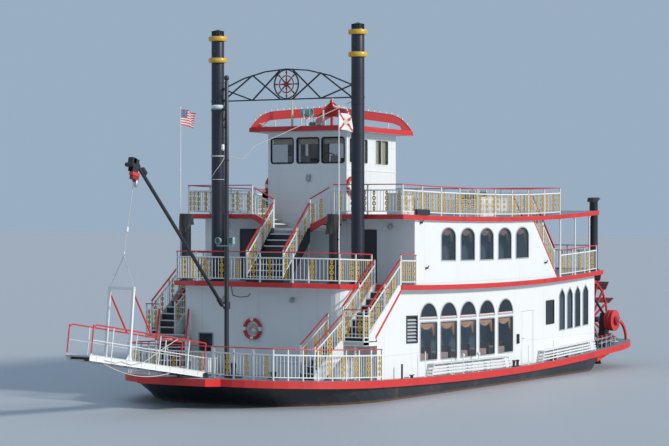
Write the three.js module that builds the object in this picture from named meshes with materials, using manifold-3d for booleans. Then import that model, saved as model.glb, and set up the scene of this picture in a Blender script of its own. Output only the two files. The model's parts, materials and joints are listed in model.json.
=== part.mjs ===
// Stern-wheel paddle steamer: a flat-bottomed river boat with three decks, a wheelhouse, two tall
// chimneys, and a landing stage slung from a derrick on the fore deck.
//
// Millimetres. +X is the bow, +Y is port and +Z is up. Z = 0 is the flat bottom of the hull and X = 0 is
// the middle of the hull's length. Every deck follows one sheer line, lowest a little aft of the middle.

import * as THREE from 'three';
import { mergeVertices } from 'three/addons/utils/BufferGeometryUtils.js';
import ManifoldModule from 'manifold-3d';

const wasm = await ManifoldModule();
wasm.setup();
const { Manifold } = wasm;

// Driving dimensions
const GAP = 0.3; // between two pieces that touch
const MAIN_DECK = 1500; // top of the main deck, before its sheer is added
const SALOON_DECK = 4760;
const ROOF_DECK = 7220;
const MAIN_DECK_DEPTH = 250;
const SALOON_DECK_DEPTH = 170;
const ROOF_DECK_DEPTH = 165;
const HALF_BEAM = 4650;
const WALL = 60;
const SMOOTHED = 0.05; // how far a face may move when needless corners are dropped from it

const SHEER = { lowX: -3500, forward: 2.1e-6, aft: 3.4e-6, step: 2000, startX: -16000, stations: 15 };

const NOSE = { frontX: 11460, half: 1390 };
const BOW = { rootX: 10580, half: NOSE.half, shoulderX: 5500, beam: HALF_BEAM }; // quarter of an ellipse
const STERN_X = -12000;
const HOUSE_AFT_X = STERN_X + 30;
const SALOON_AFT_X = -12100; // aft edge of the saloon deck

const RAIL = { height: 1070, post: 50, top: 60, bar: 40, foot: 110, spacing: 2300 };
const INSET = 75; // of a railing from its deck's edge
const STAIR = { tread: 40, nosing: 25, stringer: 50, stringerDepth: 280, rail: 1000, postFoot: 60 };

// Height of the sheer line above its lowest point: a parabola each way, drawn as straight lines
// between stations so that pieces which touch bend in the same places
function sheerCurve(x) {
  const away = x - SHEER.lowX;
  return (away > 0 ? SHEER.forward : SHEER.aft) * away * away;
}

function sheerAt(x) {
  const station = Math.floor((x - SHEER.startX) / SHEER.step);
  const before = SHEER.startX + station * SHEER.step;
  const share = (x - before) / SHEER.step;
  return sheerCurve(before) * (1 - share) + sheerCurve(before + SHEER.step) * share;
}

// A closed solid from a geometry, with its shared corners merged
function solid(geometry) {
  for (const name of Object.keys(geometry.attributes)) {
    if (name !== 'position') geometry.deleteAttribute(name);
  }
  const merged = mergeVertices(geometry, 1e-3);
  const index = merged.index.array;
  const faces = [];
  for (let i = 0; i < index.length; i += 3) {
    const [a, b, c] = [index[i], index[i + 1], index[i + 2]];
    if (a !== b && b !== c && c !== a) faces.push(a, b, c);
  }
  return new Manifold(new wasm.Mesh({
    numProp: 3,
    vertProperties: new Float32Array(merged.attributes.position.array),
    triVerts: new Uint32Array(faces),
  }));
}

const join = (pieces) => Manifold.union(pieces);
const mirrored = (piece) => piece.mirror([0, 1, 0]);

function block([x0, x1], [y0, y1], [z0, z1]) {
  const box = new THREE.BoxGeometry(x1 - x0, y1 - y0, z1 - z0);
  box.translate((x0 + x1) / 2, (y0 + y1) / 2, (z0 + z1) / 2);
  return solid(box);
}

const X_AXIS = new THREE.Vector3(1, 0, 0);
const Y_AXIS = new THREE.Vector3(0, 1, 0);
const Z_AXIS = new THREE.Vector3(0, 0, 1);

// The points of an outline, without any that repeats the one before it
function distinct(outline) {
  return outline.filter(([a, b], i) => {
    const [c, d] = outline.at(i - 1);
    return Math.hypot(a - c, b - d) > 0.01;
  }).map(([a, b]) => new THREE.Vector2(a, b));
}

function extruded(outline, holes, depth, basis) {
  const prism = (points, from, to) => {
    const settings = { depth: to - from, bevelEnabled: false };
    const geometry = new THREE.ExtrudeGeometry(new THREE.Shape(distinct(points)), settings);
    return solid(geometry.translate(0, 0, from).applyMatrix4(basis));
  };
  const body = prism(outline, 0, depth);
  return holes.length ? body.subtract(join(holes.map((hole) => prism(hole, -1, depth + 1)))) : body;
}

// A plan outline of [x, y] points, between two heights
function slab(outline, z0, z1, holes = []) {
  return extruded(outline, holes, z1 - z0, new THREE.Matrix4()).translate([0, 0, z0]);
}

// A side elevation of [x, z] points, between two distances from the centreline
function sidePanel(outline, y0, y1, holes = []) {
  const basis = new THREE.Matrix4().makeBasis(X_AXIS, Z_AXIS, Y_AXIS.clone().negate());
  return extruded(outline, holes, y1 - y0, basis).translate([0, y1, 0]);
}

// A front elevation of [y, z] points, between two stations
function frontPanel(outline, x0, x1, holes = []) {
  const basis = new THREE.Matrix4().makeBasis(Y_AXIS, Z_AXIS, X_AXIS);
  return extruded(outline, holes, x1 - x0, basis).translate([x0, 0, 0]);
}

function between(geometry, from, to) {
  const a = new THREE.Vector3(...from);
  const b = new THREE.Vector3(...to);
  const along = b.clone().sub(a).normalize();
  const side = Math.abs(along.z) > 0.999 ? Y_AXIS.clone() : Z_AXIS.clone().cross(along).normalize();
  const up = along.clone().cross(side);
  geometry.applyMatrix4(new THREE.Matrix4().makeBasis(along, side, up));
  geometry.translate((a.x + b.x) / 2, (a.y + b.y) / 2, (a.z + b.z) / 2);
  return solid(geometry);
}

const distance = (from, to) => new THREE.Vector3(...from).distanceTo(new THREE.Vector3(...to));

function bar(from, to, width, height = width) {
  return between(new THREE.BoxGeometry(distance(from, to), width, height), from, to);
}

function rod(from, to, radius, sides = 12) {
  const tube = new THREE.CylinderGeometry(radius, radius, distance(from, to), sides);
  tube.rotateZ(-Math.PI / 2);
  return between(tube, from, to);
}

function turned(profile, sides) {
  const lathe = new THREE.LatheGeometry(profile.map(([r, z]) => new THREE.Vector2(r, z)), sides);
  lathe.rotateX(Math.PI / 2);
  return solid(lathe);
}

// Outlines
const rectangle = ([a0, a1], [b0, b1]) => [[a0, b0], [a1, b0], [a1, b1], [a0, b1]];

// A rectangle whose top is half an ellipse
function archedOpening(centre, width, [bottom, top], rise, steps = 6) {
  const half = width / 2;
  const points = [[centre - half, bottom], [centre + half, bottom]];
  for (let i = 0; i <= steps; i += 1) {
    const angle = (Math.PI * i) / steps;
    points.push([centre + half * Math.cos(angle), top - rise + rise * Math.sin(angle)]);
  }
  return points;
}

// A rectangle whose top is a pointed arch
function pointedOpening(centre, width, [bottom, top], rise, steps = 3) {
  const half = width / 2;
  const points = [[centre - half, bottom], [centre + half, bottom]];
  for (let i = 0; i <= steps; i += 1) {
    points.push([centre + half * Math.cos((Math.PI / 2) * (i / steps)), top - rise * (1 - i / steps)]);
  }
  for (let i = steps - 1; i >= 0; i -= 1) {
    points.push([centre - half * Math.cos((Math.PI / 2) * (i / steps)), top - rise * (1 - i / steps)]);
  }
  return points;
}

function roundedOpening([a0, a1], [b0, b1], radius, steps = 3) {
  const corners = [[a1 - radius, b0 + radius, -90], [a1 - radius, b1 - radius, 0],
    [a0 + radius, b1 - radius, 90], [a0 + radius, b0 + radius, 180]];
  const points = [];
  for (const [a, b, start] of corners) {
    for (let i = 0; i <= steps; i += 1) {
      const angle = THREE.MathUtils.degToRad(start + (90 * i) / steps);
      points.push([a + radius * Math.cos(angle), b + radius * Math.sin(angle)]);
    }
  }
  return points;
}

// Both sides of a plan outline from its port side, which runs from the bow aft
const bothSides = (port) => [...port, ...port.map(([x, y]) => [x, -y]).reverse()];

// The bow's curved edge from the nose to the full beam, moved in by an inset
function bowCurve(inset, steps = 12, { rootX, half, shoulderX, beam } = BOW) {
  const points = [];
  for (let i = 0; i <= steps; i += 1) {
    const angle = (Math.PI / 2) * (i / steps);
    points.push([shoulderX + (rootX - shoulderX - inset) * Math.cos(angle),
      half + (beam - half - inset) * Math.sin(angle)]);
  }
  return points;
}

// Splits a mesh at every sheer station, so that the straight faces can bend there
function splitAtStations(vertices, faces) {
  let current = faces;
  for (let i = 0; i <= SHEER.stations; i += 1) {
    const station = SHEER.startX + i * SHEER.step;
    const made = new Map();
    const side = (v) => {
      const away = vertices[v][0] - station;
      return Math.abs(away) < 0.01 ? 0 : Math.sign(away);
    };
    const crossing = (a, b) => {
      const key = a < b ? `${a} ${b}` : `${b} ${a}`;
      if (!made.has(key)) {
        const [low, high] = a < b ? [vertices[a], vertices[b]] : [vertices[b], vertices[a]];
        const share = (station - low[0]) / (high[0] - low[0]);
        made.set(key, vertices.push(low.map((value, axis) => value + (high[axis] - value) * share)) - 1);
      }
      return made.get(key);
    };
    const next = [];
    for (const face of current) {
      const sides = face.map(side);
      if (!sides.includes(1) || !sides.includes(-1)) {
        next.push(face);
        continue;
      }
      const loop = [];
      for (let k = 0; k < 3; k += 1) {
        const after = (k + 1) % 3;
        loop.push(face[k]);
        if (sides[k] * sides[after] < 0) loop.push(crossing(face[k], face[after]));
      }
      const start = loop.findIndex((v) => !face.includes(v));
      const ring = [...loop.slice(start), ...loop.slice(0, start)];
      for (const half of [1, -1]) {
        const corners = ring.filter((v) => !face.includes(v) || side(v) !== -half);
        for (let k = 1; k + 1 < corners.length; k += 1) next.push([corners[0], corners[k], corners[k + 1]]);
      }
    }
    current = next;
  }
  return current;
}

const rigid = () => 0;
const withSheer = (x) => sheerAt(x);
const hullSheer = (x, z) => sheerAt(x) * Math.min(1, z / (MAIN_DECK - MAIN_DECK_DEPTH - GAP));

function sheered(manifold, lift) {
  const { vertProperties, triVerts } = manifold.getMesh();
  const triples = (list) => Array.from({ length: list.length / 3 },
    (_, i) => [...list.slice(3 * i, 3 * i + 3)]);
  const vertices = triples(vertProperties);
  const faces = splitAtStations(vertices, triples(triVerts));
  for (const vertex of vertices) vertex[2] += lift(vertex[0], vertex[2]);
  return new Manifold(new wasm.Mesh({
    numProp: 3,
    vertProperties: new Float32Array(vertices.flat()),
    triVerts: new Uint32Array(faces.flat()),
  })).simplify(SMOOTHED);
}

const model = new THREE.Group();
const decks = {};
for (const [name, height] of [['main', MAIN_DECK], ['saloon', SALOON_DECK], ['roof', ROOF_DECK]]) {
  decks[name] = new THREE.Group();
  decks[name].position.z = height;
  model.add(decks[name]);
}

const PAINTS = {
  white: { color: 0xf2f3f1, roughness: 0.5, metalness: 0 },
  red: { color: 0xb5332d, roughness: 0.5, metalness: 0 },
  black: { color: 0x20242a, roughness: 0.6, metalness: 0 },
  navy: { color: 0x1c2230, roughness: 0.45, metalness: 0.1 },
  deck: { color: 0x77808a, roughness: 0.8, metalness: 0 },
  steel: { color: 0x8c9096, roughness: 0.5, metalness: 0.7 },
};

// Fittings are joined to the piece after it has taken the sheer, so that they stay square
function piece(parent, name, manifold, paint, lift = withSheer, fittings = []) {
  const body = lift === rigid ? manifold : sheered(manifold, lift);
  const { vertProperties, triVerts } = join([body, ...fittings]).getMesh();
  const geometry = new THREE.BufferGeometry();
  geometry.setAttribute('position', new THREE.BufferAttribute(vertProperties, 3));
  geometry.setIndex(new THREE.BufferAttribute(triVerts, 1));
  const mesh = new THREE.Mesh(geometry, new THREE.MeshStandardMaterial(PAINTS[paint]));
  mesh.name = name;
  parent.add(mesh);
  return mesh;
}

function bothPieces(parent, name, manifold, paint, lift = withSheer, fittings = []) {
  piece(parent, `${name}_port`, manifold, paint, lift, fittings);
  piece(parent, `${name}_starboard`, mirrored(manifold), paint, lift, fittings.map(mirrored));
}

// A door's two hinges round the upright axis at [x, y]: on each a knuckle and arm on the frame, and a
// knuckle and arm on the leaf above it. The leaf runs from the axis in the direction along, and its
// thickness lies in the direction across. The leaf is notched round the frame's knuckles
const HINGE = { heights: [320, 1560], radius: 9, leaf: 80, frame: 40, arm: 32, bite: 12, notch: 14 };

function hinges([x, y], along, across) {
  const upright = (direction, reach, depth, z0, z1) => {
    const corner = [x + direction[0] * reach + across[0] * depth,
      y + direction[1] * reach + across[1] * depth];
    const [spanX, spanY] = [[x, corner[0]], [y, corner[1]]].map((ends) => ends.sort((a, b) => a - b));
    return block(spanX, spanY, [z0, z1]);
  };
  const lifted = (parts) => join(parts).translate([0, 0, sheerAt(x)]);
  const knuckle = (z0, z1) => rod([x, y, z0], [x, y, z1], HINGE.radius, 6);
  const back = along.map((value) => -value);
  const each = (make) => lifted(HINGE.heights.flatMap(make));
  return {
    leaf: each((z) => [knuckle(z + GAP, z + HINGE.leaf),
      upright(along, HINGE.arm, HINGE.bite, z + GAP, z + HINGE.leaf)]),
    frame: each((z) => [knuckle(z - HINGE.frame, z),
      upright(back, HINGE.arm, HINGE.bite, z - HINGE.frame, z)]),
    notch: each((z) => [upright(along, HINGE.notch, HINGE.notch, z - HINGE.frame - 5, z + 5)]),
  };
}

// The hole that a pin or shaft of many sides can turn in, with the usual gap to its corners
const boreRadius = (radius, sides) => (radius + GAP) / Math.cos(Math.PI / sides);

// Railing along a line of [x, y] points on a deck: posts, a handrail and a bottom bar
function railing(line, foot = GAP) {
  const parts = [];
  const { height, post, top, bar: thick, spacing } = RAIL;
  const postAt = ([x, y]) => {
    parts.push(block([x - post / 2, x + post / 2], [y - post / 2, y + post / 2], [foot, height - top / 2]));
  };
  for (let i = 0; i + 1 < line.length; i += 1) {
    const [from, to] = [line[i], line[i + 1]];
    const length = Math.hypot(to[0] - from[0], to[1] - from[1]);
    const bays = Math.max(1, Math.round(length / spacing));
    for (let k = 0; k < bays; k += 1) {
      postAt([from[0] + ((to[0] - from[0]) * k) / bays, from[1] + ((to[1] - from[1]) * k) / bays]);
    }
    const ends = (z) => [[...from, z], [...to, z]];
    parts.push(bar(...ends(height - top / 2), top));
    parts.push(bar(...ends(RAIL.foot), thick));
  }
  postAt(line[line.length - 1]);
  return join(parts);
}

// A stair that climbs along +X from the origin, centred on Y: treads between two stringers, and a
// handrail above each stringer that is asked for
function stairFlight({ risers, rise, going, width, rails = [1, -1] }) {
  const run = (risers - 1) * going;
  const climb = risers * rise;
  const parts = [];
  for (let i = 1; i < risers; i += 1) {
    parts.push(block([(i - 1) * going, Math.min(run, i * going + STAIR.nosing)],
      [-width / 2 + 10, width / 2 - 10], [i * rise - STAIR.tread, i * rise]));
  }
  for (const side of [1, -1]) {
    const y = side * (width / 2 - STAIR.stringer / 2);
    const stringer = bar([-going, y, -rise * 0.6], [run + going, y, climb + rise * 0.4],
      STAIR.stringer, STAIR.stringerDepth);
    parts.push(stringer.intersect(block([0, run], [y - width, y + width], [0, climb - 5])));
  }
  for (const side of rails) {
    const y = side * (width / 2 - STAIR.stringer / 2);
    const half = RAIL.post / 2;
    const foot = [half, rise * 0.7];
    const head = [run - half, climb - rise * 0.5];
    const middle = STAIR.rail - RAIL.top / 4; // of the handrail, above its post's foot
    for (const [x, z] of [foot, head]) {
      parts.push(block([x - half, x + half], [y - half, y + half], [z - STAIR.postFoot, z + middle]));
    }
    parts.push(bar([foot[0], y, foot[1] + middle], [head[0], y, head[1] + middle], RAIL.top));
  }
  return join(parts);
}

// Hull: flat bottom, raked bow and stern. Columns: height, half beam, front of the bow, half width of
// the bow's flat, shoulder, aft end
const RUDDER = { x: -11450, y: 1900, stock: 50, sides: 24, stockTop: 1150, holeFoot: 200, thick: 50 };
const HULL_LEVELS = [
  [0, 4050, 6800, 850, 2500, -9000],
  [350, 4400, 8500, 1050, 3800, -10300],
  [900, 4470, 9250, 1230, 4700, -11500],
  [MAIN_DECK - MAIN_DECK_DEPTH - GAP, 4520, 10050, 1340, 5300, -11900],
];

function hullBody() {
  const rings = HULL_LEVELS.map(([z, beam, frontX, half, shoulderX, aftX]) => {
    const port = [...bowCurve(0, 8, { rootX: frontX, half, shoulderX, beam }), [aftX, beam]];
    return bothSides(port).map(([x, y]) => [x, y, z]);
  });
  const count = rings[0].length;
  const faces = [];
  for (let level = 0; level + 1 < rings.length; level += 1) {
    for (let i = 0; i < count; i += 1) {
      const [a, b] = [level * count + i, level * count + ((i + 1) % count)];
      const [c, d] = [b + count, a + count];
      faces.push(a, b, c, a, c, d);
    }
  }
  for (const [level, up] of [[0, false], [rings.length - 1, true]]) {
    const flat = rings[level].map(([x, y]) => new THREE.Vector2(x, y));
    for (const [a, b, c] of THREE.ShapeUtils.triangulateShape(flat, [])) {
      const offset = level * count;
      const turn = (flat[b].x - flat[a].x) * (flat[c].y - flat[a].y)
        - (flat[b].y - flat[a].y) * (flat[c].x - flat[a].x);
      faces.push(offset + a, ...(turn > 0 === up ? [offset + b, offset + c] : [offset + c, offset + b]));
    }
  }
  const geometry = new THREE.BufferGeometry();
  geometry.setAttribute('position', new THREE.Float32BufferAttribute(rings.flat(2), 3));
  geometry.setIndex(faces);
  const holes = [1, -1].map((side) => rod([RUDDER.x, side * RUDDER.y, RUDDER.holeFoot],
    [RUDDER.x, side * RUDDER.y, RUDDER.stockTop + 10], boreRadius(RUDDER.stock, RUDDER.sides), RUDDER.sides));
  return solid(geometry).subtract(join(holes));
}

piece(model, 'hull', hullBody(), 'black', hullSheer);

// Main deck: a slab whose edge is the red rubbing band
const mainDeckPlan = bothSides([[NOSE.frontX, NOSE.half], ...bowCurve(0), [STERN_X, HALF_BEAM]]);
piece(model, 'main_deck', slab(mainDeckPlan, MAIN_DECK - MAIN_DECK_DEPTH, MAIN_DECK), 'red');

// Stern beams: they carry the wheel clear of the hull, with a bracket under each against the transom.
// A curved arm on each beam's end holds the shaft's outer end
const WHEEL = { x: -14500, z: 2820, radius: 2200, half: 3050, boards: 16, boardDepth: 430, shaft: 95,
  shaftSides: 32, clear: 8, hub: 330, board: 45, spoke: 70, frameInset: 120, rimGap: 120, rim: [90, 60] };
const BEAM = { tipX: -15550, rake: 260, inner: 3150, taperX: -14000, tipY: 4150 };
const BRACKET = { x: -12850, foot: 1150, topFoot: 1000, y: [4350, 4450] };
const DRUM = { y: [3740, 4060], radius: 430, hub: 180, hubY: 4110 };
const ARM = { y: [4140, 4220], ring: 190, width: 120, reach: 850, steps: 5 };

function sternBeam() {
  const under = MAIN_DECK - MAIN_DECK_DEPTH;
  const fore = STERN_X - GAP;
  const corner = [1, 2, 3, 4].map((i) => {
    const angle = (Math.PI / 2) * (i / 4);
    return [BEAM.taperX + (BEAM.tipX - BEAM.taperX) * Math.sin(angle),
      BEAM.tipY + (HALF_BEAM - BEAM.tipY) * Math.cos(angle)];
  });
  const plan = slab([[fore, BEAM.inner], [fore, HALF_BEAM], [BEAM.taperX, HALF_BEAM], ...corner,
    [BEAM.tipX, BEAM.inner]], under, MAIN_DECK);
  const side = sidePanel([[fore, under], [fore, MAIN_DECK], [BEAM.tipX, MAIN_DECK],
    [BEAM.tipX + BEAM.rake, under]], BEAM.inner, HALF_BEAM);
  const hullAft = HULL_LEVELS[3][5] - 30;
  const bracket = sidePanel([[hullAft, BRACKET.topFoot], [hullAft, under - GAP], [STERN_X - 100, under - GAP],
    [STERN_X - 100, under + 10], [BRACKET.x, under + 10], [BRACKET.x, BRACKET.foot]], ...BRACKET.y);
  return sheered(join([plan.intersect(side), bracket]), withSheer);
}

// A quarter of an ellipse from the shaft down to the beam, and the ring that the shaft turns in
function wheelArm() {
  const foot = MAIN_DECK + sheerAt(WHEEL.x - ARM.reach) - 40;
  const arc = (change) => Array.from({ length: ARM.steps + 1 }, (_, i) => {
    const angle = (Math.PI / 2) * (i / ARM.steps);
    return [WHEEL.x - (ARM.reach + change) * Math.sin(angle),
      foot + (WHEEL.z - foot + change) * Math.cos(angle)];
  });
  const strip = sidePanel([...arc(ARM.width / 2), ...arc(-ARM.width / 2).reverse()], ...ARM.y);
  const ring = rod([WHEEL.x, ARM.y[0], WHEEL.z], [WHEEL.x, ARM.y[1], WHEEL.z], ARM.ring, 16);
  return join([strip, ring]).subtract(rod([WHEEL.x, 3000, WHEEL.z], [WHEEL.x, 5000, WHEEL.z],
    WHEEL.shaft + WHEEL.clear, 16));
}
bothPieces(model, 'stern_beam', join([sternBeam(), wheelArm()]), 'red', rigid);

// Paddle wheel on its shaft with a drum at each end, and the blocks that hold the shaft
const BEARING = { y: [3380, 3700], headY: [3440, 3640], foot: 240, head: 150, top: 300 };

function paddleWheel() {
  const shaftEnd = ARM.y[1] + 40;
  const parts = [rod([0, -shaftEnd, 0], [0, shaftEnd, 0], WHEEL.shaft, WHEEL.shaftSides)];
  const frames = [-WHEEL.half + WHEEL.frameInset, 0, WHEEL.half - WHEEL.frameInset];
  const rimRadius = WHEEL.radius - WHEEL.boardDepth - WHEEL.rimGap;
  const [rimHigh, rimWide] = WHEEL.rim.map((size) => size / 2);
  const spokeEnd = WHEEL.radius - WHEEL.boardDepth + 15;
  const corners = (radius) => Array.from({ length: WHEEL.boards }, (_, i) => {
    const angle = (2 * Math.PI * i) / WHEEL.boards;
    return [radius * Math.cos(angle), radius * Math.sin(angle)];
  });
  for (const y of frames) {
    parts.push(rod([0, y - WHEEL.board, 0], [0, y + WHEEL.board, 0], WHEEL.hub, 12));
    if (y !== 0) {
      parts.push(sidePanel(corners(rimRadius + rimHigh), y - rimWide, y + rimWide,
        [corners(rimRadius - rimHigh)]));
    }
  }
  for (let i = 0; i < WHEEL.boards; i += 1) {
    const angle = (2 * Math.PI * i) / WHEEL.boards;
    const [c, s] = [Math.cos(angle), Math.sin(angle)];
    for (const y of frames) {
      parts.push(bar([200 * c, y, 200 * s], [spokeEnd * c, y, spokeEnd * s], WHEEL.spoke));
    }
    const middle = WHEEL.radius - WHEEL.boardDepth / 2;
    const board = new THREE.BoxGeometry(WHEEL.boardDepth, 2 * WHEEL.half, WHEEL.board);
    board.rotateY(-angle);
    board.translate(middle * c, 0, middle * s);
    parts.push(solid(board));
  }
  for (const side of [1, -1]) {
    parts.push(rod([0, side * DRUM.y[0], 0], [0, side * DRUM.y[1], 0], DRUM.radius, 16));
    parts.push(rod([0, side * DRUM.y[1], 0], [0, side * DRUM.hubY, 0], DRUM.hub, 12));
  }
  return join(parts);
}

const wheelGroup = new THREE.Group();
wheelGroup.position.set(WHEEL.x, 0, WHEEL.z);
model.add(wheelGroup);
piece(wheelGroup, 'paddle_wheel', paddleWheel(), 'red', rigid);

// Each bearing is a tapered stand, with a strut up to the aft edge of the saloon deck
const strutHead = SALOON_DECK + sheerAt(SALOON_AFT_X) - SALOON_DECK_DEPTH / 2 - WHEEL.z;
const beamRise = Math.max(sheerAt(WHEEL.x + BEARING.foot), sheerAt(WHEEL.x - BEARING.foot));
const beamTop = MAIN_DECK + beamRise - WHEEL.z;
const stand = frontPanel([[BEARING.y[0], beamTop + GAP], [BEARING.y[1], beamTop + GAP],
  [BEARING.headY[1], BEARING.top], [BEARING.headY[0], BEARING.top]], -BEARING.foot, BEARING.foot)
  .intersect(sidePanel([[-BEARING.foot, beamTop], [BEARING.foot, beamTop], [BEARING.head, BEARING.top + 1],
    [-BEARING.head, BEARING.top + 1]], ...BEARING.y));
const strutY = (BEARING.headY[0] + BEARING.headY[1]) / 2;
const deckEdge = SALOON_AFT_X - WHEEL.x - GAP;
const strut = rod([0, strutY, BEARING.top - 60], [deckEdge + 100, strutY, strutHead + 70], 50, 8)
  .intersect(block([-500, deckEdge], [strutY - 200, strutY + 200], [0, 5000]));
const bearing = join([stand, strut]).subtract(rod([0, BEARING.y[0] - 100, 0], [0, BEARING.y[1] + 100, 0],
  boreRadius(WHEEL.shaft, WHEEL.shaftSides), WHEEL.shaftSides));
bothPieces(wheelGroup, 'wheel_bearing', bearing, 'black', rigid);

// Rudders ahead of the wheel, each on a stock that turns in the hull
const rudderBlade = sidePanel([[-650, 60], [500, 60], [500, 330], [120, 560], [-650, 560]],
  -RUDDER.thick / 2, RUDDER.thick / 2);
for (const [name, side] of [['rudder_port', 1], ['rudder_starboard', -1]]) {
  const rudder = join([rudderBlade, rod([0, 0, 80], [0, 0, RUDDER.stockTop], RUDDER.stock, RUDDER.sides)]);
  piece(model, name, rudder, 'black', rigid).position.set(RUDDER.x, side * RUDDER.y, 0);
}

// Main deck house: a front with rounded corners, full-beam sides that start under the side stairs,
// and an aft wall. Heights here are above the main deck
const MAIN_ROOM = SALOON_DECK - SALOON_DECK_DEPTH - MAIN_DECK;
const HOUSE = { frontX: 6250, half: 3400, corner: 400, returnX: 3900, sideY: 4300, aftX: HOUSE_AFT_X };
const CLOSET = { frontX: 5400, sill: 1560, slopeX: 3900 };

// Columns: centre, width, bottom, top, rise of its arch
const MAIN_FANLIGHTS = [1800, 330, -1145, -2615, -4105].map((x) => [x, 1220, 2040, 2610, 570]);
const MAIN_LIGHTS = [1800, 330, -1145, -2615, -4105].map((x) => [x, 1220, 560, 1930]);
const LANCETS = [-8960, -9670, -10375, -11120].map((x) => [x, 500, 1090, 2730, 330]);
const FRONT_WINDOW = { y: [-2590, -1980], z: [750, 1420] };
const LOUVRE = [[2630, 3370], [1230, 2150]];
const GRILLE = [[-8170, -7550], [1450, 2150]];
const MAIN_DOOR = { x: [-6430, -5430], z: [30, 2060], gap: 12 };
const LEAF = { inner: 50, outer: 5 }; // a door's two faces, as depths behind the wall's outer face

function mainSide() {
  const outline = [[CLOSET.frontX, GAP], [CLOSET.frontX, CLOSET.sill], [CLOSET.slopeX, MAIN_ROOM - GAP],
    [HOUSE.aftX, MAIN_ROOM - GAP], [HOUSE.aftX, GAP]];
  const holes = [
    ...MAIN_FANLIGHTS.map(([x, width, bottom, top, rise]) => archedOpening(x, width, [bottom, top], rise)),
    ...MAIN_LIGHTS.map(([x, width, bottom, top]) => rectangle([x - width / 2, x + width / 2], [bottom, top])),
    ...LANCETS.map(([x, width, bottom, top, rise]) => pointedOpening(x, width, [bottom, top], rise)),
    rectangle(...LOUVRE),
    rectangle(...GRILLE),
    rectangle(MAIN_DOOR.x, MAIN_DOOR.z),
  ];
  const closetFront = block([CLOSET.frontX - WALL, CLOSET.frontX],
    [HOUSE.half + GAP, HOUSE.sideY - WALL + 5], [GAP, CLOSET.sill]);
  return join([sidePanel(outline, HOUSE.sideY - WALL, HOUSE.sideY, holes), closetFront]);
}

// The middle line of the front wall, from its starboard return to its port one
function mainFrontLine() {
  const { frontX, half, corner, returnX } = HOUSE;
  const [x, y] = [frontX - WALL / 2, half - WALL / 2];
  const port = [];
  for (let i = 0; i <= 4; i += 1) {
    const angle = (Math.PI / 2) * (i / 4);
    port.push([x - corner + corner * Math.cos(angle), y - corner + corner * Math.sin(angle)]);
  }
  port.push([returnX, y]);
  return port;
}

function mainFront() {
  const line = mainFrontLine();
  const offset = (distanceOut) => line.map(([x, y], i) => {
    const before = line[Math.max(0, i - 1)];
    const after = line[Math.min(line.length - 1, i + 1)];
    const [dx, dy] = i === 0 ? [0, 1] : [after[0] - before[0], after[1] - before[1]];
    const size = Math.hypot(dx, dy);
    return [x + (dy / size) * distanceOut, y - (dx / size) * distanceOut];
  });
  const [outer, inner] = [offset(WALL / 2), offset(-WALL / 2)];
  const plan = [...outer, ...inner.slice().reverse(),
    ...inner.map(([x, y]) => [x, -y]), ...outer.map(([x, y]) => [x, -y]).reverse()];
  const wall = slab(plan, GAP, MAIN_ROOM - GAP);
  const closers = [1, -1].map((side) => block([HOUSE.returnX - WALL, HOUSE.returnX],
    [HOUSE.half - WALL, HOUSE.sideY - WALL - GAP].map((y) => side * y).sort((a, b) => a - b),
    [GAP, MAIN_ROOM - GAP]));
  const window = block([HOUSE.frontX - 2 * WALL, HOUSE.frontX + WALL], FRONT_WINDOW.y, FRONT_WINDOW.z);
  return join([wall, ...closers]).subtract(window);
}

piece(decks.main, 'main_house_front', mainFront(), 'white');
const mainDoorX = MAIN_DOOR.x.map((x, i) => x + (i ? -MAIN_DOOR.gap : MAIN_DOOR.gap));
const mainHinges = hinges([mainDoorX[0], HOUSE.sideY - LEAF.inner], [1, 0], [0, 1]);
bothPieces(decks.main, 'main_house_side', mainSide(), 'white', withSheer, [mainHinges.frame]);
const houseInner = HOUSE.sideY - WALL - GAP;
piece(decks.main, 'main_house_aft', block([HOUSE.aftX, HOUSE.aftX + WALL], [-houseInner, houseInner],
  [GAP, MAIN_ROOM - GAP]), 'white');
const mainDoor = block(mainDoorX, [HOUSE.sideY - LEAF.inner, HOUSE.sideY - LEAF.outer],
  [MAIN_DOOR.z[0] + MAIN_DOOR.gap, MAIN_DOOR.z[1] - MAIN_DOOR.gap]);
bothPieces(decks.main, 'main_door', sheered(mainDoor, withSheer).subtract(mainHinges.notch), 'white', rigid,
  [mainHinges.leaf]);
const ENGINE = { x: [-10600, -8200], y: [-650, 650], height: 1300 };
piece(decks.main, 'engine', block(ENGINE.x, ENGINE.y, [GAP, ENGINE.height]), 'steel');

// Saloon deck, with its front chamfered and cut back beside the side stairs
const SALOON_PLAN = { frontX: 7270, frontHalf: 2050, chamferX: 6500, wellY: 3500, wellX: 4280,
  aftX: SALOON_AFT_X };
const saloonDeckPlan = bothSides([[SALOON_PLAN.frontX, SALOON_PLAN.frontHalf],
  [SALOON_PLAN.chamferX, SALOON_PLAN.wellY], [SALOON_PLAN.wellX, SALOON_PLAN.wellY],
  [SALOON_PLAN.wellX, HALF_BEAM], [SALOON_PLAN.aftX, HALF_BEAM]]);
piece(decks.saloon, 'saloon_deck', slab(saloonDeckPlan, -SALOON_DECK_DEPTH, 0), 'red');

// Saloon: two front panels either side of the wheelhouse front, sides that end along the aft stairs,
// and an aft wall. Heights here are above the saloon deck
const SALOON_ROOM = ROOF_DECK - ROOF_DECK_DEPTH - SALOON_DECK;
const SALOON = { frontX: 3160, sideY: 4500, aftX: -6040, slopeFootX: -8150, slopeTopX: -6100 };
const PILOT_HALF = 1690;
const SALOON_LIGHTS = [710, -740, -2215, -3660, -5105].map((x) => [x, 1060, 870, 2060, 330]);
const SALOON_DOOR = { y: [2180, 2960], z: [30, 1950], gap: 12 };
const AFT_DOOR = { y: [-420, 420], z: [30, 1950], gap: 12 };

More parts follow.
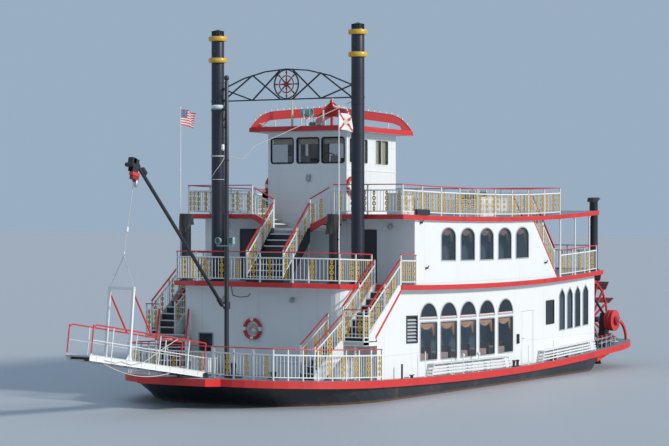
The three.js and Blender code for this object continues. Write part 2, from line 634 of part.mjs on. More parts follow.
const saloonFront = frontPanel(
  rectangle([PILOT_HALF + GAP, SALOON.sideY - WALL - GAP], [GAP, SALOON_ROOM - GAP]),
  SALOON.frontX - WALL, SALOON.frontX, [rectangle(SALOON_DOOR.y, SALOON_DOOR.z)],
);
const saloonHinges = hinges([SALOON.frontX - LEAF.inner, SALOON_DOOR.y[1] - SALOON_DOOR.gap],
  [0, -1], [1, 0]);
bothPieces(decks.saloon, 'saloon_front', saloonFront, 'white', withSheer, [saloonHinges.frame]);

// A door in a wall across the ship, whose outer face is at outerX and looks forward or aft
function crossDoor({ y, z, gap }, outerX, outward, notch) {
  const faces = [outerX - outward * LEAF.inner, outerX - outward * LEAF.outer].sort((a, b) => a - b);
  return sheered(block(faces, [y[0] + gap, y[1] - gap], [z[0] + gap, z[1] - gap]), withSheer).subtract(notch);
}
const saloonDoor = crossDoor(SALOON_DOOR, SALOON.frontX, 1, saloonHinges.notch);
bothPieces(decks.saloon, 'saloon_door', saloonDoor, 'white', rigid, [saloonHinges.leaf]);
const saloonSide = sidePanel([[SALOON.frontX, GAP], [SALOON.frontX, SALOON_ROOM - GAP],
  [SALOON.slopeTopX, SALOON_ROOM - GAP], [SALOON.slopeFootX, GAP]], SALOON.sideY - WALL, SALOON.sideY,
SALOON_LIGHTS.map(([x, width, bottom, top, rise]) => archedOpening(x, width, [bottom, top], rise)));
bothPieces(decks.saloon, 'saloon_side', saloonSide, 'white');
const saloonInner = SALOON.sideY - WALL - GAP;
const aftHinges = hinges([SALOON.aftX + LEAF.inner, AFT_DOOR.y[1] - AFT_DOOR.gap], [0, -1], [-1, 0]);
const saloonAft = frontPanel(rectangle([-saloonInner, saloonInner], [GAP, SALOON_ROOM - GAP]),
  SALOON.aftX, SALOON.aftX + WALL, [rectangle(AFT_DOOR.y, AFT_DOOR.z)]);
piece(decks.saloon, 'saloon_aft', saloonAft, 'white', withSheer, [aftHinges.frame]);
const aftDoor = crossDoor(AFT_DOOR, SALOON.aftX, -1, aftHinges.notch);
piece(decks.saloon, 'saloon_aft_door', aftDoor, 'white', rigid, [aftHinges.leaf]);

// Roof deck: notched for the wheelhouse front, with a well over each aft stair
const ROOF_PLAN = { frontX: 4200, wingY: 1650, aftX: -11700 };
const AFT_STAIR = { y: 3960, width: 880, headX: -6100, going: 205, risers: 11 };
const AFT_WELL = { x: [-7950, AFT_STAIR.headX + GAP], y: [3500, 4420] };
const roofDeckPlan = bothSides([[SALOON.frontX - WALL - GAP, PILOT_HALF + 20],
  [ROOF_PLAN.frontX, PILOT_HALF + 20], [ROOF_PLAN.frontX, HALF_BEAM], [ROOF_PLAN.aftX, HALF_BEAM]]);
const wells = [1, -1].map((side) => rectangle(AFT_WELL.x, AFT_WELL.y.map((y) => side * y)));
piece(decks.roof, 'roof_deck', slab(roofDeckPlan, -ROOF_DECK_DEPTH, 0, wells), 'red');

// Wheelhouse: its front stands on the saloon deck, its other walls on the roof deck
const WHEELHOUSE = { aftX: -310, floor: 880, floorX: 1100, floorDepth: 60, roof: 3010 };
const PILOT_LIGHTS_Z = [1880, 2790];
const PILOT_FRONT_LIGHTS = [[-1550, -590], [-430, 520], [640, 1590]];
const PILOT_SIDE_LIGHTS = [[1700, 2990], [240, 1160]];
const PILOT_AFT_LIGHT = [-1250, -350];
const PILOT_LIGHT_CORNER = 90;
const PILOT_DOOR = { y: [500, 1250], z: [30, 1980], gap: 12 };
const FRONT_FOOT = SALOON_DECK - ROOF_DECK + GAP;

const pilotFront = frontPanel(rectangle([-PILOT_HALF, PILOT_HALF], [FRONT_FOOT, WHEELHOUSE.roof - GAP]),
  SALOON.frontX - WALL, SALOON.frontX,
  PILOT_FRONT_LIGHTS.map((y) => roundedOpening(y, PILOT_LIGHTS_Z, PILOT_LIGHT_CORNER)));
piece(decks.roof, 'wheelhouse_front', pilotFront, 'white');
const pilotSide = sidePanel(
  rectangle([WHEELHOUSE.aftX, SALOON.frontX - WALL - GAP], [GAP, WHEELHOUSE.roof - GAP]),
  PILOT_HALF - WALL, PILOT_HALF,
  PILOT_SIDE_LIGHTS.map((x) => roundedOpening(x, PILOT_LIGHTS_Z, PILOT_LIGHT_CORNER)),
);
bothPieces(decks.roof, 'wheelhouse_side', pilotSide, 'white');
const pilotInner = PILOT_HALF - WALL - GAP;
const pilotHinges = hinges([WHEELHOUSE.aftX + LEAF.inner, PILOT_DOOR.y[1] - PILOT_DOOR.gap],
  [0, -1], [-1, 0]);
const pilotAft = frontPanel(rectangle([-pilotInner, pilotInner], [GAP, WHEELHOUSE.roof - GAP]),
  WHEELHOUSE.aftX, WHEELHOUSE.aftX + WALL,
  [rectangle(PILOT_DOOR.y, PILOT_DOOR.z),
    roundedOpening(PILOT_AFT_LIGHT, PILOT_LIGHTS_Z, PILOT_LIGHT_CORNER)]);
piece(decks.roof, 'wheelhouse_aft', pilotAft, 'white', withSheer, [pilotHinges.frame]);
const pilotDoor = crossDoor(PILOT_DOOR, WHEELHOUSE.aftX, -1, pilotHinges.notch);
piece(decks.roof, 'wheelhouse_door', pilotDoor, 'white', rigid, [pilotHinges.leaf]);
const { floor: floorTop, floorX, floorDepth } = WHEELHOUSE;
const pilotFloor = join([
  block([floorX, SALOON.frontX - WALL - GAP], [-pilotInner, pilotInner], [floorTop - floorDepth, floorTop]),
  block([floorX, floorX + WALL], [-pilotInner, pilotInner], [GAP, floorTop - floorDepth / 2]),
]);
piece(decks.roof, 'wheelhouse_floor', pilotFloor, 'deck');

// Wheelhouse roof, and the crown of four curved boards that rise from its corners to a ball
const PILOT_ROOF = { x: [-740, 3660], half: 2190, depth: 150 };
const roofMiddle = (PILOT_ROOF.x[0] + PILOT_ROOF.x[1]) / 2;
const pilotRoof = slab(rectangle(PILOT_ROOF.x, [-PILOT_ROOF.half, PILOT_ROOF.half]),
  WHEELHOUSE.roof, WHEELHOUSE.roof + PILOT_ROOF.depth);
piece(decks.roof, 'wheelhouse_roof', pilotRoof, 'red');

// A crown board. Columns: share of the way from the corner to the middle, its top edge, its underside
const CROWN_EDGES = [[0.01, 40, 0], [0.04, 170, 0], [0.086, 320, 0], [0.15, 500, 200], [0.25, 615, 310],
  [0.49, 700, 390], [0.81, 790, 475], [0.89, 805, 485], [0.93, 880, 490], [0.975, 1000, 495], [1, 1090, 500]];
const CROWN_BOARD = { thick: 40, footShare: 0.12 };

function roofCrown() {
  const spanX = PILOT_ROOF.x[1] - roofMiddle - 30;
  const spanY = PILOT_ROOF.half - 30;
  const span = Math.hypot(spanX, spanY);
  const at = (share) => span * (1 - share);
  const top = CROWN_EDGES.map(([share, height]) => [at(share), height]);
  const under = CROWN_EDGES.filter(([, , low]) => low > 0).map(([share, , low]) => [at(share), low]);
  const outline = [[at(0), GAP], ...top, ...under.reverse(), [at(CROWN_BOARD.footShare), GAP]];
  const boards = [0, 1, 2, 3].map((corner) => {
    const heading = Math.atan2(corner < 2 ? spanY : -spanY, corner % 2 ? -spanX : spanX);
    return sidePanel(outline, -CROWN_BOARD.thick / 2, CROWN_BOARD.thick / 2)
      .rotate([0, 0, THREE.MathUtils.radToDeg(heading)]);
  });
  const ball = solid(new THREE.SphereGeometry(60, 10, 6)).translate([0, 0, 1170]);
  const post = rod([0, 0, GAP], [0, 0, 1130], 50, 8);
  return join([...boards, post, ball]).translate([roofMiddle, 0, WHEELHOUSE.roof + PILOT_ROOF.depth]);
}
piece(decks.roof, 'roof_crown', roofCrown(), 'red');

// Capped chimneys, each with two gold rings, and the truss arch between them
const CHIMNEY = { x: 4510, y: 2990, radius: 232, ringRadius: 345, top: 9080, rings: [8815, 8030], ring: 190,
  sides: 16 };
const CHIMNEY_BASE = SALOON_DECK + sheerAt(CHIMNEY.x + CHIMNEY.radius);

function chimney() {
  const profile = [[0, GAP], [CHIMNEY.radius, GAP]];
  for (const middle of CHIMNEY.rings.slice().reverse()) {
    profile.push([CHIMNEY.radius, middle - CHIMNEY.ring / 2], [CHIMNEY.ringRadius, middle - CHIMNEY.ring / 2],
      [CHIMNEY.ringRadius, middle + CHIMNEY.ring / 2], [CHIMNEY.radius, middle + CHIMNEY.ring / 2]);
  }
  profile.push([CHIMNEY.radius, CHIMNEY.top - 60], [CHIMNEY.radius - 30, CHIMNEY.top], [25, CHIMNEY.top + 25],
    [0, CHIMNEY.top + 80]);
  return turned(profile, CHIMNEY.sides);
}
for (const [name, side] of [['chimney_port', 1], ['chimney_starboard', -1]]) {
  piece(model, name, chimney(), 'navy', rigid).position.set(CHIMNEY.x, side * CHIMNEY.y, CHIMNEY_BASE);
}

const ARCH = { foot: 6540, end: 6980, crown: 7620, chords: 6, bar: 46, ring: 535, ringBar: 40, pad: 60 };
const ARCH_NODES = [0.09, 0.53]; // the crossings either side of the middle, as shares of the half span

function chimneyArch() {
  const half = CHIMNEY.y - CHIMNEY.radius - 4;
  const top = (y) => [0, y, ARCH.end + (ARCH.crown - ARCH.end) * (1 - (y / half) ** 2)];
  const foot = (y) => [0, y, ARCH.foot];
  const parts = [bar(foot(-half), foot(half), ARCH.bar)];
  for (let i = 0; i < ARCH.chords; i += 1) {
    const y = (step) => half * ((2 * step) / ARCH.chords - 1);
    parts.push(bar(top(y(i)), top(y(i + 1)), ARCH.bar));
  }
  const [inner, outer] = ARCH_NODES.map((share) => share * half);
  for (const side of [1, -1]) {
    for (const [a, b] of [[inner, outer], [outer, half]]) {
      parts.push(bar(top(side * a), foot(side * b), ARCH.bar), bar(foot(side * a), top(side * b), ARCH.bar));
    }
    for (const z of [ARCH.foot, ARCH.end]) {
      parts.push(block([-ARCH.pad, ARCH.pad], [side * half - 12, side * half + 12],
        [z - ARCH.pad, z + ARCH.pad]));
    }
  }
  const ringZ = (ARCH.foot + ARCH.crown) / 2;
  const disc = rod([-20, 0, 0], [20, 0, 0], ARCH.ring, 24)
    .subtract(rod([-40, 0, 0], [40, 0, 0], ARCH.ring - ARCH.ringBar, 24));
  parts.push(disc.translate([0, 0, ringZ]));
  const chimneys = [1, -1].map((side) => rod([0, side * CHIMNEY.y, 0], [0, side * CHIMNEY.y, CHIMNEY.top],
    CHIMNEY.radius + GAP, CHIMNEY.sides));
  return join(parts).subtract(join(chimneys));
}
piece(model, 'chimney_arch', chimneyArch(), 'black', rigid).position.set(CHIMNEY.x, 0, CHIMNEY_BASE);

// Small stacks: two on the fore end of the saloon deck, each with a flagpole clamped beside it, and two
// at the aft end that pass behind the roof deck
const STACK = { radius: 172, capRadius: 225 };
function stack(height) {
  return turned([[0, GAP], [STACK.radius, GAP], [STACK.radius, height - 190], [STACK.capRadius, height - 120],
    [STACK.capRadius - 20, height], [0, height]], 16);
}
const FORE_STACK = { x: 6290, y: 3120, height: 2400 };
const FLAGPOLE = { x: 6330, y: 3345, top: 5950, radius: 22, clamps: [600, 1500], clamp: 60, bite: 100 };
const AFT_STACK = { x: -11895, y: 4300, height: 3000 };
const flagpole = join([
  rod([FLAGPOLE.x, FLAGPOLE.y, GAP], [FLAGPOLE.x, FLAGPOLE.y, FLAGPOLE.top], FLAGPOLE.radius, 8),
  ...FLAGPOLE.clamps.map((z) => block([FLAGPOLE.x - FLAGPOLE.radius, FLAGPOLE.x + FLAGPOLE.radius],
    [FORE_STACK.y + FLAGPOLE.bite, FLAGPOLE.y], [z, z + FLAGPOLE.clamp])),
]);
bothPieces(decks.saloon, 'fore_stack',
  join([stack(FORE_STACK.height).translate([FORE_STACK.x, FORE_STACK.y, 0]), flagpole]), 'black');
const aftStack = stack(AFT_STACK.height).translate([AFT_STACK.x, AFT_STACK.y, 0]);
bothPieces(decks.saloon, 'aft_stack', aftStack, 'black');

// Side stairs: a diagonal flight from the fore deck to a landing, then a flight aft to the saloon deck
const LANDING = { z: 1350, depth: 170, aftX: 5410, outerX: 6760, postY: 4200, post: 80 };
const LINK = { foreX: 4290, low: 820, high: 940, width: 60, depth: 150 }; // joins the two rails' ends
const LOWER_FLIGHT = { foot: [7590, 2855], heading: 150, risers: 6, rise: 225, going: 220, width: 1100 };
const UPPER_FLIGHT = { footX: 6420, y: [3520, 4600], risers: 8 };

function sideStair() {
  const deckStep = SALOON_DECK - MAIN_DECK;
  const run = (LOWER_FLIGHT.risers - 1) * LOWER_FLIGHT.going;
  const lower = stairFlight(LOWER_FLIGHT).rotate([0, 0, LOWER_FLIGHT.heading])
    .translate([LOWER_FLIGHT.foot[0], LOWER_FLIGHT.foot[1], GAP]);
  const turn = THREE.MathUtils.degToRad(LOWER_FLIGHT.heading);
  const edge = [LOWER_FLIGHT.foot[0] + run * Math.cos(turn), LOWER_FLIGHT.foot[1] + run * Math.sin(turn)];
  const across = (offset) => [edge[0] - Math.sin(turn) * offset, edge[1] + Math.cos(turn) * offset];
  const half = LOWER_FLIGHT.width / 2;
  const [innerEdge, outerEdge] = [across(half), across(-half)];
  const { outerX } = LANDING;
  const [nearY, farY] = UPPER_FLIGHT.y;
  const under = LANDING.z - LANDING.depth;
  const platform = slab([innerEdge, outerEdge, [outerX, farY], [LANDING.aftX, farY], [LANDING.aftX, nearY],
    [innerEdge[0], nearY]], under, LANDING.z - STAIR.tread - 5);
  const top = slab([innerEdge, outerEdge, [outerX, farY], [UPPER_FLIGHT.footX - 5, farY],
    [UPPER_FLIGHT.footX - 5, nearY], [innerEdge[0], nearY]], under + 20, LANDING.z);
  const posts = [[outerX - 100, LANDING.postY], [LANDING.aftX + 200, LANDING.postY],
    [outerEdge[0] - 60, outerEdge[1] - 60], [innerEdge[0] + 20, innerEdge[1] + 90]].map(([x, y]) => {
    const postHalf = LANDING.post / 2;
    return block([x - postHalf, x + postHalf], [y - postHalf, y + postHalf], [GAP, under + 5]);
  });
  const rise = (deckStep - LANDING.z) / UPPER_FLIGHT.risers;
  const going = (UPPER_FLIGHT.footX - SALOON_PLAN.wellX - 2 * GAP) / (UPPER_FLIGHT.risers - 1);
  const width = UPPER_FLIGHT.y[1] - UPPER_FLIGHT.y[0];
  const upper = stairFlight({ risers: UPPER_FLIGHT.risers, rise, going, width }).rotate([0, 0, 180])
    .translate([UPPER_FLIGHT.footX, (UPPER_FLIGHT.y[0] + UPPER_FLIGHT.y[1]) / 2, LANDING.z - 2]);
  const guard = railing([[outerEdge[0] - 30, outerEdge[1] + 20], [outerX - 40, UPPER_FLIGHT.y[1] - 30],
    [UPPER_FLIGHT.footX - 20, UPPER_FLIGHT.y[1] - 30]], -20).translate([0, 0, LANDING.z]);
  const sideGuard = railing([[SALOON_PLAN.wellX - 30, HALF_BEAM - INSET],
    [SALOON.frontX + 30, HALF_BEAM - INSET]]).translate([0, 0, deckStep]);
  const link = bar([LINK.foreX, HALF_BEAM - INSET, deckStep + LINK.low],
    [SALOON_PLAN.wellX - 20, HALF_BEAM - INSET, deckStep + LINK.high], LINK.width, LINK.depth);
  return join([lower, platform, top, ...posts, upper, guard, sideGuard, link]);
}
bothPieces(decks.main, 'side_stair', sideStair(), 'black');

// Centre stair: from the saloon deck up to a half landing before the wheelhouse front, then a short
// flight out to each wing of the roof deck. Heights here are above the saloon deck
const CENTRE = { landing: 1970, landingX: [3180, 4190], depth: 100, half: 800, risers: 9, going: 216,
  wingPostY: 1600, legY: [650, 720] };

function centreStair() {
  const deckStep = ROOF_DECK - SALOON_DECK;
  const [backX, frontX] = CENTRE.landingX;
  const flight = stairFlight({ risers: CENTRE.risers, rise: CENTRE.landing / CENTRE.risers,
    going: CENTRE.going, width: 2 * CENTRE.half }).rotate([0, 0, 180])
    .translate([frontX + (CENTRE.risers - 1) * CENTRE.going, 0, GAP]);
  const landing = block([backX, frontX + 10], [-CENTRE.half, CENTRE.half],
    [CENTRE.landing - CENTRE.depth, CENTRE.landing]);
  const parts = [flight, landing];
  const rise = (deckStep - CENTRE.landing) / 3;
  const going = (PILOT_HALF + 20 - GAP - CENTRE.half) / 3;
  for (const side of [1, -1]) {
    for (const step of [1, 2]) {
      const z = CENTRE.landing + step * rise;
      const from = CENTRE.half + (step - 1) * going - 20;
      const to = step === 2 ? CENTRE.half + 3 * going : CENTRE.half + step * going;
      parts.push(block([backX, frontX], side > 0 ? [from, to] : [-to, -from], [z - rise - 60, z]));
    }
    const half = RAIL.post / 2;
    const post = (y, z0, z1) => block([frontX - RAIL.post, frontX],
      [side * y - half, side * y + half], [z0, z1]);
    const foot = CENTRE.landing + RAIL.height - RAIL.top;
    const head = foot + 2 * rise;
    const innerY = CENTRE.half - half;
    parts.push(post(innerY, CENTRE.landing - 20, foot), post(CENTRE.wingPostY, CENTRE.landing + rise, head));
    parts.push(bar([frontX - half, side * innerY, foot],
      [frontX - half, side * (CENTRE.wingPostY + half), head], RAIL.top));
    parts.push(block([frontX - 80, frontX - 20], CENTRE.legY.map((y) => side * y).sort((a, b) => a - b),
      [GAP, CENTRE.landing - CENTRE.depth / 2]));
  }
  return join(parts);
}
piece(decks.saloon, 'centre_stair', centreStair(), 'black');

// Aft stairs: from the open aft end of the saloon deck forward to the roof deck, up through its wells
function aftStair() {
  const deckStep = ROOF_DECK - SALOON_DECK;
  const run = (AFT_STAIR.risers - 1) * AFT_STAIR.going;
  return stairFlight({ risers: AFT_STAIR.risers, rise: deckStep / AFT_STAIR.risers, going: AFT_STAIR.going,
    width: AFT_STAIR.width }).translate([AFT_STAIR.headX - run, AFT_STAIR.y, GAP]);
}
bothPieces(decks.saloon, 'aft_stair', aftStair(), 'black');

// Railings
const FORE_RAIL = { inset: 115, frontX: 9800, endY: 580, aftX: 5470, steps: 11 };
const GATE = { half: 500, foot: 50, bracket: 30 };
const foreRailCurve = bowCurve(FORE_RAIL.inset, FORE_RAIL.steps).filter(([x]) => x < FORE_RAIL.frontX - 200);
const foreRailCorner = bowCurve(FORE_RAIL.inset, 90).find(([x]) => x < FORE_RAIL.frontX);
const foreRailLine = [[FORE_RAIL.frontX, FORE_RAIL.endY], [FORE_RAIL.frontX, foreRailCorner[1]],
  ...foreRailCurve.slice(0, -1), [FORE_RAIL.aftX, HALF_BEAM - FORE_RAIL.inset]];
const gateBracket = block([FORE_RAIL.frontX - RAIL.post / 2, FORE_RAIL.frontX + RAIL.post / 2],
  [GATE.half - 10, FORE_RAIL.endY], [GATE.foot - GATE.bracket, GATE.foot - GAP])
  .translate([0, 0, sheerAt(FORE_RAIL.frontX)]);
bothPieces(decks.main, 'fore_rail', railing(foreRailLine), 'white', withSheer, [gateBracket]);
const gate = railing([[FORE_RAIL.frontX, GATE.half], [FORE_RAIL.frontX, -GATE.half]], GATE.foot)
  .translate([0, 0, sheerAt(FORE_RAIL.frontX)]);
piece(decks.main, 'bow_gate', gate, 'white', rigid);
const saloonRailLine = bothSides([[SALOON_PLAN.frontX - INSET, SALOON_PLAN.frontHalf - 30],
  [SALOON_PLAN.chamferX - INSET, SALOON_PLAN.wellY - INSET],
  [SALOON_PLAN.wellX + 20, SALOON_PLAN.wellY - INSET]]);
const saloonRail = [...saloonRailLine.slice(3), ...saloonRailLine.slice(0, 3)];
piece(decks.saloon, 'saloon_fore_rail', railing(saloonRail), 'white');

const AFT_RAIL = { foreX: SALOON.slopeFootX - 60, aftX: -11560 };
const DECK_POST = { x: [-8240, -9560, -10900], width: 70 };
const aftRailLine = [[AFT_RAIL.foreX, HALF_BEAM - INSET], [AFT_RAIL.aftX, HALF_BEAM - INSET],
  [AFT_RAIL.aftX, -HALF_BEAM + INSET], [AFT_RAIL.foreX, -HALF_BEAM + INSET]];
const deckPosts = DECK_POST.x.flatMap((x) => [1, -1].map((side) => {
  const y = side * (HALF_BEAM - INSET);
  const half = DECK_POST.width / 2;
  return block([x - half, x + half], [y - half, y + half], [GAP, SALOON_ROOM - GAP]);
}));
piece(decks.saloon, 'saloon_aft_rail', join([railing(aftRailLine), ...deckPosts]), 'white');

const ROOF_RAIL_AFT = -8200;
const roofRailLine = [[ROOF_PLAN.frontX - INSET, PILOT_HALF + 60],
  [ROOF_PLAN.frontX - INSET, HALF_BEAM - INSET],
  [ROOF_RAIL_AFT, HALF_BEAM - INSET], [ROOF_RAIL_AFT, -HALF_BEAM + INSET],
  [ROOF_PLAN.frontX - INSET, -HALF_BEAM + INSET], [ROOF_PLAN.frontX - INSET, -PILOT_HALF - 60]];
piece(decks.roof, 'roof_rail', railing(roofRailLine), 'white');

// Derrick: a mast on the fore deck, a collar that turns on it, a boom hinged to the collar, and the
// fall that hangs from the boom's end
const MAST = { x: 8240, radius: 80, baseRadius: 190, top: 12020, ball: 95 };
const BOOM = { z: 4250, pivot: 260, tip: [13340, 9020], radius: 60, pin: 25, tipPin: 20, pinSides: 16 };
const COLLAR = { radius: 130, half: 100, clear: 6, lug: 20, lugDepth: 60 };
const mastFoot = MAIN_DECK + sheerAt(MAST.x + MAST.baseRadius) + GAP;
const mast = join([
  rod([MAST.x, 0, mastFoot], [MAST.x, 0, MAST.top - 60], MAST.radius, 16),
  rod([MAST.x, 0, mastFoot], [MAST.x, 0, mastFoot + 40], MAST.baseRadius, 16),
  rod([MAST.x, 0, BOOM.z - COLLAR.half - 40], [MAST.x, 0, BOOM.z - COLLAR.half - GAP], COLLAR.radius, 16),
  solid(new THREE.SphereGeometry(MAST.ball, 10, 6)).translate([MAST.x, 0, MAST.top]),
]);
piece(model, 'mast', mast, 'black', rigid);

const derrick = new THREE.Group();
derrick.position.set(MAST.x, 0, BOOM.z);
model.add(derrick);
const collar = join([
  rod([0, 0, -COLLAR.half], [0, 0, COLLAR.half], COLLAR.radius, 16),
  block([COLLAR.radius - 70, BOOM.pivot + 60], [-COLLAR.lug, COLLAR.lug],
    [-COLLAR.lugDepth, COLLAR.lugDepth]),
]).subtract(join([
  rod([0, 0, -COLLAR.half - 1], [0, 0, COLLAR.half + 1], MAST.radius + COLLAR.clear, 16),
  rod([BOOM.pivot, -200, 0], [BOOM.pivot, 200, 0], boreRadius(BOOM.pin, BOOM.pinSides), BOOM.pinSides),
]));
piece(derrick, 'boom_collar', collar, 'black', rigid);

const boomRun = BOOM.tip[0] - MAST.x - BOOM.pivot;
const boomLength = Math.hypot(boomRun, BOOM.tip[1] - BOOM.z);
const boomPitch = Math.atan2(BOOM.tip[1] - BOOM.z, boomRun);
const boomGroup = new THREE.Group();
boomGroup.position.x = BOOM.pivot;
boomGroup.rotation.y = -boomPitch;
derrick.add(boomGroup);
const CHEEK = { x: [-50, 330], y: [26, 60], half: 55 };
const TIP_CHEEK = { x: [-220, 60], y: [32, 56], half: 60 };
const cheekPair = ({ x, y, half }, from) => [1, -1].map((side) => block(x.map((value) => from + value),
  y.map((value) => side * value).sort((a, b) => a - b), [-half, half]));
const cheeks = cheekPair(CHEEK, 0);
const tipCheeks = cheekPair(TIP_CHEEK, boomLength);
const boomPins = [rod([0, -CHEEK.y[1], 0], [0, CHEEK.y[1], 0], BOOM.pin, BOOM.pinSides),
  rod([boomLength, -TIP_CHEEK.y[1], 0], [boomLength, TIP_CHEEK.y[1], 0], BOOM.tipPin, BOOM.pinSides)];
const boomTube = rod([130, 0, 0], [boomLength - 150, 0, 0], BOOM.radius, 16);
piece(boomGroup, 'boom', join([boomTube, ...cheeks, ...tipCheeks, ...boomPins]), 'black', rigid);

// Landing stage: two girders with a deck between them, a rail along each side, and a portal that the
// bridle lifts it by. It hinges on a tube at its inboard end
const STAGE = { x: 10230, z: 2007, pitch: 8.6, length: 6180, half: 505, girder: 200, tube: 40, tubeHalf: 575,
  tubeSides: 24, deck: [20, 60], rail: 940, midRail: 450 };
const SADDLE = { y: [520, 560], foot: 120, head: 75, top: 60, tieX: [-130, -85], tieDepth: 60 };
const PORTAL = { x: 4170, topX: 4270, height: 2430, bar: 90, braceX: 3150, gusset: 160 };
const STAGE_RAIL_END = 60; // of the rails from the stage's ends
const STAGE_POSTS = [STAGE_RAIL_END, 1000, 2600, PORTAL.x, 5100, STAGE.length - STAGE_RAIL_END];
const RING = { x: 13985, z: 6030 };

function landingStage() {
  const top = STAGE.girder / 2;
  const parts = [rod([0, -STAGE.tubeHalf, 0], [0, STAGE.tubeHalf, 0], STAGE.tube, STAGE.tubeSides)];
  for (const side of [1, -1]) {
    const y = side * (STAGE.half - 25);
    parts.push(block([-30, STAGE.length], [y - 25, y + 25], [-top, top]));
    for (const x of STAGE_POSTS) {
      parts.push(block([x - 22, x + 22], [y - 22, y + 22], [top - 5, top + STAGE.rail]));
    }
    for (const [height, size] of [[STAGE.rail, 50], [STAGE.midRail, 34]]) {
      parts.push(bar([STAGE_RAIL_END, y, top + height],
        [STAGE.length - STAGE_RAIL_END, y, top + height], size));
    }
    parts.push(bar([PORTAL.x, y, top - 5], [PORTAL.topX, y, PORTAL.height], PORTAL.bar));
    parts.push(bar([PORTAL.topX, y, PORTAL.height - 160], [PORTAL.braceX, y, top + STAGE.rail], 50));
    parts.push(sidePanel([[PORTAL.x - PORTAL.gusset, top - 5], [PORTAL.x + PORTAL.gusset, top - 5],
      [PORTAL.x, top + 200]], y - 20, y + 20));
  }
  parts.push(block([PORTAL.topX - 45, PORTAL.topX + 45], [-STAGE.half, STAGE.half],
    [PORTAL.height - PORTAL.bar, PORTAL.height]));
  parts.push(block([10, STAGE.length], [-STAGE.half + 40, STAGE.half - 40], STAGE.deck));
  return join(parts);
}
const stageGroup = new THREE.Group();
stageGroup.position.set(STAGE.x, 0, STAGE.z);
stageGroup.rotation.y = -THREE.MathUtils.degToRad(STAGE.pitch);
model.add(stageGroup);

const toStage = (x, z) => {
  const angle = THREE.MathUtils.degToRad(STAGE.pitch);
  const [dx, dz] = [x - STAGE.x, z - STAGE.z];
  return [dx * Math.cos(angle) + dz * Math.sin(angle), dz * Math.cos(angle) - dx * Math.sin(angle)];
};
const [ringX, ringZ] = toStage(RING.x, RING.z);
const bridle = [1, -1].map((side) => rod([PORTAL.topX, side * (STAGE.half - 25), PORTAL.height - 40],
  [ringX, 0, ringZ], 14, 6));
const ring = solid(new THREE.SphereGeometry(55, 10, 6)).translate([ringX, 0, ringZ]);
piece(stageGroup, 'stage', join([landingStage(), ...bridle, ring]), 'white', rigid);

// Saddle: an ear outside each girder for the hinge tube, and a tie between them behind the stage
const saddleFoot = MAIN_DECK + sheerAt(STAGE.x + SADDLE.foot) + GAP - STAGE.z;
const saddleParts = [1, -1].map((side) => {
  const [inner, outer] = SADDLE.y.map((y) => side * y).sort((a, b) => a - b);
  return sidePanel([[SADDLE.tieX[0], saddleFoot], [SADDLE.foot, saddleFoot], [SADDLE.head, SADDLE.top],
    [-SADDLE.head, SADDLE.top]], inner, outer)
    .subtract(rod([0, -STAGE.length, 0], [0, STAGE.length, 0], boreRadius(STAGE.tube, STAGE.tubeSides),
      STAGE.tubeSides));
});
saddleParts.push(block(SADDLE.tieX, [-SADDLE.y[1], SADDLE.y[1]], [saddleFoot, saddleFoot + SADDLE.tieDepth]));
piece(model, 'stage_saddle', join(saddleParts), 'black', rigid).position.set(STAGE.x, 0, STAGE.z);

// Fall: an eye on the pin at the boom's end, a hoist with its motor, and the rope down to the ring.
// Distances are along the rope from the pin
const FALL = { eye: 45, eyeHalf: 24, strap: [38, 320], strapSize: [40, 24], hoist: [300, 560],
  hoistWidth: 380, hoistDepth: 180, motor: [550, 800], motorY: 110, motorRadius: 62, rope: 12, ringGap: 70 };
const boomTip = [BOOM.tip[0] - MAST.x, BOOM.tip[1] - BOOM.z];
const down = [RING.x - BOOM.tip[0], RING.z - BOOM.tip[1]];
const reach = Math.hypot(...down);
const along = (length, y = 0) => [(down[0] / reach) * length, y, (down[1] / reach) * length];
const fall = join([
  rod([0, -FALL.eyeHalf, 0], [0, FALL.eyeHalf, 0], FALL.eye, 12).subtract(rod([0, -FALL.eye, 0],
    [0, FALL.eye, 0], boreRadius(BOOM.tipPin, BOOM.pinSides), BOOM.pinSides)),
  bar(along(FALL.strap[0]), along(FALL.strap[1]), ...FALL.strapSize),
  bar(along(FALL.hoist[0]), along(FALL.hoist[1]), FALL.hoistWidth, FALL.hoistDepth),
  rod(along(FALL.motor[0], FALL.motorY), along(FALL.motor[1], FALL.motorY), FALL.motorRadius, 12),
  rod(along(FALL.hoist[1] - 10), along(reach - FALL.ringGap), FALL.rope, 6),
]);
const fallGroup = new THREE.Group();
fallGroup.position.set(boomTip[0], 0, boomTip[1]);
derrick.add(fallGroup);
piece(fallGroup, 'fall', fall, 'steel', rigid);

export default model;
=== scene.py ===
# %% [markdown]
# # A stern-wheel paddle steamer
# A river boat of three decks: a main deck house full of tall windows, a saloon above it, and an open roof
# deck with the wheelhouse. The solid model already holds every wall, deck and moving piece at its real
# size. This lesson dresses it: paint, glass, railings, stairs, flags and deck gear. Everything is in
# metres, +X is the bow, +Y is port, and the water lies at WATER.

# %% Load the fixed frame
import json
import math

import bmesh
import bpy
from mathutils import Matrix, Vector

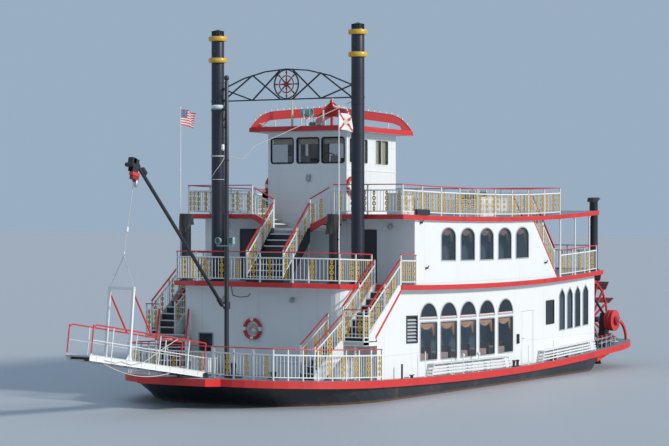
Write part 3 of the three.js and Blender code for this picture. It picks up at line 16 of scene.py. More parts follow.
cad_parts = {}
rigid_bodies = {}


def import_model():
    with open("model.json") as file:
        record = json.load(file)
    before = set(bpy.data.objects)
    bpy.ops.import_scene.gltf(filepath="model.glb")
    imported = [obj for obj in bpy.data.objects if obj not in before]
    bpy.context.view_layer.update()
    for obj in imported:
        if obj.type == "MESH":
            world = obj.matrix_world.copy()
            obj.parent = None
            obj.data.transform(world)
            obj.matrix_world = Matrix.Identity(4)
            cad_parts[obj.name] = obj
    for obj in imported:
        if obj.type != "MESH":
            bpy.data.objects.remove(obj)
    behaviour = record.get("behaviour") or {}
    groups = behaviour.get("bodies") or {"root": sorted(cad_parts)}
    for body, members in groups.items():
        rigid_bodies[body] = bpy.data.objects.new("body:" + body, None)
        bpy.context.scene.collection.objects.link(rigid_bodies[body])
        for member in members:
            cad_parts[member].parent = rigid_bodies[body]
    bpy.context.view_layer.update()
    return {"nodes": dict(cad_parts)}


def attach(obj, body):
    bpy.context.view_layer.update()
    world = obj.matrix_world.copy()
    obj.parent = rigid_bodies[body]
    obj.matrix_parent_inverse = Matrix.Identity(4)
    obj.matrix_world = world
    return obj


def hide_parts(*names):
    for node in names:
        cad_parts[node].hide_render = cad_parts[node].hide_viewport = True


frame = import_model()
nodes = frame["nodes"]

# %% [markdown]
# ## The sheer
# No deck of this boat is level: each rises in a long curve towards bow and stern, which a builder calls
# the sheer. It could be drawn into each piece by hand, but every railing, window and bench follows the same
# line. So pieces are made as if the decks were flat, and one function then lifts each corner by the
# sheer at its own place.

# %% Heights and the sheer line
WATER = 0.9
MAIN, SALOON, ROOF = 1.5, 4.76, 7.22  # deck tops before the sheer is added
HALF_BEAM = 4.65
SIDE_MAIN, SIDE_SALOON = 4.30, 4.50  # the side walls' outer faces
RAIL_LINE = HALF_BEAM - 0.075  # how far out the rails of the upper decks stand
GAP = 0.002  # keeps a fitting clear of the deck that it stands on
SHEER_LOW, SHEER_FORE, SHEER_AFT, STATION, FIRST_STATION = -3.5, 0.0021, 0.0034, 2.0, -16.0
SIDES = (("port", 1), ("starboard", -1))


def sheer_curve(x):
    away = x - SHEER_LOW
    return (SHEER_FORE if away > 0 else SHEER_AFT) * away * away


def sheer(x):
    before = FIRST_STATION + STATION * math.floor((x - FIRST_STATION) / STATION)
    share = (x - before) / STATION
    return sheer_curve(before) * (1 - share) + sheer_curve(before + STATION) * share


print("sheer at the bow", round(sheer(11.46), 3), "amidships", round(sheer(0), 3), "stern", round(sheer(-12), 3))

# %% [markdown]
# ## Camera, floor and light
# The view is from far off the port bow with a long lens, which keeps the sides almost parallel. The floor
# stands for the water's surface, so the hull below it is hidden as it is afloat. One broad low sun from
# port makes the side bright and leaves the front in soft shade, and a pale sky fills that shade.

# %% Camera
EYE = Vector((69.42, 42.72, 7.60))
HEADING = Vector((-0.847, -0.531, 0.0))
SENSOR, PICTURE_WIDTH, FOCAL_PIXELS, HORIZON_UP = 36.0, 669, 2175, 16  # millimetres, then pixels
PITCH_DOWN = math.atan(HORIZON_UP / FOCAL_PIXELS)

camera = bpy.data.objects.new("camera", bpy.data.cameras.new("camera"))
bpy.context.scene.collection.objects.link(camera)
camera.data.lens = SENSOR * FOCAL_PIXELS / PICTURE_WIDTH
camera.data.sensor_width = SENSOR
camera.data.clip_end = 1000.0
camera.location = EYE
gaze = Vector((HEADING.x, HEADING.y, -math.tan(PITCH_DOWN) * HEADING.length))
camera.rotation_euler = gaze.to_track_quat("-Z", "Y").to_euler()
bpy.context.scene.camera = camera

# %% Sun, sky and floor
SUN_FROM = Vector((-0.10, 0.86, 0.40))
sun = bpy.data.objects.new("sun", bpy.data.lights.new("sun", "SUN"))
sun.data.energy = 2.7
sun.data.angle = math.radians(7)
sun.data.color = (1.0, 0.965, 0.91)
sun.rotation_euler = SUN_FROM.to_track_quat("Z", "Y").to_euler()
bpy.context.scene.collection.objects.link(sun)

world = bpy.data.worlds.new("pale_sky")
world.use_nodes = True
sky = world.node_tree.nodes["Background"]
sky.inputs["Color"].default_value = (0.60, 0.78, 1.0, 1.0)
sky.inputs["Strength"].default_value = 0.54
bpy.context.scene.world = world
bpy.context.scene.view_settings.view_transform = "Standard"

FLOOR_HALF = 400.0
floor_mesh = bpy.data.meshes.new("floor")
floor_mesh.from_pydata([(x * FLOOR_HALF, y * FLOOR_HALF, WATER) for x, y in ((-1, -1), (1, -1), (1, 1), (-1, 1))],
                       [], [(0, 1, 2, 3)])
floor = bpy.data.objects.new("floor", floor_mesh)
bpy.context.scene.collection.objects.link(floor)
floor_material = bpy.data.materials.new("pale_floor")
floor_material.use_nodes = True
floor_shader = floor_material.node_tree.nodes["Principled BSDF"]
floor_shader.inputs["Base Color"].default_value = (0.50, 0.53, 0.56, 1)
floor_shader.inputs["Roughness"].default_value = 0.6
floor.data.materials.append(floor_material)

# %% [markdown]
# ## Small helpers for nodes
# Shader trees and geometry trees are both made of nodes with named sockets. One helper adds a node, sets
# its properties and fills or links its sockets, so that a tree reads as a list of what it does.

# %% Add a node
def put(tree, kind, inputs=None, **properties):
    node = tree.nodes.new(kind)
    for key, value in properties.items():
        setattr(node, key, value)
    for key, value in (inputs or {}).items():
        socket = node.inputs[key]
        if isinstance(value, bpy.types.NodeSocket):
            tree.links.new(value, socket)
        else:
            socket.default_value = value
    return node


def reckon(tree, operation, *values):
    """One Math node's result."""
    return put(tree, "ShaderNodeMath", dict(enumerate(values)), operation=operation).outputs[0]


def upwards(tree, height):
    return put(tree, "ShaderNodeCombineXYZ", {"Z": height}).outputs[0]


# %% [markdown]
# ## Paint
# Almost everything here is gloss or satin paint on steel plate. Flat colour would look like plastic, so
# each paint gets three things that real paint on a boat has: slow changes of tone where it was touched up,
# faint streaks that rain draws down it and a fine roughness from the roller. The paint of the walls also
# gets shallow seams where the plates are welded. All of them are read from the object's own coordinates, so
# they keep their place when a piece moves.

# %% A finish and its layers
class Finish:
    """A material whose layers are added one call at a time."""

    def __init__(self, name, colour, roughness, metallic=0.0, **sockets):
        self.material = bpy.data.materials.new(name)
        self.material.use_nodes = True
        self.tree = self.material.node_tree
        self.shader = self.tree.nodes["Principled BSDF"]
        self.shader.inputs["Base Color"].default_value = (*colour, 1)
        self.shader.inputs["Roughness"].default_value = roughness
        self.shader.inputs["Metallic"].default_value = metallic
        for key, value in sockets.items():
            self.shader.inputs[key.replace("_", " ")].default_value = value
        coords = self.tree.nodes.new("ShaderNodeTexCoord")
        self.place, self.normal = coords.outputs["Object"], coords.outputs["Normal"]
        self.colour, self.height = None, None

    def noise(self, scale, detail=3.0, stretch=(1, 1, 1)):
        spread = put(self.tree, "ShaderNodeMapping", {"Vector": self.place, "Scale": stretch})
        return put(self.tree, "ShaderNodeTexNoise",
                   {"Vector": spread.outputs[0], "Scale": scale, "Detail": detail}).outputs[0]

    def part(self, value, low, high):
        """0 where the value is under low, 1 where it is over high."""
        return put(self.tree, "ShaderNodeMapRange", {"Value": value, "From Min": low, "From Max": high},
                   interpolation_type="SMOOTHSTEP").outputs[0]

    def axis(self, index, source=None):
        split = put(self.tree, "ShaderNodeSeparateXYZ", {0: source or self.place})
        return split.outputs[index]

    def reckon(self, operation, *values):
        return reckon(self.tree, operation, *values)

    def tint(self, share, colour, strength=1.0):
        """Lays a colour over what is there, by a share from 0 to 1 times a strength."""
        if strength != 1.0:
            share = self.reckon("MULTIPLY", share, strength)
        base = self.colour or tuple(self.shader.inputs["Base Color"].default_value)
        mix = put(self.tree, "ShaderNodeMix", {"Factor": share, 6: base, 7: (*colour, 1)}, data_type="RGBA")
        self.colour = mix.outputs[2]
        return self

    def wash(self, noise, low, high, colour, strength=1.0):
        """Tints where a noise runs from low to high; noise holds its scale, detail and stretch."""
        return self.tint(self.part(self.noise(*noise), low, high), colour, strength)

    def raise_by(self, height, distance):
        """Adds a layer of relief, in metres."""
        bump = put(self.tree, "ShaderNodeBump", {"Height": height, "Distance": distance, "Strength": 1.0})
        if self.height:
            self.tree.links.new(self.height, bump.inputs["Normal"])
        self.height = bump.outputs[0]
        return self

    def rough(self, share, low, high):
        spread = put(self.tree, "ShaderNodeMapRange", {"Value": share, "To Min": low, "To Max": high})
        self.tree.links.new(spread.outputs[0], self.shader.inputs["Roughness"])
        return self

    def done(self):
        if self.colour:
            self.tree.links.new(self.colour, self.shader.inputs["Base Color"])
        if self.height:
            self.tree.links.new(self.height, self.shader.inputs["Normal"])
        return self.material


def dim(colour, share):
    return tuple(share * c for c in colour)


# %% Paint on steel plate
SEAM = 0.004  # half the width of a weld
PLATE = 2.44  # length of a plate


def seams(finish, spacing=PLATE):
    """1 in the welds: upright ones on the sides and on the walls across the ship, level ones on both."""
    tree = finish.tree
    x, y, z = (finish.axis(i) for i in range(3))
    nx, ny = (reckon(tree, "ABSOLUTE", finish.axis(i, finish.normal)) for i in range(2))
    welds = []
    for place, facing in ((x, ny), (y, nx), (z, reckon(tree, "MAXIMUM", nx, ny))):
        away = reckon(tree, "PINGPONG", place, spacing / 2)
        weld = put(tree, "ShaderNodeMapRange", {"Value": away, "From Min": SEAM, "From Max": 3 * SEAM,
                                                "To Min": 1.0, "To Max": 0.0}, interpolation_type="SMOOTHSTEP")
        welds.append(reckon(tree, "MULTIPLY", weld.outputs[0], reckon(tree, "GREATER_THAN", facing, 0.7)))
    return reckon(tree, "MAXIMUM", reckon(tree, "MAXIMUM", welds[0], welds[1]), welds[2])


def painted(name, colour, roughness=0.42, worn=0.5, streak=(0.35, 0.30, 0.25), plates=False, coat=0.15):
    finish = Finish(name, colour, roughness, Coat_Weight=coat, Coat_Roughness=0.25)
    touched = finish.noise(0.9, 4.0)
    finish.tint(finish.part(touched, 0.35, 0.75), dim(colour, 0.55), 0.10 * worn)
    finish.wash((2.2, 5.0, (1, 1, 0.09)), 0.56, 0.86, streak, 0.30 * worn)
    finish.wash((14.0, 6.0), 0.66, 0.80, streak, 0.22 * worn)
    finish.raise_by(finish.noise(70.0, 2.0), 0.0006)
    if plates:
        weld = seams(finish)
        finish.tint(weld, dim(colour, 0.5), 0.30)
        finish.raise_by(finish.noise(1.1, 2.0), 0.006)
        finish.raise_by(weld, 0.003)
    finish.rough(touched, roughness - 0.06, roughness + 0.12)
    return finish.done()


MATERIALS = {
    "white": painted("white_gloss_paint", (0.83, 0.84, 0.83), worn=0.55),
    "wall": painted("white_plate_paint", (0.84, 0.85, 0.84), worn=0.5, plates=True),
    "red": painted("red_gloss_paint", (0.66, 0.045, 0.045), 0.38, 0.7, (0.22, 0.02, 0.02)),
    "black": painted("black_satin_paint", (0.022, 0.025, 0.030), 0.42, 0.8, (0.10, 0.10, 0.11)),
    "navy": painted("navy_satin_paint", (0.016, 0.020, 0.034), 0.36, 0.8, (0.09, 0.10, 0.12)),
    "gold": painted("gold_yellow_paint", (0.72, 0.42, 0.035), 0.34, 0.5, (0.25, 0.13, 0.02), coat=0.3),
    "grey": painted("light_grey_paint", (0.42, 0.45, 0.48), 0.5, 0.8, (0.16, 0.16, 0.17)),
    "teal": painted("weathered_teal_paint", (0.30, 0.47, 0.45), 0.5, 1.0, (0.16, 0.15, 0.12)),
    "cream": painted("cream_paint", (0.72, 0.66, 0.48), 0.45, 0.7),
    "wood": painted("varnished_timber", (0.30, 0.15, 0.06), 0.35, 0.9, (0.10, 0.05, 0.02)),
}
print("paints", len(MATERIALS))

# %% Glass, rubber, steel and rope
def glass(name, colour, alpha):
    # The blue in the base colour and in the lighter patches of the wash is painted reflection of the sky, laid over a
    # dark tint.
    finish = Finish(name, colour, 0.06, Alpha=alpha, Specular_IOR_Level=0.7)
    finish.raise_by(finish.noise(1.6, 2.0, (1, 1, 1.6)), 0.020)
    finish.wash((0.9, 3.0, (1, 1, 2.4)), 0.42, 0.70, (0.075, 0.105, 0.13), 0.55)
    return finish.done()


def rubber():
    finish = Finish("window_rubber", (0.016, 0.016, 0.018), 0.7)
    finish.raise_by(finish.noise(90.0), 0.0005)
    finish.wash((5.0,), 0.5, 0.8, (0.06, 0.06, 0.06), 0.5)
    return finish.done()


def worn_steel(name, colour, roughness):
    finish = Finish(name, colour, roughness, 0.85)
    finish.wash((3.0, 6.0), 0.52, 0.75, (0.16, 0.10, 0.07))
    finish.raise_by(finish.noise(40.0, 5.0), 0.001)
    finish.rough(finish.noise(6.0), roughness - 0.1, roughness + 0.25)
    return finish.done()


def laid_rope():
    finish = Finish("laid_rope", (0.68, 0.66, 0.58), 0.85, Sheen_Weight=0.2)
    strands = put(finish.tree, "ShaderNodeTexWave", {"Vector": finish.place, "Scale": 26.0, "Distortion": 0.4},
                  bands_direction="DIAGONAL")
    finish.tint(strands.outputs[1], (0.30, 0.27, 0.20), 0.35)
    finish.raise_by(strands.outputs[1], 0.002)
    return finish.done()


MATERIALS.update({
    # Window glass: a dark tint whose bluish colour is painted sky reflection.
    "glass": glass("dark_glass_painted_sky_reflection", (0.048, 0.078, 0.104), 0.27),
    "pilot_glass": glass("wheelhouse_window_glass", (0.034, 0.042, 0.048), 0.20),
    "rubber": rubber(),
    "steel": worn_steel("worn_steel", (0.42, 0.43, 0.45), 0.4),
    "bright": worn_steel("bright_steel", (0.62, 0.63, 0.65), 0.3),
    "rope": laid_rope(),
})

# %% [markdown]
# ## Small helpers for shapes
# A piece such as a bench is many closed parts: slats, legs, brackets. The class below collects such parts
# as plain lists of points and faces and turns them into one object at the end. It takes each part's place
# as it is on the boat, so the finished object needs no move, and the lift by the sheer comes last.

# %% Collect parts and finish a piece
SHARP = 40  # degrees between faces above which an edge stays sharp
SLOT_OF = {"tread": "deck_paint", "steel": "machine_steel", "bright": "machine_steel", "glass": "window_glass",
           "pilot_glass": "window_glass", "rubber": "gasket"}
SLOT_OF.update({paint: f"{paint}_paint" for paint in ("white", "red", "black", "navy", "gold")})
SLOT_OF.update({paint: paint for paint in ("rope", "wood", "wheel_red")})
SLOT_OF.update({paint: "moulded" for paint in ("cream", "teal", "grey", "room")})
SLOT_OF.update({paint: "cloth" for paint in ("linen", "curtain", "dim_curtain", "tarpaulin")})


class Shape:
    def __init__(self):
        self.points, self.faces, self.marks = [], [], []

    def add(self, points, faces, mark=0):
        start = len(self.points)
        self.points += [Vector(p) for p in points]
        self.faces += [[start + i for i in face] for face in faces]
        self.marks += [mark] * len(faces)
        return self

    def loft(self, rings, mark=0, ends=True, closed=False):
        """Skin over rings of the same number of points."""
        count, levels = len(rings[0]), len(rings)
        faces = []
        for level in range(levels if closed else levels - 1):
            low, high = level * count, ((level + 1) % levels) * count
            for i in range(count):
                after = (i + 1) % count
                faces.append((low + i, low + after, high + after, high + i))
        if ends and not closed:
            faces += [tuple(reversed(range(count))), tuple(range((levels - 1) * count, levels * count))]
        return self.add([p for ring in rings for p in ring], faces, mark)

    def block(self, x, y, z):
        return self.loft([[(a, b, level) for a, b in rectangle(sorted(x), sorted(y))] for level in sorted(z)])

    def plate(self, outline, place, near, far):
        """An outline of (a, b) points made solid between two depths; place turns (a, b, depth) into a point."""
        return self.loft([[place(a, b, depth) for a, b in outline] for depth in (near, far)])

    def rim(self, outer, inner, place, near, far, mark=0):
        """The band between two outlines of the same number of points."""
        corners = [[place(*outer[i], near), place(*outer[i], far), place(*inner[i], far), place(*inner[i], near)]
                   for i in range(len(outer))]
        return self.loft(corners, mark, closed=True)

    def beam(self, start, end, width, depth=None):
        """A square bar whose depth lies upwards."""
        depth = width if depth is None else depth
        along, side, up = axes_of(Vector(end) - Vector(start))
        ring = [side * sx * width / 2 + up * sz * depth / 2 for sx, sz in ((-1, -1), (1, -1), (1, 1), (-1, 1))]
        return self.loft([[Vector(at) + offset for offset in ring] for at in (start, end)])

    def tube(self, path, radius, sides=10, mark=0, closed=False):
        """A round bar along a path; radius is one number or one for each point."""
        path = [Vector(p) for p in path]
        rings = []
        for i, at in enumerate(path):
            before = path[i - 1] if i or closed else at
            after = path[(i + 1) % len(path)] if i + 1 < len(path) or closed else at
            _, side, up = axes_of(after - before)
            r = radius[i] if isinstance(radius, (list, tuple)) else radius
            rings.append([at + (side * math.cos(a) + up * math.sin(a)) * r for a in circle(sides)])
        return self.loft(rings, mark, closed=closed)

    def lathe(self, centre, profile, sides, axis="Z"):
        """A turned part: profile is (radius, height) points from one end to the other."""
        return self.loft([[around(centre, max(r, 0.0005), a, axis, h) for a in circle(sides)] for r, h in profile])

    def moved(self, matrix):
        self.points = [matrix @ p for p in self.points]
        return self

    def mesh(self, name, materials, lift=True):
        data = bpy.data.meshes.new(name)
        lifted = [(p.x, p.y, p.z + (sheer(p.x) if lift else 0)) for p in self.points]
        data.from_pydata(lifted, [], self.faces)
        for material in materials:
            data.materials.append(MATERIALS[material])
        data.polygons.foreach_set("material_index", self.marks)
        return data

    def piece(self, name, materials, body="ship", replaces=(), lift=True, bevel=0.0, slot=None):
        """The finished object, on its body. Its slot, the usual one of its first material if none is given, goes
        unused.
        """
        materials = materials.split()
        return finish_piece(name, self.mesh(name, materials, lift), slot or SLOT_OF[materials[0]], body, replaces,
                            bevel)


def circle(count, offset=0.0):
    """Angles at even steps round a full turn."""
    return [2 * math.pi * (k + offset) / count for k in range(count)]


def shares(count):
    """From 0 to 1 in even steps."""
    return [i / count for i in range(count + 1)]


def around(centre, radius, angle, axis="Z", along=0.0):
    """The point at a radius and an angle round an axis through centre."""
    a, b = radius * math.cos(angle), radius * math.sin(angle)
    return Vector(centre) + Vector({"X": (along, a, b), "Y": (a, along, b), "Z": (a, b, along)}[axis])


def ball(radius, middle, steps):
    """The profile of a ball, for a lathe."""
    turns = (math.pi * i / steps for i in range(steps + 1))
    return [(radius * math.sin(t), middle - radius * math.cos(t)) for t in turns]


def band(radius, proud, low, high, ease=0.005):
    """The profile of a raised band round a pipe, for a lathe."""
    return [(radius, low), (radius + proud, low + ease), (radius + proud, high - ease), (radius, high)]


def axes_of(direction):
    along = direction.normalized()
    side = Vector((0, 1, 0)) if abs(along.z) > 0.999 else Vector((0, 0, 1)).cross(along).normalized()
    return along, side, along.cross(side)


def finish_piece(name, mesh, slot, body, replaces=(), bevel=0.0):
    shape = bmesh.new()
    shape.from_mesh(mesh)
    bmesh.ops.recalc_face_normals(shape, faces=shape.faces)
    shape.to_mesh(mesh)
    shape.free()
    mesh.polygons.foreach_set("use_smooth", [True] * len(mesh.polygons))
    mesh.set_sharp_from_angle(angle=math.radians(SHARP))
    obj = bpy.data.objects.new(name, mesh)
    bpy.context.scene.collection.objects.link(obj)
    if bevel:
        edge = obj.modifiers.new("eased_edges", "BEVEL")
        edge.width, edge.segments, edge.limit_method = bevel, 2, "ANGLE"
    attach(obj, body)
    if replaces:
        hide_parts(*replaces)
    return obj


def mirrored(points, side):
    return [(p[0], p[1] * side, *p[2:]) for p in points]


def about(middle, half):
    return middle - half, middle + half


def beside(y, side, near, far):
    """The two faces of a fitting that stands between two distances outside y, on a side of the boat."""
    return side * (y + near), side * (y + far)


def across_ship(line):
    """A line from the port side carried on along its mirror image."""
    return line + mirrored(line, -1)[::-1]


# %% Ways to place an outline
def on_side(y, side=1):
    """Outlines of (x, z) on a wall along the boat; depth runs inwards from y."""
    return lambda a, b, depth: Vector((a, side * (y - depth), b))


def on_front(x, facing=1):
    """Outlines of (y, z) on a wall across the boat; depth runs inwards from x."""
    return lambda a, b, depth: Vector((x - facing * depth, a, b))


def on_deck(z):
    """Outlines of (x, y) on a deck; depth runs up from z."""
    return lambda a, b, depth: Vector((a, b, z + depth))


def rectangle(a, b):
    return [(a[0], b[0]), (a[1], b[0]), (a[1], b[1]), (a[0], b[1])]


CORNER_STEPS, ARCH_STEPS, LANCET_STEPS = 5, 14, 6


def rounded(a, b, radius):
    corners = ((a[1] - radius, b[0] + radius, -90), (a[1] - radius, b[1] - radius, 0),
               (a[0] + radius, b[1] - radius, 90), (a[0] + radius, b[0] + radius, 180))
    return [(u + radius * math.cos(angle), v + radius * math.sin(angle)) for u, v, start in corners
            for angle in (math.radians(start + 90 * i / CORNER_STEPS) for i in range(CORNER_STEPS + 1))]


def arched(centre, width, bottom, top, rise):
    half = width / 2
    return [(centre - half, bottom), (centre + half, bottom)] + [
        (centre + half * math.cos(a), top - rise + rise * math.sin(a))
        for a in (math.pi * i / ARCH_STEPS for i in range(ARCH_STEPS + 1))]


def pointed(centre, width, bottom, top, rise):
    half = width / 2
    right = [(half * math.cos(math.pi / 2 * t), top - rise * (1 - t)) for t in shares(LANCET_STEPS)]
    return ([(centre - half, bottom), (centre + half, bottom)]
            + [(centre + a, b) for a, b in right] + [(centre - a, b) for a, b in reversed(right[:-1])])


def inset(outline, distance):
    """The outline moved inwards by a distance, or outwards if that is negative."""
    count = len(outline)
    points = [Vector(p) for p in outline]
    turn = sum(points[i - 1].x * points[i].y - points[i].x * points[i - 1].y for i in range(count))
    inwards = 1 if turn > 0 else -1
    result = []
    for i in range(count):
        before = (points[i] - points[i - 1])
        after = (points[(i + 1) % count] - points[i])
        if before.length < 1e-6 or after.length < 1e-6:
            before = after = (points[(i + 1) % count] - points[i - 2])
        before, after = before.normalized(), after.normalized()
        bisector = (Vector((-before.y, before.x)) + Vector((-after.y, after.x))).normalized()
        scale = 1 / max(0.5, bisector.dot(Vector((-after.y, after.x))))
        result.append(tuple(points[i] + bisector * inwards * distance * scale))
    return result


# %% [markdown]
# ## Geometry Nodes for what repeats
# Balusters, slats, bolts and bulbs repeat by the hundred. Copies made by hand are slow to change; a
# Geometry Nodes tree makes them from a path or a few points and keeps spacing as one number. A tree's
# result is turned into a plain mesh at once, because what leaves this file must be plain meshes.

# %% Make a tree and take its result
SOCKETS = {float: "NodeSocketFloat", int: "NodeSocketInt", Vector: "NodeSocketVector",
           bpy.types.Material: "NodeSocketMaterial", bpy.types.Object: "NodeSocketObject"}


def new_tree(name, **inputs):
    """An empty geometry tree with named inputs, and its input and output nodes."""
    tree = bpy.data.node_groups.new(name, "GeometryNodeTree")
    tree.interface.new_socket(name="Path", in_out="INPUT", socket_type="NodeSocketGeometry")
    tree.interface.new_socket(name="Result", in_out="OUTPUT", socket_type="NodeSocketGeometry")
    for label, value in inputs.items():
        kind = value if isinstance(value, type) else type(value)
        socket = tree.interface.new_socket(name=label, in_out="INPUT", socket_type=SOCKETS[kind])
        if not isinstance(value, type):
            socket.default_value = value
    return tree, tree.nodes.new("NodeGroupInput").outputs, tree.nodes.new("NodeGroupOutput").inputs


def end_tree(tree, output, geometry, material):
    real = put(tree, "GeometryNodeRealizeInstances", {"Geometry": geometry})
    finished = put(tree, "GeometryNodeSetMaterial", {"Geometry": real.outputs[0], "Material": material})
    tree.links.new(finished.outputs[0], output["Result"])


def grow(tree, points, edges, **values):
    """Runs a tree on a mesh of points and edges and returns its result as a plain mesh."""
    path = bpy.data.meshes.new("path")
    path.from_pydata([tuple(p) for p in points], edges, [])
    holder = bpy.data.objects.new("path", path)
    bpy.context.scene.collection.objects.link(holder)
    modifier = holder.modifiers.new("grow", "NODES")
    modifier.node_group = tree
    for item in tree.interface.items_tree:
        if item.in_out == "INPUT" and item.name in values:
            value = values[item.name]
            modifier[item.identifier] = MATERIALS[value] if item.name == "Material" else value
    ready = holder.evaluated_get(bpy.context.evaluated_depsgraph_get())
    mesh = bpy.data.meshes.new_from_object(ready)
    holder.modifiers.remove(modifier)
    bpy.data.objects.remove(holder)
    bpy.data.meshes.remove(path)
    return mesh


def lifted(mesh):
    """The same mesh with every corner raised by the sheer at its own place."""
    for vertex in mesh.vertices:
        vertex.co.z += sheer(vertex.co.x)
    return mesh


def chained(points):
    return [(i, i + 1) for i in range(len(points) - 1)]


# %% A tree that stands a block on every point
def block_tree():
    """Blocks of one size on each point of the path, square to the axes."""
    tree, given, output = new_tree("blocks_on_points", Size=Vector((0.1, 0.1, 0.1)), Material=bpy.types.Material)
    cube = put(tree, "GeometryNodeMeshCube", {"Size": given["Size"]})
    placed = put(tree, "GeometryNodeInstanceOnPoints", {"Points": given["Path"], "Instance": cube.outputs[0]})
    end_tree(tree, output, placed.outputs[0], given["Material"])
    return tree


def stud_tree():
    """Round studs, such as bolt heads and bulbs: short cylinders with a dome, standing along an axis."""
    tree, given, output = new_tree("studs_on_points", Radius=0.02, Depth=0.02, Turn=Vector((0, 0, 0)),
                                   Sides=8, Material=bpy.types.Material)
    narrow = reckon(tree, "MULTIPLY", given["Radius"], 0.55)
    cone = put(tree, "GeometryNodeMeshCone", {"Vertices": given["Sides"], "Radius Bottom": given["Radius"],
                                              "Radius Top": narrow, "Depth": given["Depth"]})
    placed = put(tree, "GeometryNodeInstanceOnPoints",
                 {"Points": given["Path"], "Instance": cone.outputs[0], "Rotation": given["Turn"]})
    end_tree(tree, output, placed.outputs[0], given["Material"])
    return tree


BLOCKS, STUDS = block_tree(), stud_tree()
UPRIGHT, SIDEWAYS = Vector((0, 0, 0)), Vector((math.pi / 2, 0, 0))  # how studs stand


def studs_at(name, points, radius, depth, turn, material, body="ship", lift=True, sides=6):
    mesh = grow(STUDS, points, [], Radius=radius, Depth=depth, Turn=turn, Sides=sides, Material=material)
    return finish_piece(name, lifted(mesh) if lift else mesh, SLOT_OF[material], body)


# %% [markdown]
# ## Paint on the walls and decks of the solid model
# The walls, decks and hull already have their true shape, so they only need their finish. A deck is one
# slab: grey non-slip paint on top, a red band round its edge and a pale ceiling beneath. One material can
# do all three by looking at which way a face points, so the slab stays in one piece. The hull is treated
# the same way by height: dark topsides, a rusty line where water laps, and dull red below it.

# %% Decks
def deck_finish(name, under, band=(0.66, 0.032, 0.028), top=(0.23, 0.27, 0.31)):
    finish = Finish(name, band, 0.45, Coat_Weight=0.08, Coat_Roughness=0.3)
    finish.wash((1.6, 5.0, (1, 1, 0.2)), 0.50, 0.80, dim(band, 0.45), 0.45)
    facing = finish.axis(2, finish.normal)
    up, down = finish.part(facing, 0.4, 0.6), finish.part(facing, -0.4, -0.6)
    finish.tint(up, top)
    worn = finish.part(finish.noise(0.8, 6.0), 0.42, 0.72)
    finish.tint(finish.reckon("MULTIPLY", up, worn), (0.34, 0.36, 0.37), 0.4)
    finish.raise_by(finish.noise(160.0, 2.0), 0.0015)
    finish.tint(down, under)
    battens = finish.part(finish.reckon("PINGPONG", finish.axis(0), 0.305), 0.012, 0.004)
    finish.tint(finish.reckon("MULTIPLY", down, battens), dim(under, 0.6))
    finish.rough(finish.noise(3.0), 0.38, 0.62)
    return finish.done()


# %% Hull
def hull_finish():
    finish = Finish("hull_paint", (0.020, 0.026, 0.034), 0.45, Coat_Weight=0.1)
    finish.wash((0.7, 6.0, (1, 1, 0.3)), 0.45, 0.75, (0.055, 0.066, 0.078), 0.5)
    finish.wash((3.5, 6.0, (1, 1, 0.12)), 0.60, 0.80, (0.16, 0.10, 0.06), 0.5)
    ragged = finish.reckon("ADD", finish.axis(2), finish.reckon("MULTIPLY", finish.noise(5.0, 5.0), 0.10))
    for dry, wet, colour, strength in ((1.06, 1.00, (0.17, 0.085, 0.045), 0.75),  # rust at the waterline
                                       (0.96, 0.92, (0.12, 0.022, 0.016), 1.0),  # red below it
                                       (0.75, 0.35, (0.05, 0.055, 0.03), 0.6)):  # weed on the bottom
        finish.tint(finish.part(ragged, dry, wet), colour, strength)
    weld = seams(finish, 1.83)
    finish.raise_by(finish.noise(1.2, 2.0), 0.012)
    finish.raise_by(weld, 0.004)
    finish.rough(finish.noise(4.0), 0.35, 0.65)
    return finish.done()


# %% Paddle wheel: dull boards outside, brighter frames within
WHEEL_CENTRE = Vector((-14.5, 0.0, 2.82))


def wheel_finish():
    finish = Finish("wheel_paint", (0.50, 0.035, 0.030), 0.5)
    x, z = (finish.reckon("SUBTRACT", finish.axis(i), WHEEL_CENTRE[i]) for i in (0, 2))
    away = finish.reckon("SQRT", finish.reckon("ADD", finish.reckon("MULTIPLY", x, x),
                                               finish.reckon("MULTIPLY", z, z)))
    boards = finish.part(away, 1.79, 1.83)
    finish.wash((2.0, 6.0), 0.45, 0.75, (0.20, 0.03, 0.02), 0.5)
    finish.tint(boards, (0.26, 0.022, 0.018))
    grain = finish.noise(3.0, 6.0, (6, 0.5, 6))
    finish.tint(finish.reckon("MULTIPLY", boards, finish.part(grain, 0.5, 0.75)), (0.10, 0.045, 0.03), 0.6)
    finish.tint(finish.part(away, 0.112, 0.100), (0.10, 0.10, 0.11))
    finish.raise_by(grain, 0.003)
    finish.rough(grain, 0.4, 0.75)
    return finish.done()


MATERIALS.update({
    "main_deck": deck_finish("main_deck_paint", (0.022, 0.026, 0.032)),
    "deck": deck_finish("upper_deck_paint", (0.62, 0.66, 0.70)),
    "tread": deck_finish("stair_tread_paint", (0.03, 0.032, 0.036), (0.03, 0.032, 0.036), (0.035, 0.038, 0.042)),
    "plain_deck": deck_finish("plain_deck_paint", (0.62, 0.66, 0.70), (0.62, 0.66, 0.70)),
    "hull": hull_finish(),
    "wheel": wheel_finish(),
    "wheel_red": painted("dull_red_paint", (0.30, 0.022, 0.020), 0.5, 0.9, (0.10, 0.03, 0.02)),
})

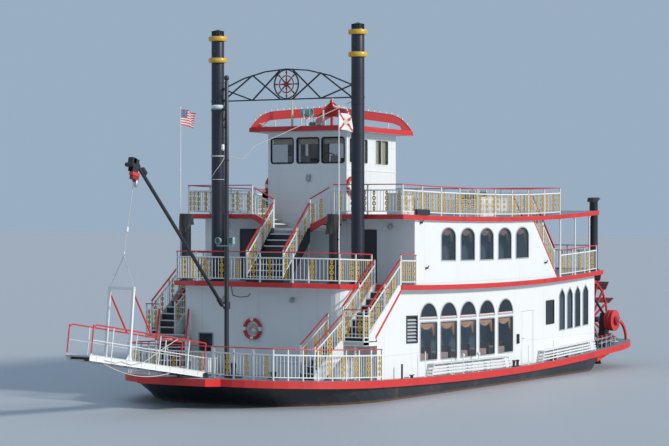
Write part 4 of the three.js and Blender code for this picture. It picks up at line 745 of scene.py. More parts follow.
# %% Give each node of the solid model its finish
FINISHES = {
    "hull": "hull", "main_deck": "main_deck", "saloon_deck": "deck", "roof_deck": "deck", "paddle_wheel": "wheel",
    "engine": "steel", "wheelhouse_floor": "plain_deck", "wheelhouse_roof": "deck", "roof_crown": "red",
    "chimney_arch": "black", "mast": "black", "boom_collar": "black", "boom": "black", "fall": "steel",
    "stage_saddle": "black",
}
PAIRS = {"stern_beam": "main_deck", "wheel_bearing": "black", "rudder": "hull", "chimney": "navy",
         "fore_stack": "black", "aft_stack": "black", "saloon_door": "black"}
FINISHES.update({f"{name}_{label}": paint for name, paint in PAIRS.items() for label, _ in SIDES})
for name, obj in nodes.items():
    obj.data.materials.clear()
    obj.data.materials.append(MATERIALS[FINISHES.get(name, "wall")])
print("finishes on the solid model", len(FINISHES))

# %% [markdown]
# ## Railings
# Round every deck runs the same railing: a red handrail on top, a white rail below it, thin white
# balusters down to a foot rail, and gold cast scrolls in place of every few balusters. Modelling each
# baluster by hand would take a day. Here three trees do it: one sweeps a bar along a line, one stands
# balusters along each bay, and one puts a scroll where the baluster was left out.

# %% Sweep a bar along a line
def sweep_tree():
    tree, given, output = new_tree("bar_along_path", Width=0.05, Depth=0.05, Lift=0.0, Round=0.01,
                                   Material=bpy.types.Material)
    line = put(tree, "GeometryNodeMeshToCurve", {"Mesh": given["Path"]})
    level = put(tree, "GeometryNodeSetCurveNormal", {"Curve": line.outputs[0]}, mode="Z_UP")
    section = put(tree, "GeometryNodeCurvePrimitiveQuadrilateral",
                  {"Width": given["Width"], "Height": given["Depth"]})
    eased = put(tree, "GeometryNodeFilletCurve",
                {"Curve": section.outputs[0], "Count": 2, "Radius": given["Round"]}, mode="POLY")
    bar = put(tree, "GeometryNodeCurveToMesh",
              {"Curve": level.outputs[0], "Profile Curve": eased.outputs[0], "Fill Caps": True})
    moved = put(tree, "GeometryNodeTransform",
                {"Geometry": bar.outputs[0], "Translation": upwards(tree, given["Lift"])})
    end_tree(tree, output, moved.outputs[0], given["Material"])
    return tree


# %% Balusters and scrolls along each bay
def bay_points(tree, given):
    """Each edge of the path as a curve cut into even steps, and what is needed to pick its points."""
    bays = put(tree, "GeometryNodeMeshToCurve", {"Mesh": given["Path"]})
    length = put(tree, "GeometryNodeSplineLength").outputs[0]
    steps = reckon(tree, "MAXIMUM", reckon(tree, "ROUND", reckon(tree, "DIVIDE", length, given["Spacing"])), 2.0)
    count = reckon(tree, "ADD", steps, 1.0)
    cut = put(tree, "GeometryNodeResampleCurve", {"Curve": bays.outputs[0], "Count": count}, mode="COUNT")
    place = put(tree, "GeometryNodeCurveOfPoint").outputs[1]
    rest = reckon(tree, "FLOORED_MODULO", place, given["Every"])
    scroll = reckon(tree, "COMPARE", rest, reckon(tree, "FLOOR", reckon(tree, "DIVIDE", given["Every"], 2.0)), 0.1)
    ends = put(tree, "GeometryNodeCurveEndpointSelection", {"Start Size": 1, "End Size": 1}).outputs[0]
    inner = reckon(tree, "SUBTRACT", 1.0, ends)
    tangent = put(tree, "GeometryNodeInputTangent").outputs[0]
    turn = put(tree, "FunctionNodeAlignRotationToVector", {"Vector": tangent}, axis="X", pivot_axis="Z")
    return cut.outputs[0], inner, scroll, turn.outputs[0]


def baluster_tree():
    tree, given, output = new_tree("balusters", Spacing=0.13, Every=5.0, Width=0.02, Foot=0.11, Head=0.86,
                                   Material=bpy.types.Material)
    points, inner, scroll, turn = bay_points(tree, given)
    height = reckon(tree, "SUBTRACT", given["Head"], given["Foot"])
    size = put(tree, "ShaderNodeCombineXYZ", {"X": given["Width"], "Y": given["Width"], "Z": height}).outputs[0]
    rod = put(tree, "GeometryNodeMeshCube", {"Size": size})
    middle = reckon(tree, "MULTIPLY", reckon(tree, "ADD", given["Head"], given["Foot"]), 0.5)
    stood = put(tree, "GeometryNodeTransform", {"Geometry": rod.outputs[0], "Translation": upwards(tree, middle)})
    chosen = reckon(tree, "MULTIPLY", inner, reckon(tree, "SUBTRACT", 1.0, scroll))
    placed = put(tree, "GeometryNodeInstanceOnPoints", {"Points": points, "Selection": chosen,
                                                        "Instance": stood.outputs[0], "Rotation": turn})
    end_tree(tree, output, placed.outputs[0], given["Material"])
    return tree


def scroll_tree():
    tree, given, output = new_tree("scrolls", Spacing=0.13, Every=5.0, Casting=bpy.types.Object,
                                   Material=bpy.types.Material)
    points, inner, scroll, turn = bay_points(tree, given)
    casting = put(tree, "GeometryNodeObjectInfo", {"Object": given["Casting"], "As Instance": True})
    placed = put(tree, "GeometryNodeInstanceOnPoints", {
        "Points": points, "Selection": reckon(tree, "MULTIPLY", inner, scroll),
        "Instance": casting.outputs["Geometry"], "Rotation": turn})
    end_tree(tree, output, placed.outputs[0], given["Material"])
    return tree


SWEEP, BALUSTERS, SCROLLS = sweep_tree(), baluster_tree(), scroll_tree()

# %% [markdown]
# The scroll is a flat casting: four open loops one above another with a stem between them, wider in the
# middle than at its ends. Seen from a few metres that is what a fine scroll looks like, and each one costs
# only a few dozen faces, which matters when there are hundreds.

# %% One scroll casting
RAIL_HEIGHT, RAIL_FOOT, RAIL_DROP, RAIL_POST, BALUSTER_STEP = 1.07, 0.11, 0.22, 0.045, 0.13
LOOPS, LOOP_SIDES, CASTING_DEPTH = 4, 8, 0.016
LOOP_WIDTHS = (0.055, 0.075, 0.075, 0.055)


def scroll_casting():
    shape = Shape()
    tall = (RAIL_HEIGHT - RAIL_DROP - RAIL_FOOT) / LOOPS
    upright = lambda a, b, depth: Vector((a, depth, b))
    for level, half in enumerate(LOOP_WIDTHS):
        middle = RAIL_FOOT + tall * (level + 0.5)
        ring, hole = ([(wide * half * math.cos(a), middle + high * tall * math.sin(a))
                       for a in circle(LOOP_SIDES, 0.5)] for wide, high in ((1.0, 0.47), (0.52, 0.28)))
        shape.rim(ring, hole, upright, -CASTING_DEPTH / 2, CASTING_DEPTH / 2)
    shape.block((-0.008, 0.008), (-0.006, 0.006), (RAIL_FOOT, RAIL_HEIGHT - RAIL_DROP))
    mesh = shape.mesh("scroll_casting", ["gold"], lift=False)
    casting = bpy.data.objects.new("scroll_casting", mesh)
    bpy.context.scene.collection.objects.link(casting)
    return casting


casting = scroll_casting()

# %% Joining what the trees return
def merged(*meshes):
    """Several meshes as one."""
    shape = bmesh.new()
    for mesh in meshes:
        shape.from_mesh(mesh)
    result = meshes[0]
    shape.to_mesh(result)
    shape.free()
    return result


def posts_along(corners, spacing):
    """Points for posts along a line: every corner, and even steps between them."""
    points = [Vector(corners[0])]
    for start, end in zip(corners, corners[1:]):
        start, end = Vector(start), Vector(end)
        bays = max(1, round((end - start).length / spacing))
        points += [start.lerp(end, (k + 1) / bays) for k in range(bays)]
    return points


def deck_line(corners, level):
    return [(x, y, level) for x, y in corners]


def railing(name, lines, node=None, body="ship", every=4.0, bay=1.30, lift=True, height=RAIL_HEIGHT,
            foot=RAIL_FOOT):
    """The three finishes of a railing along one or more lines of corners at deck level."""
    parts = {"white": [], "red": [], "gold": []}
    head = height - RAIL_DROP
    for corners in lines:
        path = posts_along(corners, bay)
        if lift:
            path = [Vector((p.x, p.y, p.z + sheer(p.x))) for p in path]
        apart = [p for pair in zip(path, path[1:]) for p in pair]
        bays = [(2 * i, 2 * i + 1) for i in range(len(path) - 1)]
        parts["red"].append(grow(SWEEP, path, chained(path), Width=0.075, Depth=0.036, Lift=height - 0.018,
                                 Round=0.012, Material="red"))
        for width, lift_by in ((0.045, head), (0.035, foot)):
            parts["white"].append(grow(SWEEP, path, chained(path), Width=width, Depth=width, Lift=lift_by,
                                       Round=0.006, Material="white"))
        middles = [p + Vector((0, 0, (height - 0.03) / 2)) for p in path]
        parts["white"].append(grow(BLOCKS, middles, [], Size=(RAIL_POST, RAIL_POST, height - 0.034), Material="white"))
        parts["white"].append(grow(BALUSTERS, apart, bays, Spacing=BALUSTER_STEP, Every=every, Width=0.017,
                                   Foot=foot, Head=head, Material="white"))
        parts["gold"].append(grow(SCROLLS, apart, bays, Spacing=BALUSTER_STEP, Every=every, Casting=casting,
                                  Material="gold"))
    made = []
    for colour, label in (("white", "bars"), ("red", "handrail"), ("gold", "scrolls")):
        mesh = merged(*parts[colour])
        if mesh.polygons:
            mesh.materials.clear()
            mesh.materials.append(MATERIALS[colour])
            made.append(finish_piece(f"{name}_{label}", mesh, f"{colour}_paint", body,
                                     (node,) if node and colour == "white" else ()))
    return made


# %% The lines of the railings
RAIL_INSET = 0.115
BOW_ROOT, BOW_HALF, BOW_SHOULDER = 10.58, 1.39, 5.5
FORE_RAIL_X, FORE_RAIL_END, FORE_RAIL_AFT = 9.8, 0.58, 5.47


def bow_edge(inset_by, angle):
    """A point of the main deck's curved edge, a quarter of an ellipse, moved in by an inset."""
    return (BOW_SHOULDER + (BOW_ROOT - BOW_SHOULDER - inset_by) * math.cos(angle),
            BOW_HALF + (HALF_BEAM - BOW_HALF - inset_by) * math.sin(angle))


def fore_rail_line(side):
    corner = math.acos((FORE_RAIL_X - BOW_SHOULDER) / (BOW_ROOT - BOW_SHOULDER - RAIL_INSET))
    curve = [bow_edge(RAIL_INSET, corner + (math.pi / 2 - corner) * k / 8) for k in range(8)]
    line = [(FORE_RAIL_X, FORE_RAIL_END), *curve, (FORE_RAIL_AFT, HALF_BEAM - RAIL_INSET)]
    return deck_line(mirrored(line, side), MAIN)


for label, side in SIDES:
    railing(f"fore_rail_{label}", [fore_rail_line(side)], f"fore_rail_{label}", every=9.0, bay=0.95)
gate_level = MAIN + sheer(FORE_RAIL_X) + 0.05
railing("bow_gate", [[(FORE_RAIL_X, 0.5, gate_level), (FORE_RAIL_X, -0.5, gate_level)]], "bow_gate", "gate",
        every=9.0, lift=False, height=1.02)
for name, level, every, line in (
        ("saloon_fore_rail", SALOON, 5.0, [(4.30, 3.425), (6.425, 3.425), (7.195, 2.02)]),
        ("saloon_aft_rail", SALOON, 4.0, [(-8.21, RAIL_LINE), (-11.56, RAIL_LINE)]),
        ("roof_rail", ROOF, 4.0, [(4.125, 1.75), (4.125, RAIL_LINE), (-8.2, RAIL_LINE)])):
    railing(name, [deck_line(across_ship(line), level)], name, every=every)

ROOF_SLAB = 0.165
headroom = ROOF - ROOF_SLAB - SALOON
stanchions = Shape()
for x in (-8.24, -9.56, -10.90):
    for y in (RAIL_LINE, -RAIL_LINE):
        stanchions.lathe((x, y, SALOON), [(0.055, 0.002), (0.055, 0.03), (0.034, 0.05), (0.034, headroom - 0.06),
                                          (0.06, headroom - 0.03), (0.06, headroom - 0.003)], 16)
stanchions.piece("saloon_deck_stanchions", "white")
print("railings done")

# %% [markdown]
# ## Stairs
# Three kinds of stair join the decks: a flight in two runs on each side of the bow, a wide flight with
# two short wings before the wheelhouse, and one through the roof deck on each side aft. All are the same
# thing at different sizes: two strings, dark treads with a white nosing, and the deck's own railing on a
# slope. So one function builds a flight along +X from the origin and then sets it down where it belongs.

# %% One flight
TREAD_DEPTH, STRING_WIDTH, STRING_DEPTH = 0.036, 0.05, 0.28
STAIR_RAIL = 1.015


def flight(name, foot, heading, risers, rise, going, width, string="white", node=None):
    run, climb = (risers - 1) * going, risers * rise
    place = Matrix.Translation(Vector(foot)) @ Matrix.Rotation(math.radians(heading), 4, "Z")
    lift_to = Vector((0, 0, sheer(foot[0])))
    tilt = (sheer(foot[0] + run * math.cos(math.radians(heading))) - sheer(foot[0])) / run

    def set_down(point):
        return place @ Vector((point.x, point.y, point.z + tilt * point.x)) + lift_to

    strings = Shape()
    for side in (1, -1):
        y = side * (width / 2 - STRING_WIDTH / 2)
        slope = rise / going
        outline = [(0.0, 0.0), (min(run, STRING_DEPTH / slope * 1.2), 0.0), (run, climb - rise - STRING_DEPTH),
                   (run, climb - 0.006), (max(0.0, run - 0.5 * going), climb - 0.006), (0.0, 0.75 * rise)]
        strings.plate(outline, lambda a, b, depth: Vector((a, y + depth, b)), -STRING_WIDTH / 2, STRING_WIDTH / 2)
    strings.points = [set_down(p) for p in strings.points]
    strings.piece(f"{name}_strings", string, lift=False, replaces=(node,) if node else ())
    clear = width - 2 * STRING_WIDTH - 0.004
    steps = [Vector(((i + 0.5) * going, 0, (i + 1) * rise)) for i in range(risers - 1)]
    treads = [p - Vector((0, 0, TREAD_DEPTH / 2)) for p in steps]
    backs = [p - Vector((going / 2 - 0.004, 0, (rise + TREAD_DEPTH) / 2)) for p in steps]
    noses = [p - Vector((going / 2 + 0.006, 0, TREAD_DEPTH / 2 - 0.002)) for p in steps]
    dark = merged(grow(BLOCKS, treads, [], Size=(going, clear, TREAD_DEPTH), Material="tread"),
                  grow(BLOCKS, backs, [], Size=(0.006, clear, rise - TREAD_DEPTH - 0.002), Material="tread"))
    light = grow(BLOCKS, noses, [], Size=(0.012, clear, TREAD_DEPTH + 0.006), Material="white")
    for mesh, label, slot in ((dark, "treads", "deck_paint"), (light, "nosings", "white_paint")):
        for vertex in mesh.vertices:
            vertex.co = set_down(vertex.co)
        finish_piece(f"{name}_{label}", mesh, slot, "ship")
    for side in (1, -1):
        y = side * (width / 2 - STRING_WIDTH / 2)
        ends = [set_down(Vector((0.025, y, 0.7 * rise))), set_down(Vector((run - 0.025, y, climb - 0.5 * rise)))]
        railing(f"{name}_{'left' if side > 0 else 'right'}", [ends], lift=False, height=STAIR_RAIL, foot=0.10)


# %% Side stairs with their landing
LANDING, LANDING_DEPTH = 1.35, 0.17
LOW_FOOT, LOW_HEADING, LOW_RISERS, LOW_RISE, LOW_GOING, LOW_WIDTH = (7.59, 2.855), 150, 6, 0.225, 0.22, 1.10
HIGH_X, HIGH_Y, HIGH_RISERS, WELL_X, LANDING_AFT, LANDING_OUT = 6.42, (3.52, 4.60), 8, 4.28, 5.41, 6.76
low_run = (LOW_RISERS - 1) * LOW_GOING
turned = math.radians(LOW_HEADING)
low_head = (LOW_FOOT[0] + low_run * math.cos(turned), LOW_FOOT[1] + low_run * math.sin(turned))
head_inner, head_outer = (
    (low_head[0] - math.sin(turned) * half, low_head[1] + math.cos(turned) * half)
    for half in (LOW_WIDTH / 2, -LOW_WIDTH / 2))
deck_step = SALOON - MAIN
high_rise = (deck_step - LANDING) / HIGH_RISERS
high_run = HIGH_X - WELL_X - 0.0006
high_going = high_run / (HIGH_RISERS - 1)
string_foot = (HIGH_X - STRING_DEPTH * 1.2 * high_going / high_rise, MAIN + LANDING + 0.06)
string_head = (HIGH_X - high_run, MAIN + LANDING + (HIGH_RISERS - 1) * high_rise - STRING_DEPTH + 0.27)
strip = [string_foot, string_head, *((x, z + 0.10) for x, z in (string_head, string_foot))]


def landing(label, side):
    shape = Shape()
    near, far = HIGH_Y
    base = MAIN + LANDING - LANDING_DEPTH
    top = MAIN + LANDING
    wide, upper = ([head_inner, head_outer, (LANDING_OUT, far), (aft, far), (aft, near), (head_inner[0], near)]
                   for aft in (LANDING_AFT, HIGH_X - 0.005))
    shape.plate(mirrored(wide, side), on_deck(base), 0, top - 0.045 - base)
    shape.plate(mirrored(upper, side), on_deck(base + 0.02), 0, LANDING_DEPTH - 0.026)
    for x, y in ((LANDING_OUT - 0.1, 4.2), (LANDING_AFT + 0.2, 4.2), (head_outer[0] - 0.06, head_outer[1] - 0.06),
                 (head_inner[0] + 0.02, head_inner[1] + 0.09)):
        shape.lathe((x, side * y, MAIN), [(0.07, 0.001), (0.07, 0.03), (0.04, 0.05),
                                          (0.04, LANDING - LANDING_DEPTH - 0.004)], 16)
    shape.piece(f"side_landing_{label}", "white")
    plate = Shape().plate(mirrored(inset(upper, 0.02), side), on_deck(top), -0.006, 0.0)
    plate.piece(f"side_landing_plate_{label}", "tread")


for label, side in SIDES:
    flight(f"low_flight_{label}", (LOW_FOOT[0], side * LOW_FOOT[1], MAIN), side * LOW_HEADING, LOW_RISERS,
           LOW_RISE, LOW_GOING, LOW_WIDTH, node=f"side_stair_{label}")
    flight(f"high_flight_{label}", (HIGH_X, side * sum(HIGH_Y) / 2, MAIN + LANDING - 0.002), 180, HIGH_RISERS,
           high_rise, high_going, HIGH_Y[1] - HIGH_Y[0])
    landing(label, side)
    Shape().plate(strip, on_side(HIGH_Y[1], side), -0.022, -0.001).piece(f"high_flight_{label}_strip", "red")
    guard = [(head_outer[0] - 0.03, head_outer[1] + 0.02), (LANDING_OUT - 0.04, HIGH_Y[1] - 0.03),
             (HIGH_X - 0.02, HIGH_Y[1] - 0.03)]
    railing(f"landing_rail_{label}", [deck_line(mirrored(guard, side), MAIN + LANDING)], every=3.0)
    way = mirrored([(WELL_X - 0.03, RAIL_LINE), (3.19, RAIL_LINE)], side)
    railing(f"side_way_rail_{label}", [deck_line(way, SALOON)], every=3.0)

# %% Centre stair with its half landing and wings
HALF_LANDING, HALF_LANDING_X, CENTRE_HALF, CENTRE_RISERS, CENTRE_GOING = 1.97, (3.18, 4.19), 0.80, 9, 0.216
WING_STEPS, WING_END = 3, 1.71
flight("centre_flight", (HALF_LANDING_X[1] + (CENTRE_RISERS - 1) * CENTRE_GOING, 0, SALOON), 180, CENTRE_RISERS,
       HALF_LANDING / CENTRE_RISERS, CENTRE_GOING, 2 * CENTRE_HALF, string="black", node="centre_stair")
landing_z = SALOON + HALF_LANDING
wing_rise = (ROOF - landing_z) / WING_STEPS
wing_going = (WING_END - CENTRE_HALF) / WING_STEPS
centre = Shape().block(HALF_LANDING_X, (-CENTRE_HALF, CENTRE_HALF), (landing_z - 0.10, landing_z - 0.006))
centre_edges, wing_treads = Shape(), Shape()
wing_x = (HALF_LANDING_X[0], HALF_LANDING_X[1] - 0.06)
wing_treads.block((HALF_LANDING_X[0] + 0.01, HALF_LANDING_X[1] - 0.01), (-CENTRE_HALF + 0.01, CENTRE_HALF - 0.01),
                  (landing_z - 0.006, landing_z))
for side in (1, -1):
    for step in (1, 2):
        top = landing_z + step * wing_rise
        near, far = CENTRE_HALF + (step - 1) * wing_going, CENTRE_HALF + (step if step < 2 else 3) * wing_going
        wing_treads.block(wing_x, (side * near, side * far), (top - 0.04, top))
        centre.block(wing_x, beside(near, side, -0.008, 0.004), (top - 0.042, top + 0.001))
    slope = [(side * y, z) for y, z in (
        (CENTRE_HALF, landing_z - 0.16), (CENTRE_HALF, landing_z + 0.12), (WING_END - 0.12, ROOF - 0.01),
        (WING_END, ROOF - 0.01), (WING_END, ROOF - 0.17))]
    centre_edges.plate(slope, on_front(HALF_LANDING_X[1]), 0.0, 0.05)
    for y in (0.65, 0.72):
        centre.block((HALF_LANDING_X[1] - 0.08, HALF_LANDING_X[1] - 0.02), beside(y, side, -0.035, 0),
                     (SALOON + GAP, landing_z - 0.10))
centre.piece("centre_landing", "white")
centre_edges.piece("centre_wing_strings", "red", bevel=0.004)
wing_treads.piece("centre_wing_treads", "tread")
wing_rails = [[(HALF_LANDING_X[1] - 0.025, side * (CENTRE_HALF - 0.025), landing_z - 0.02),
               (HALF_LANDING_X[1] - 0.025, side * 1.60, ROOF - 0.10)] for side in (1, -1)]
railing("centre_wing_rails", wing_rails, every=3.0)

# %% Aft stairs, up through the roof deck's wells
AFT_Y, AFT_WIDTH, AFT_HEAD, AFT_GOING, AFT_RISERS = 3.96, 0.88, -6.10, 0.205, 11
for label, side in SIDES:
    flight(f"aft_flight_{label}", (AFT_HEAD - (AFT_RISERS - 1) * AFT_GOING, side * AFT_Y, SALOON), 0, AFT_RISERS,
           (ROOF - SALOON) / AFT_RISERS, AFT_GOING, AFT_WIDTH, node=f"aft_stair_{label}")
print("stairs done")

# %% [markdown]
# ## Windows and doors
# Each opening gets the same four layers that the real ones have: a thin trim proud of the wall, a frame
# set in the wall's thickness, a rubber gasket and the pane. The outline is the opening's own, moved in or
# out, so an arch, a lancet and a plain light all come from one function.

# %% Cloth, and a lining for the rooms whose bluish colour is painted reflection
def cloth(name, colour, shade, weave=420.0):
    finish = Finish(name, colour, 0.85, Sheen_Weight=0.3)
    finish.wash((3.0, 4.0), 0.4, 0.75, shade, 0.5)
    threads = put(finish.tree, "ShaderNodeTexWave", {"Vector": finish.place, "Scale": weave, "Distortion": 0.5},
                  bands_direction="DIAGONAL")
    finish.raise_by(threads.outputs[1], 0.0004)
    return finish.done()


MATERIALS["curtain"] = cloth("tan_curtain_cloth", (1.0, 0.62, 0.38), (0.88, 0.44, 0.24))
MATERIALS["dim_curtain"] = cloth("brown_curtain_cloth", (0.50, 0.30, 0.22), (0.30, 0.17, 0.12))
MATERIALS["linen"] = cloth("pink_table_linen", (0.92, 0.64, 0.58), (0.70, 0.45, 0.42))
# The lining is bluish so that the panes in front of it take the tone of the reflected sky: painted reflection.
MATERIALS["room"] = painted("lining_painted_sky_reflection", (0.15, 0.22, 0.30), 0.8, 0.6, (0.08, 0.07, 0.06), coat=0.0)

# %% One glazed opening, or a whole wall of them
TRIM, FRAME, GASKET, PROUD = 0.026, 0.018, 0.012, 0.014


def glazed(name, outlines, place, trim="grey", frame_paint="grey", pane="glass", slot="white_paint"):
    trims, gaskets, panes = Shape(), Shape(), Shape()
    for outline in outlines:
        edge = inset(outline, FRAME)
        trims.rim(inset(outline, -TRIM), edge, place, -PROUD, -0.001, 0)
        trims.rim(inset(outline, 0.001), edge, place, 0.0, 0.045, 1)
        gaskets.rim(inset(edge, 0.0008), inset(edge, GASKET), place, 0.006, 0.030)
        panes.plate(inset(edge, 0.0015), place, 0.014, 0.022)
    trims.piece(f"{name}_frames", f"{trim} {frame_paint}", slot=slot)
    gaskets.piece(f"{name}_gaskets", "rubber")
    panes.piece(f"{name}_panes", pane)


def on_deck_wall(place, level):
    """Heights given above a deck."""
    return lambda a, b, depth: place(a, b + level, depth)


MAIN_XS = (1.80, 0.33, -1.145, -2.615, -4.105)
LANCET_XS = (-8.96, -9.67, -10.375, -11.12)
SALOON_XS = (0.71, -0.74, -2.215, -3.66, -5.105)
for label, side in SIDES:
    main_wall = on_deck_wall(on_side(SIDE_MAIN, side), MAIN)
    glazed(f"main_lights_{label}",
           [arched(x, 1.22, 2.04, 2.61, 0.569) for x in MAIN_XS]
           + [rounded(about(x, 0.61), (0.56, 1.93), 0.060) for x in MAIN_XS], main_wall)
    glazed(f"lancets_{label}", [pointed(x, 0.50, 1.09, 2.73, 0.33) for x in LANCET_XS], main_wall)
    glazed(f"saloon_lights_{label}", [arched(x, 1.06, 0.87, 2.06, 0.33) for x in SALOON_XS],
           on_deck_wall(on_side(SIDE_SALOON, side), SALOON))
glazed("front_light", [rectangle((-2.59, -1.98), (0.75, 1.42))], on_deck_wall(on_front(6.25), MAIN))

# %% Louvres and grilles
for label, side in SIDES:
    slats, surround = Shape(), Shape()
    in_wall = on_deck_wall(on_side(SIDE_MAIN, side), MAIN)
    on_wall = lambda a, b, depth, f=in_wall: f(a, b, 0.45 * depth - 0.028)
    for (x0, x1), (z0, z1), count, paint, wall_place in (((2.63, 3.37), (1.23, 2.15), 7, 0, in_wall),
                                                         ((-8.19, -7.55), (1.44, 2.33), 9, 1, on_wall)):
        outline = rectangle((x0, x1), (z0, z1))
        surround.rim(inset(outline, -0.03), inset(outline, 0.03), wall_place, -0.018, -0.001)
        surround.rim(inset(outline, 0.001), inset(outline, 0.03), wall_place, 0.0, 0.055)
        surround.plate(inset(outline, 0.031), wall_place, 0.050, 0.054)
        step = (z1 - z0 - 0.08) / count
        for i in range(count):
            low = z0 + 0.04 + i * step
            high = low + step * 0.55
            profile = [(low, 0.004), (low + 0.012, 0.004), (high, 0.044), (high - 0.012, 0.044)]
            slats.loft([[wall_place(x, z, depth) for z, depth in profile]
                        for x in (x0 + 0.032, x1 - 0.032)], paint)
    surround.piece(f"vent_surrounds_{label}", "black")
    slats.piece(f"vent_slats_{label}", "grey black", slot="white_paint")

# %% Doors: a seam round each leaf, its knob, and a kick plate
def door_fittings(name, body, place, a, b, knob_at, paint="white"):
    outline = inset(rectangle(a, b), 0.010)
    panel = Shape().rim(inset(outline, 0.055), inset(outline, 0.075), place, -0.006, 0.0045)
    panel.plate(rectangle((a[0] + 0.10, a[1] - 0.10), (b[0] + 0.05, b[0] + 0.22)), place, -0.004, 0.003)
    panel.piece(f"{name}_mouldings", paint, body)
    knob = Shape()
    centre = place(knob_at, b[0] + 0.98, 0.0)
    out = place(knob_at, b[0] + 0.98, -1.0) - centre
    knob.tube([centre + out * t for t in (-0.004, 0.004, 0.010, 0.034, 0.044, 0.058, 0.066)],
              [0.030, 0.030, 0.012, 0.012, 0.026, 0.026, 0.010], 14)
    knob.piece(f"{name}_knob", "bright", body, slot="gold_paint")


for label, side in SIDES:
    door_fittings(f"main_door_{label}", f"{label}_main_door", on_deck_wall(on_side(SIDE_MAIN - 0.005, side), MAIN),
                  (-6.43, -5.43), (0.03, 2.06), -5.53)
    door_fittings(f"saloon_door_{label}", f"{label}_saloon_door", on_deck_wall(on_front(3.155), SALOON),
                  sorted((side * 2.18, side * 2.96)), (0.03, 1.95), side * 2.28, paint="black")
door_fittings("aft_door", "aft_saloon_door", on_deck_wall(on_front(-6.035, -1), SALOON),
              (-0.42, 0.42), (0.03, 1.95), -0.32)
door_fittings("pilot_door", "pilot_door", on_deck_wall(on_front(-0.305, -1), ROOF),
              (0.50, 1.25), (0.03, 1.98), 0.60)

# %% [markdown]
# ## Behind the glass
# Dark panes alone look like painted boards. A boat's dining saloon shows tablecloths, chair backs and the
# swag curtains tied up in each corner. A plain shade stands a little inside the wall so that the daylight of
# the far side doesn't shine through; its bluish colour is painted reflection, the tone of the sky in the panes.

# %% Tables, chairs and the shades behind the glass, with their painted reflection
SHADES = (((-4.95, 2.60), 3.05, MAIN, 3.0), ((-11.6, -8.7), 3.6, MAIN, 3.0), ((-5.75, 1.45), 3.5, SALOON, 2.2))
for label, side in SIDES:
    shade = Shape()
    for xs, y, level, tall in SHADES:
        shade.block(xs, beside(y, side, -0.03, 0), (level + 0.02, level + tall))
    shade.piece(f"room_shades_{label}", "room")
    cloths, chairs = Shape(), Shape()
    for x in MAIN_XS:
        y = side * 3.68
        skirt = [(x + 0.42 * u, y + side * 0.36 * v) for u, v in
                 ((-1, -1), (-0.3, -1.02), (0.4, -0.98), (1, -1), (1, 1), (0.3, 0.98), (-0.4, 1.02), (-1, 1))]
        cloths.loft([[(a + flare * (a - x), b, MAIN + z) for a, b in skirt]
                     for flare, z in ((0.02, 0.38), (0.0, 0.78))])
        for lean in (-1, 1):
            back = x + lean * 0.55
            wood_x, seat_x, wide = about(back, 0.02), (back, back - lean * 0.13), about(y, 0.2)
            chairs.block(wood_x, wide, (MAIN + 0.45, MAIN + 0.98))
            chairs.block(seat_x, wide, (MAIN + 0.42, MAIN + 0.46))
            for dy in (-0.18, 0.18):
                chairs.block(wood_x, about(y + dy, 0.02), (MAIN + GAP, MAIN + 0.45))
    cloths.piece(f"tables_{label}", "linen", bevel=0.012)
    chairs.piece(f"chairs_{label}", "wood")

# %% Curtains: a tied tail in each upper corner and a swag between them, all one cloth
TAIL_DROP, TAIL_REACH, SWAG_DROP, PLEATS = 0.52, 0.24, 0.24, 4


def cloth_grid(rows, columns, place):
    points = [place(down, across) for down in shares(rows) for across in shares(columns)]
    faces = [(at, at + 1, at + columns + 2, at + columns + 1)
             for at in (r * (columns + 1) + c for r in range(rows) for c in range(columns))]
    return points, faces


def tail(x, side, turn, top, wall_y, half):
    """A pleated tail that narrows towards its tie; turn is the side of the window that it hangs on."""
    def place(down, across):
        fold = 0.018 * math.sin(2 * math.pi * PLEATS * across + 0.5 * down) * (0.5 + down)
        drop = TAIL_DROP * down * (1.0 - 0.45 * across)
        return x + turn * (half - across * TAIL_REACH * (1 - 0.35 * down)), side * (wall_y - 0.105 + fold), top - drop
    return cloth_grid(7, 16, place)


def swag(x, side, top, wall_y, half):
    """A half-round swag whose folds follow its lower edge."""
    def place(down, across):
        hang = math.sin(math.pi * across) ** 0.7
        fold = 0.020 * math.sin(2 * math.pi * 2.5 * down + 0.6) * hang
        drop = 0.02 + SWAG_DROP * down * hang
        return x + (2 * across - 1) * half * 0.86, side * (wall_y - 0.085 + fold), top - drop
    return cloth_grid(10, 18, place)


def curtains(name, windows, side, top, wall_y, half, cloth_name="curtain"):
    hung = Shape()
    for x in windows:
        hung.add(*swag(x, side, top, wall_y, half))
        for turn in (1, -1):
            hung.add(*tail(x, side, turn, top, wall_y, half))
    obj = hung.piece(name, cloth_name)


for label, side in SIDES:
    curtains(f"main_curtains_{label}", MAIN_XS, side, MAIN + 1.90, SIDE_MAIN, 0.58)
    curtains(f"saloon_curtains_{label}", SALOON_XS, side, SALOON + 2.02, SIDE_SALOON, 0.46,
             "dim_curtain")
print("windows done")

# %% [markdown]
# ## Wheelhouse
# The wheelhouse is a glass box on a white block. Its windows are rounded and held by black rubber, blinds
# hang in them, and the console and wheel stand behind. On its roof the crown of curved red boards carries a
# row of bulbs, and the searchlight, horns and aerials stand under it.

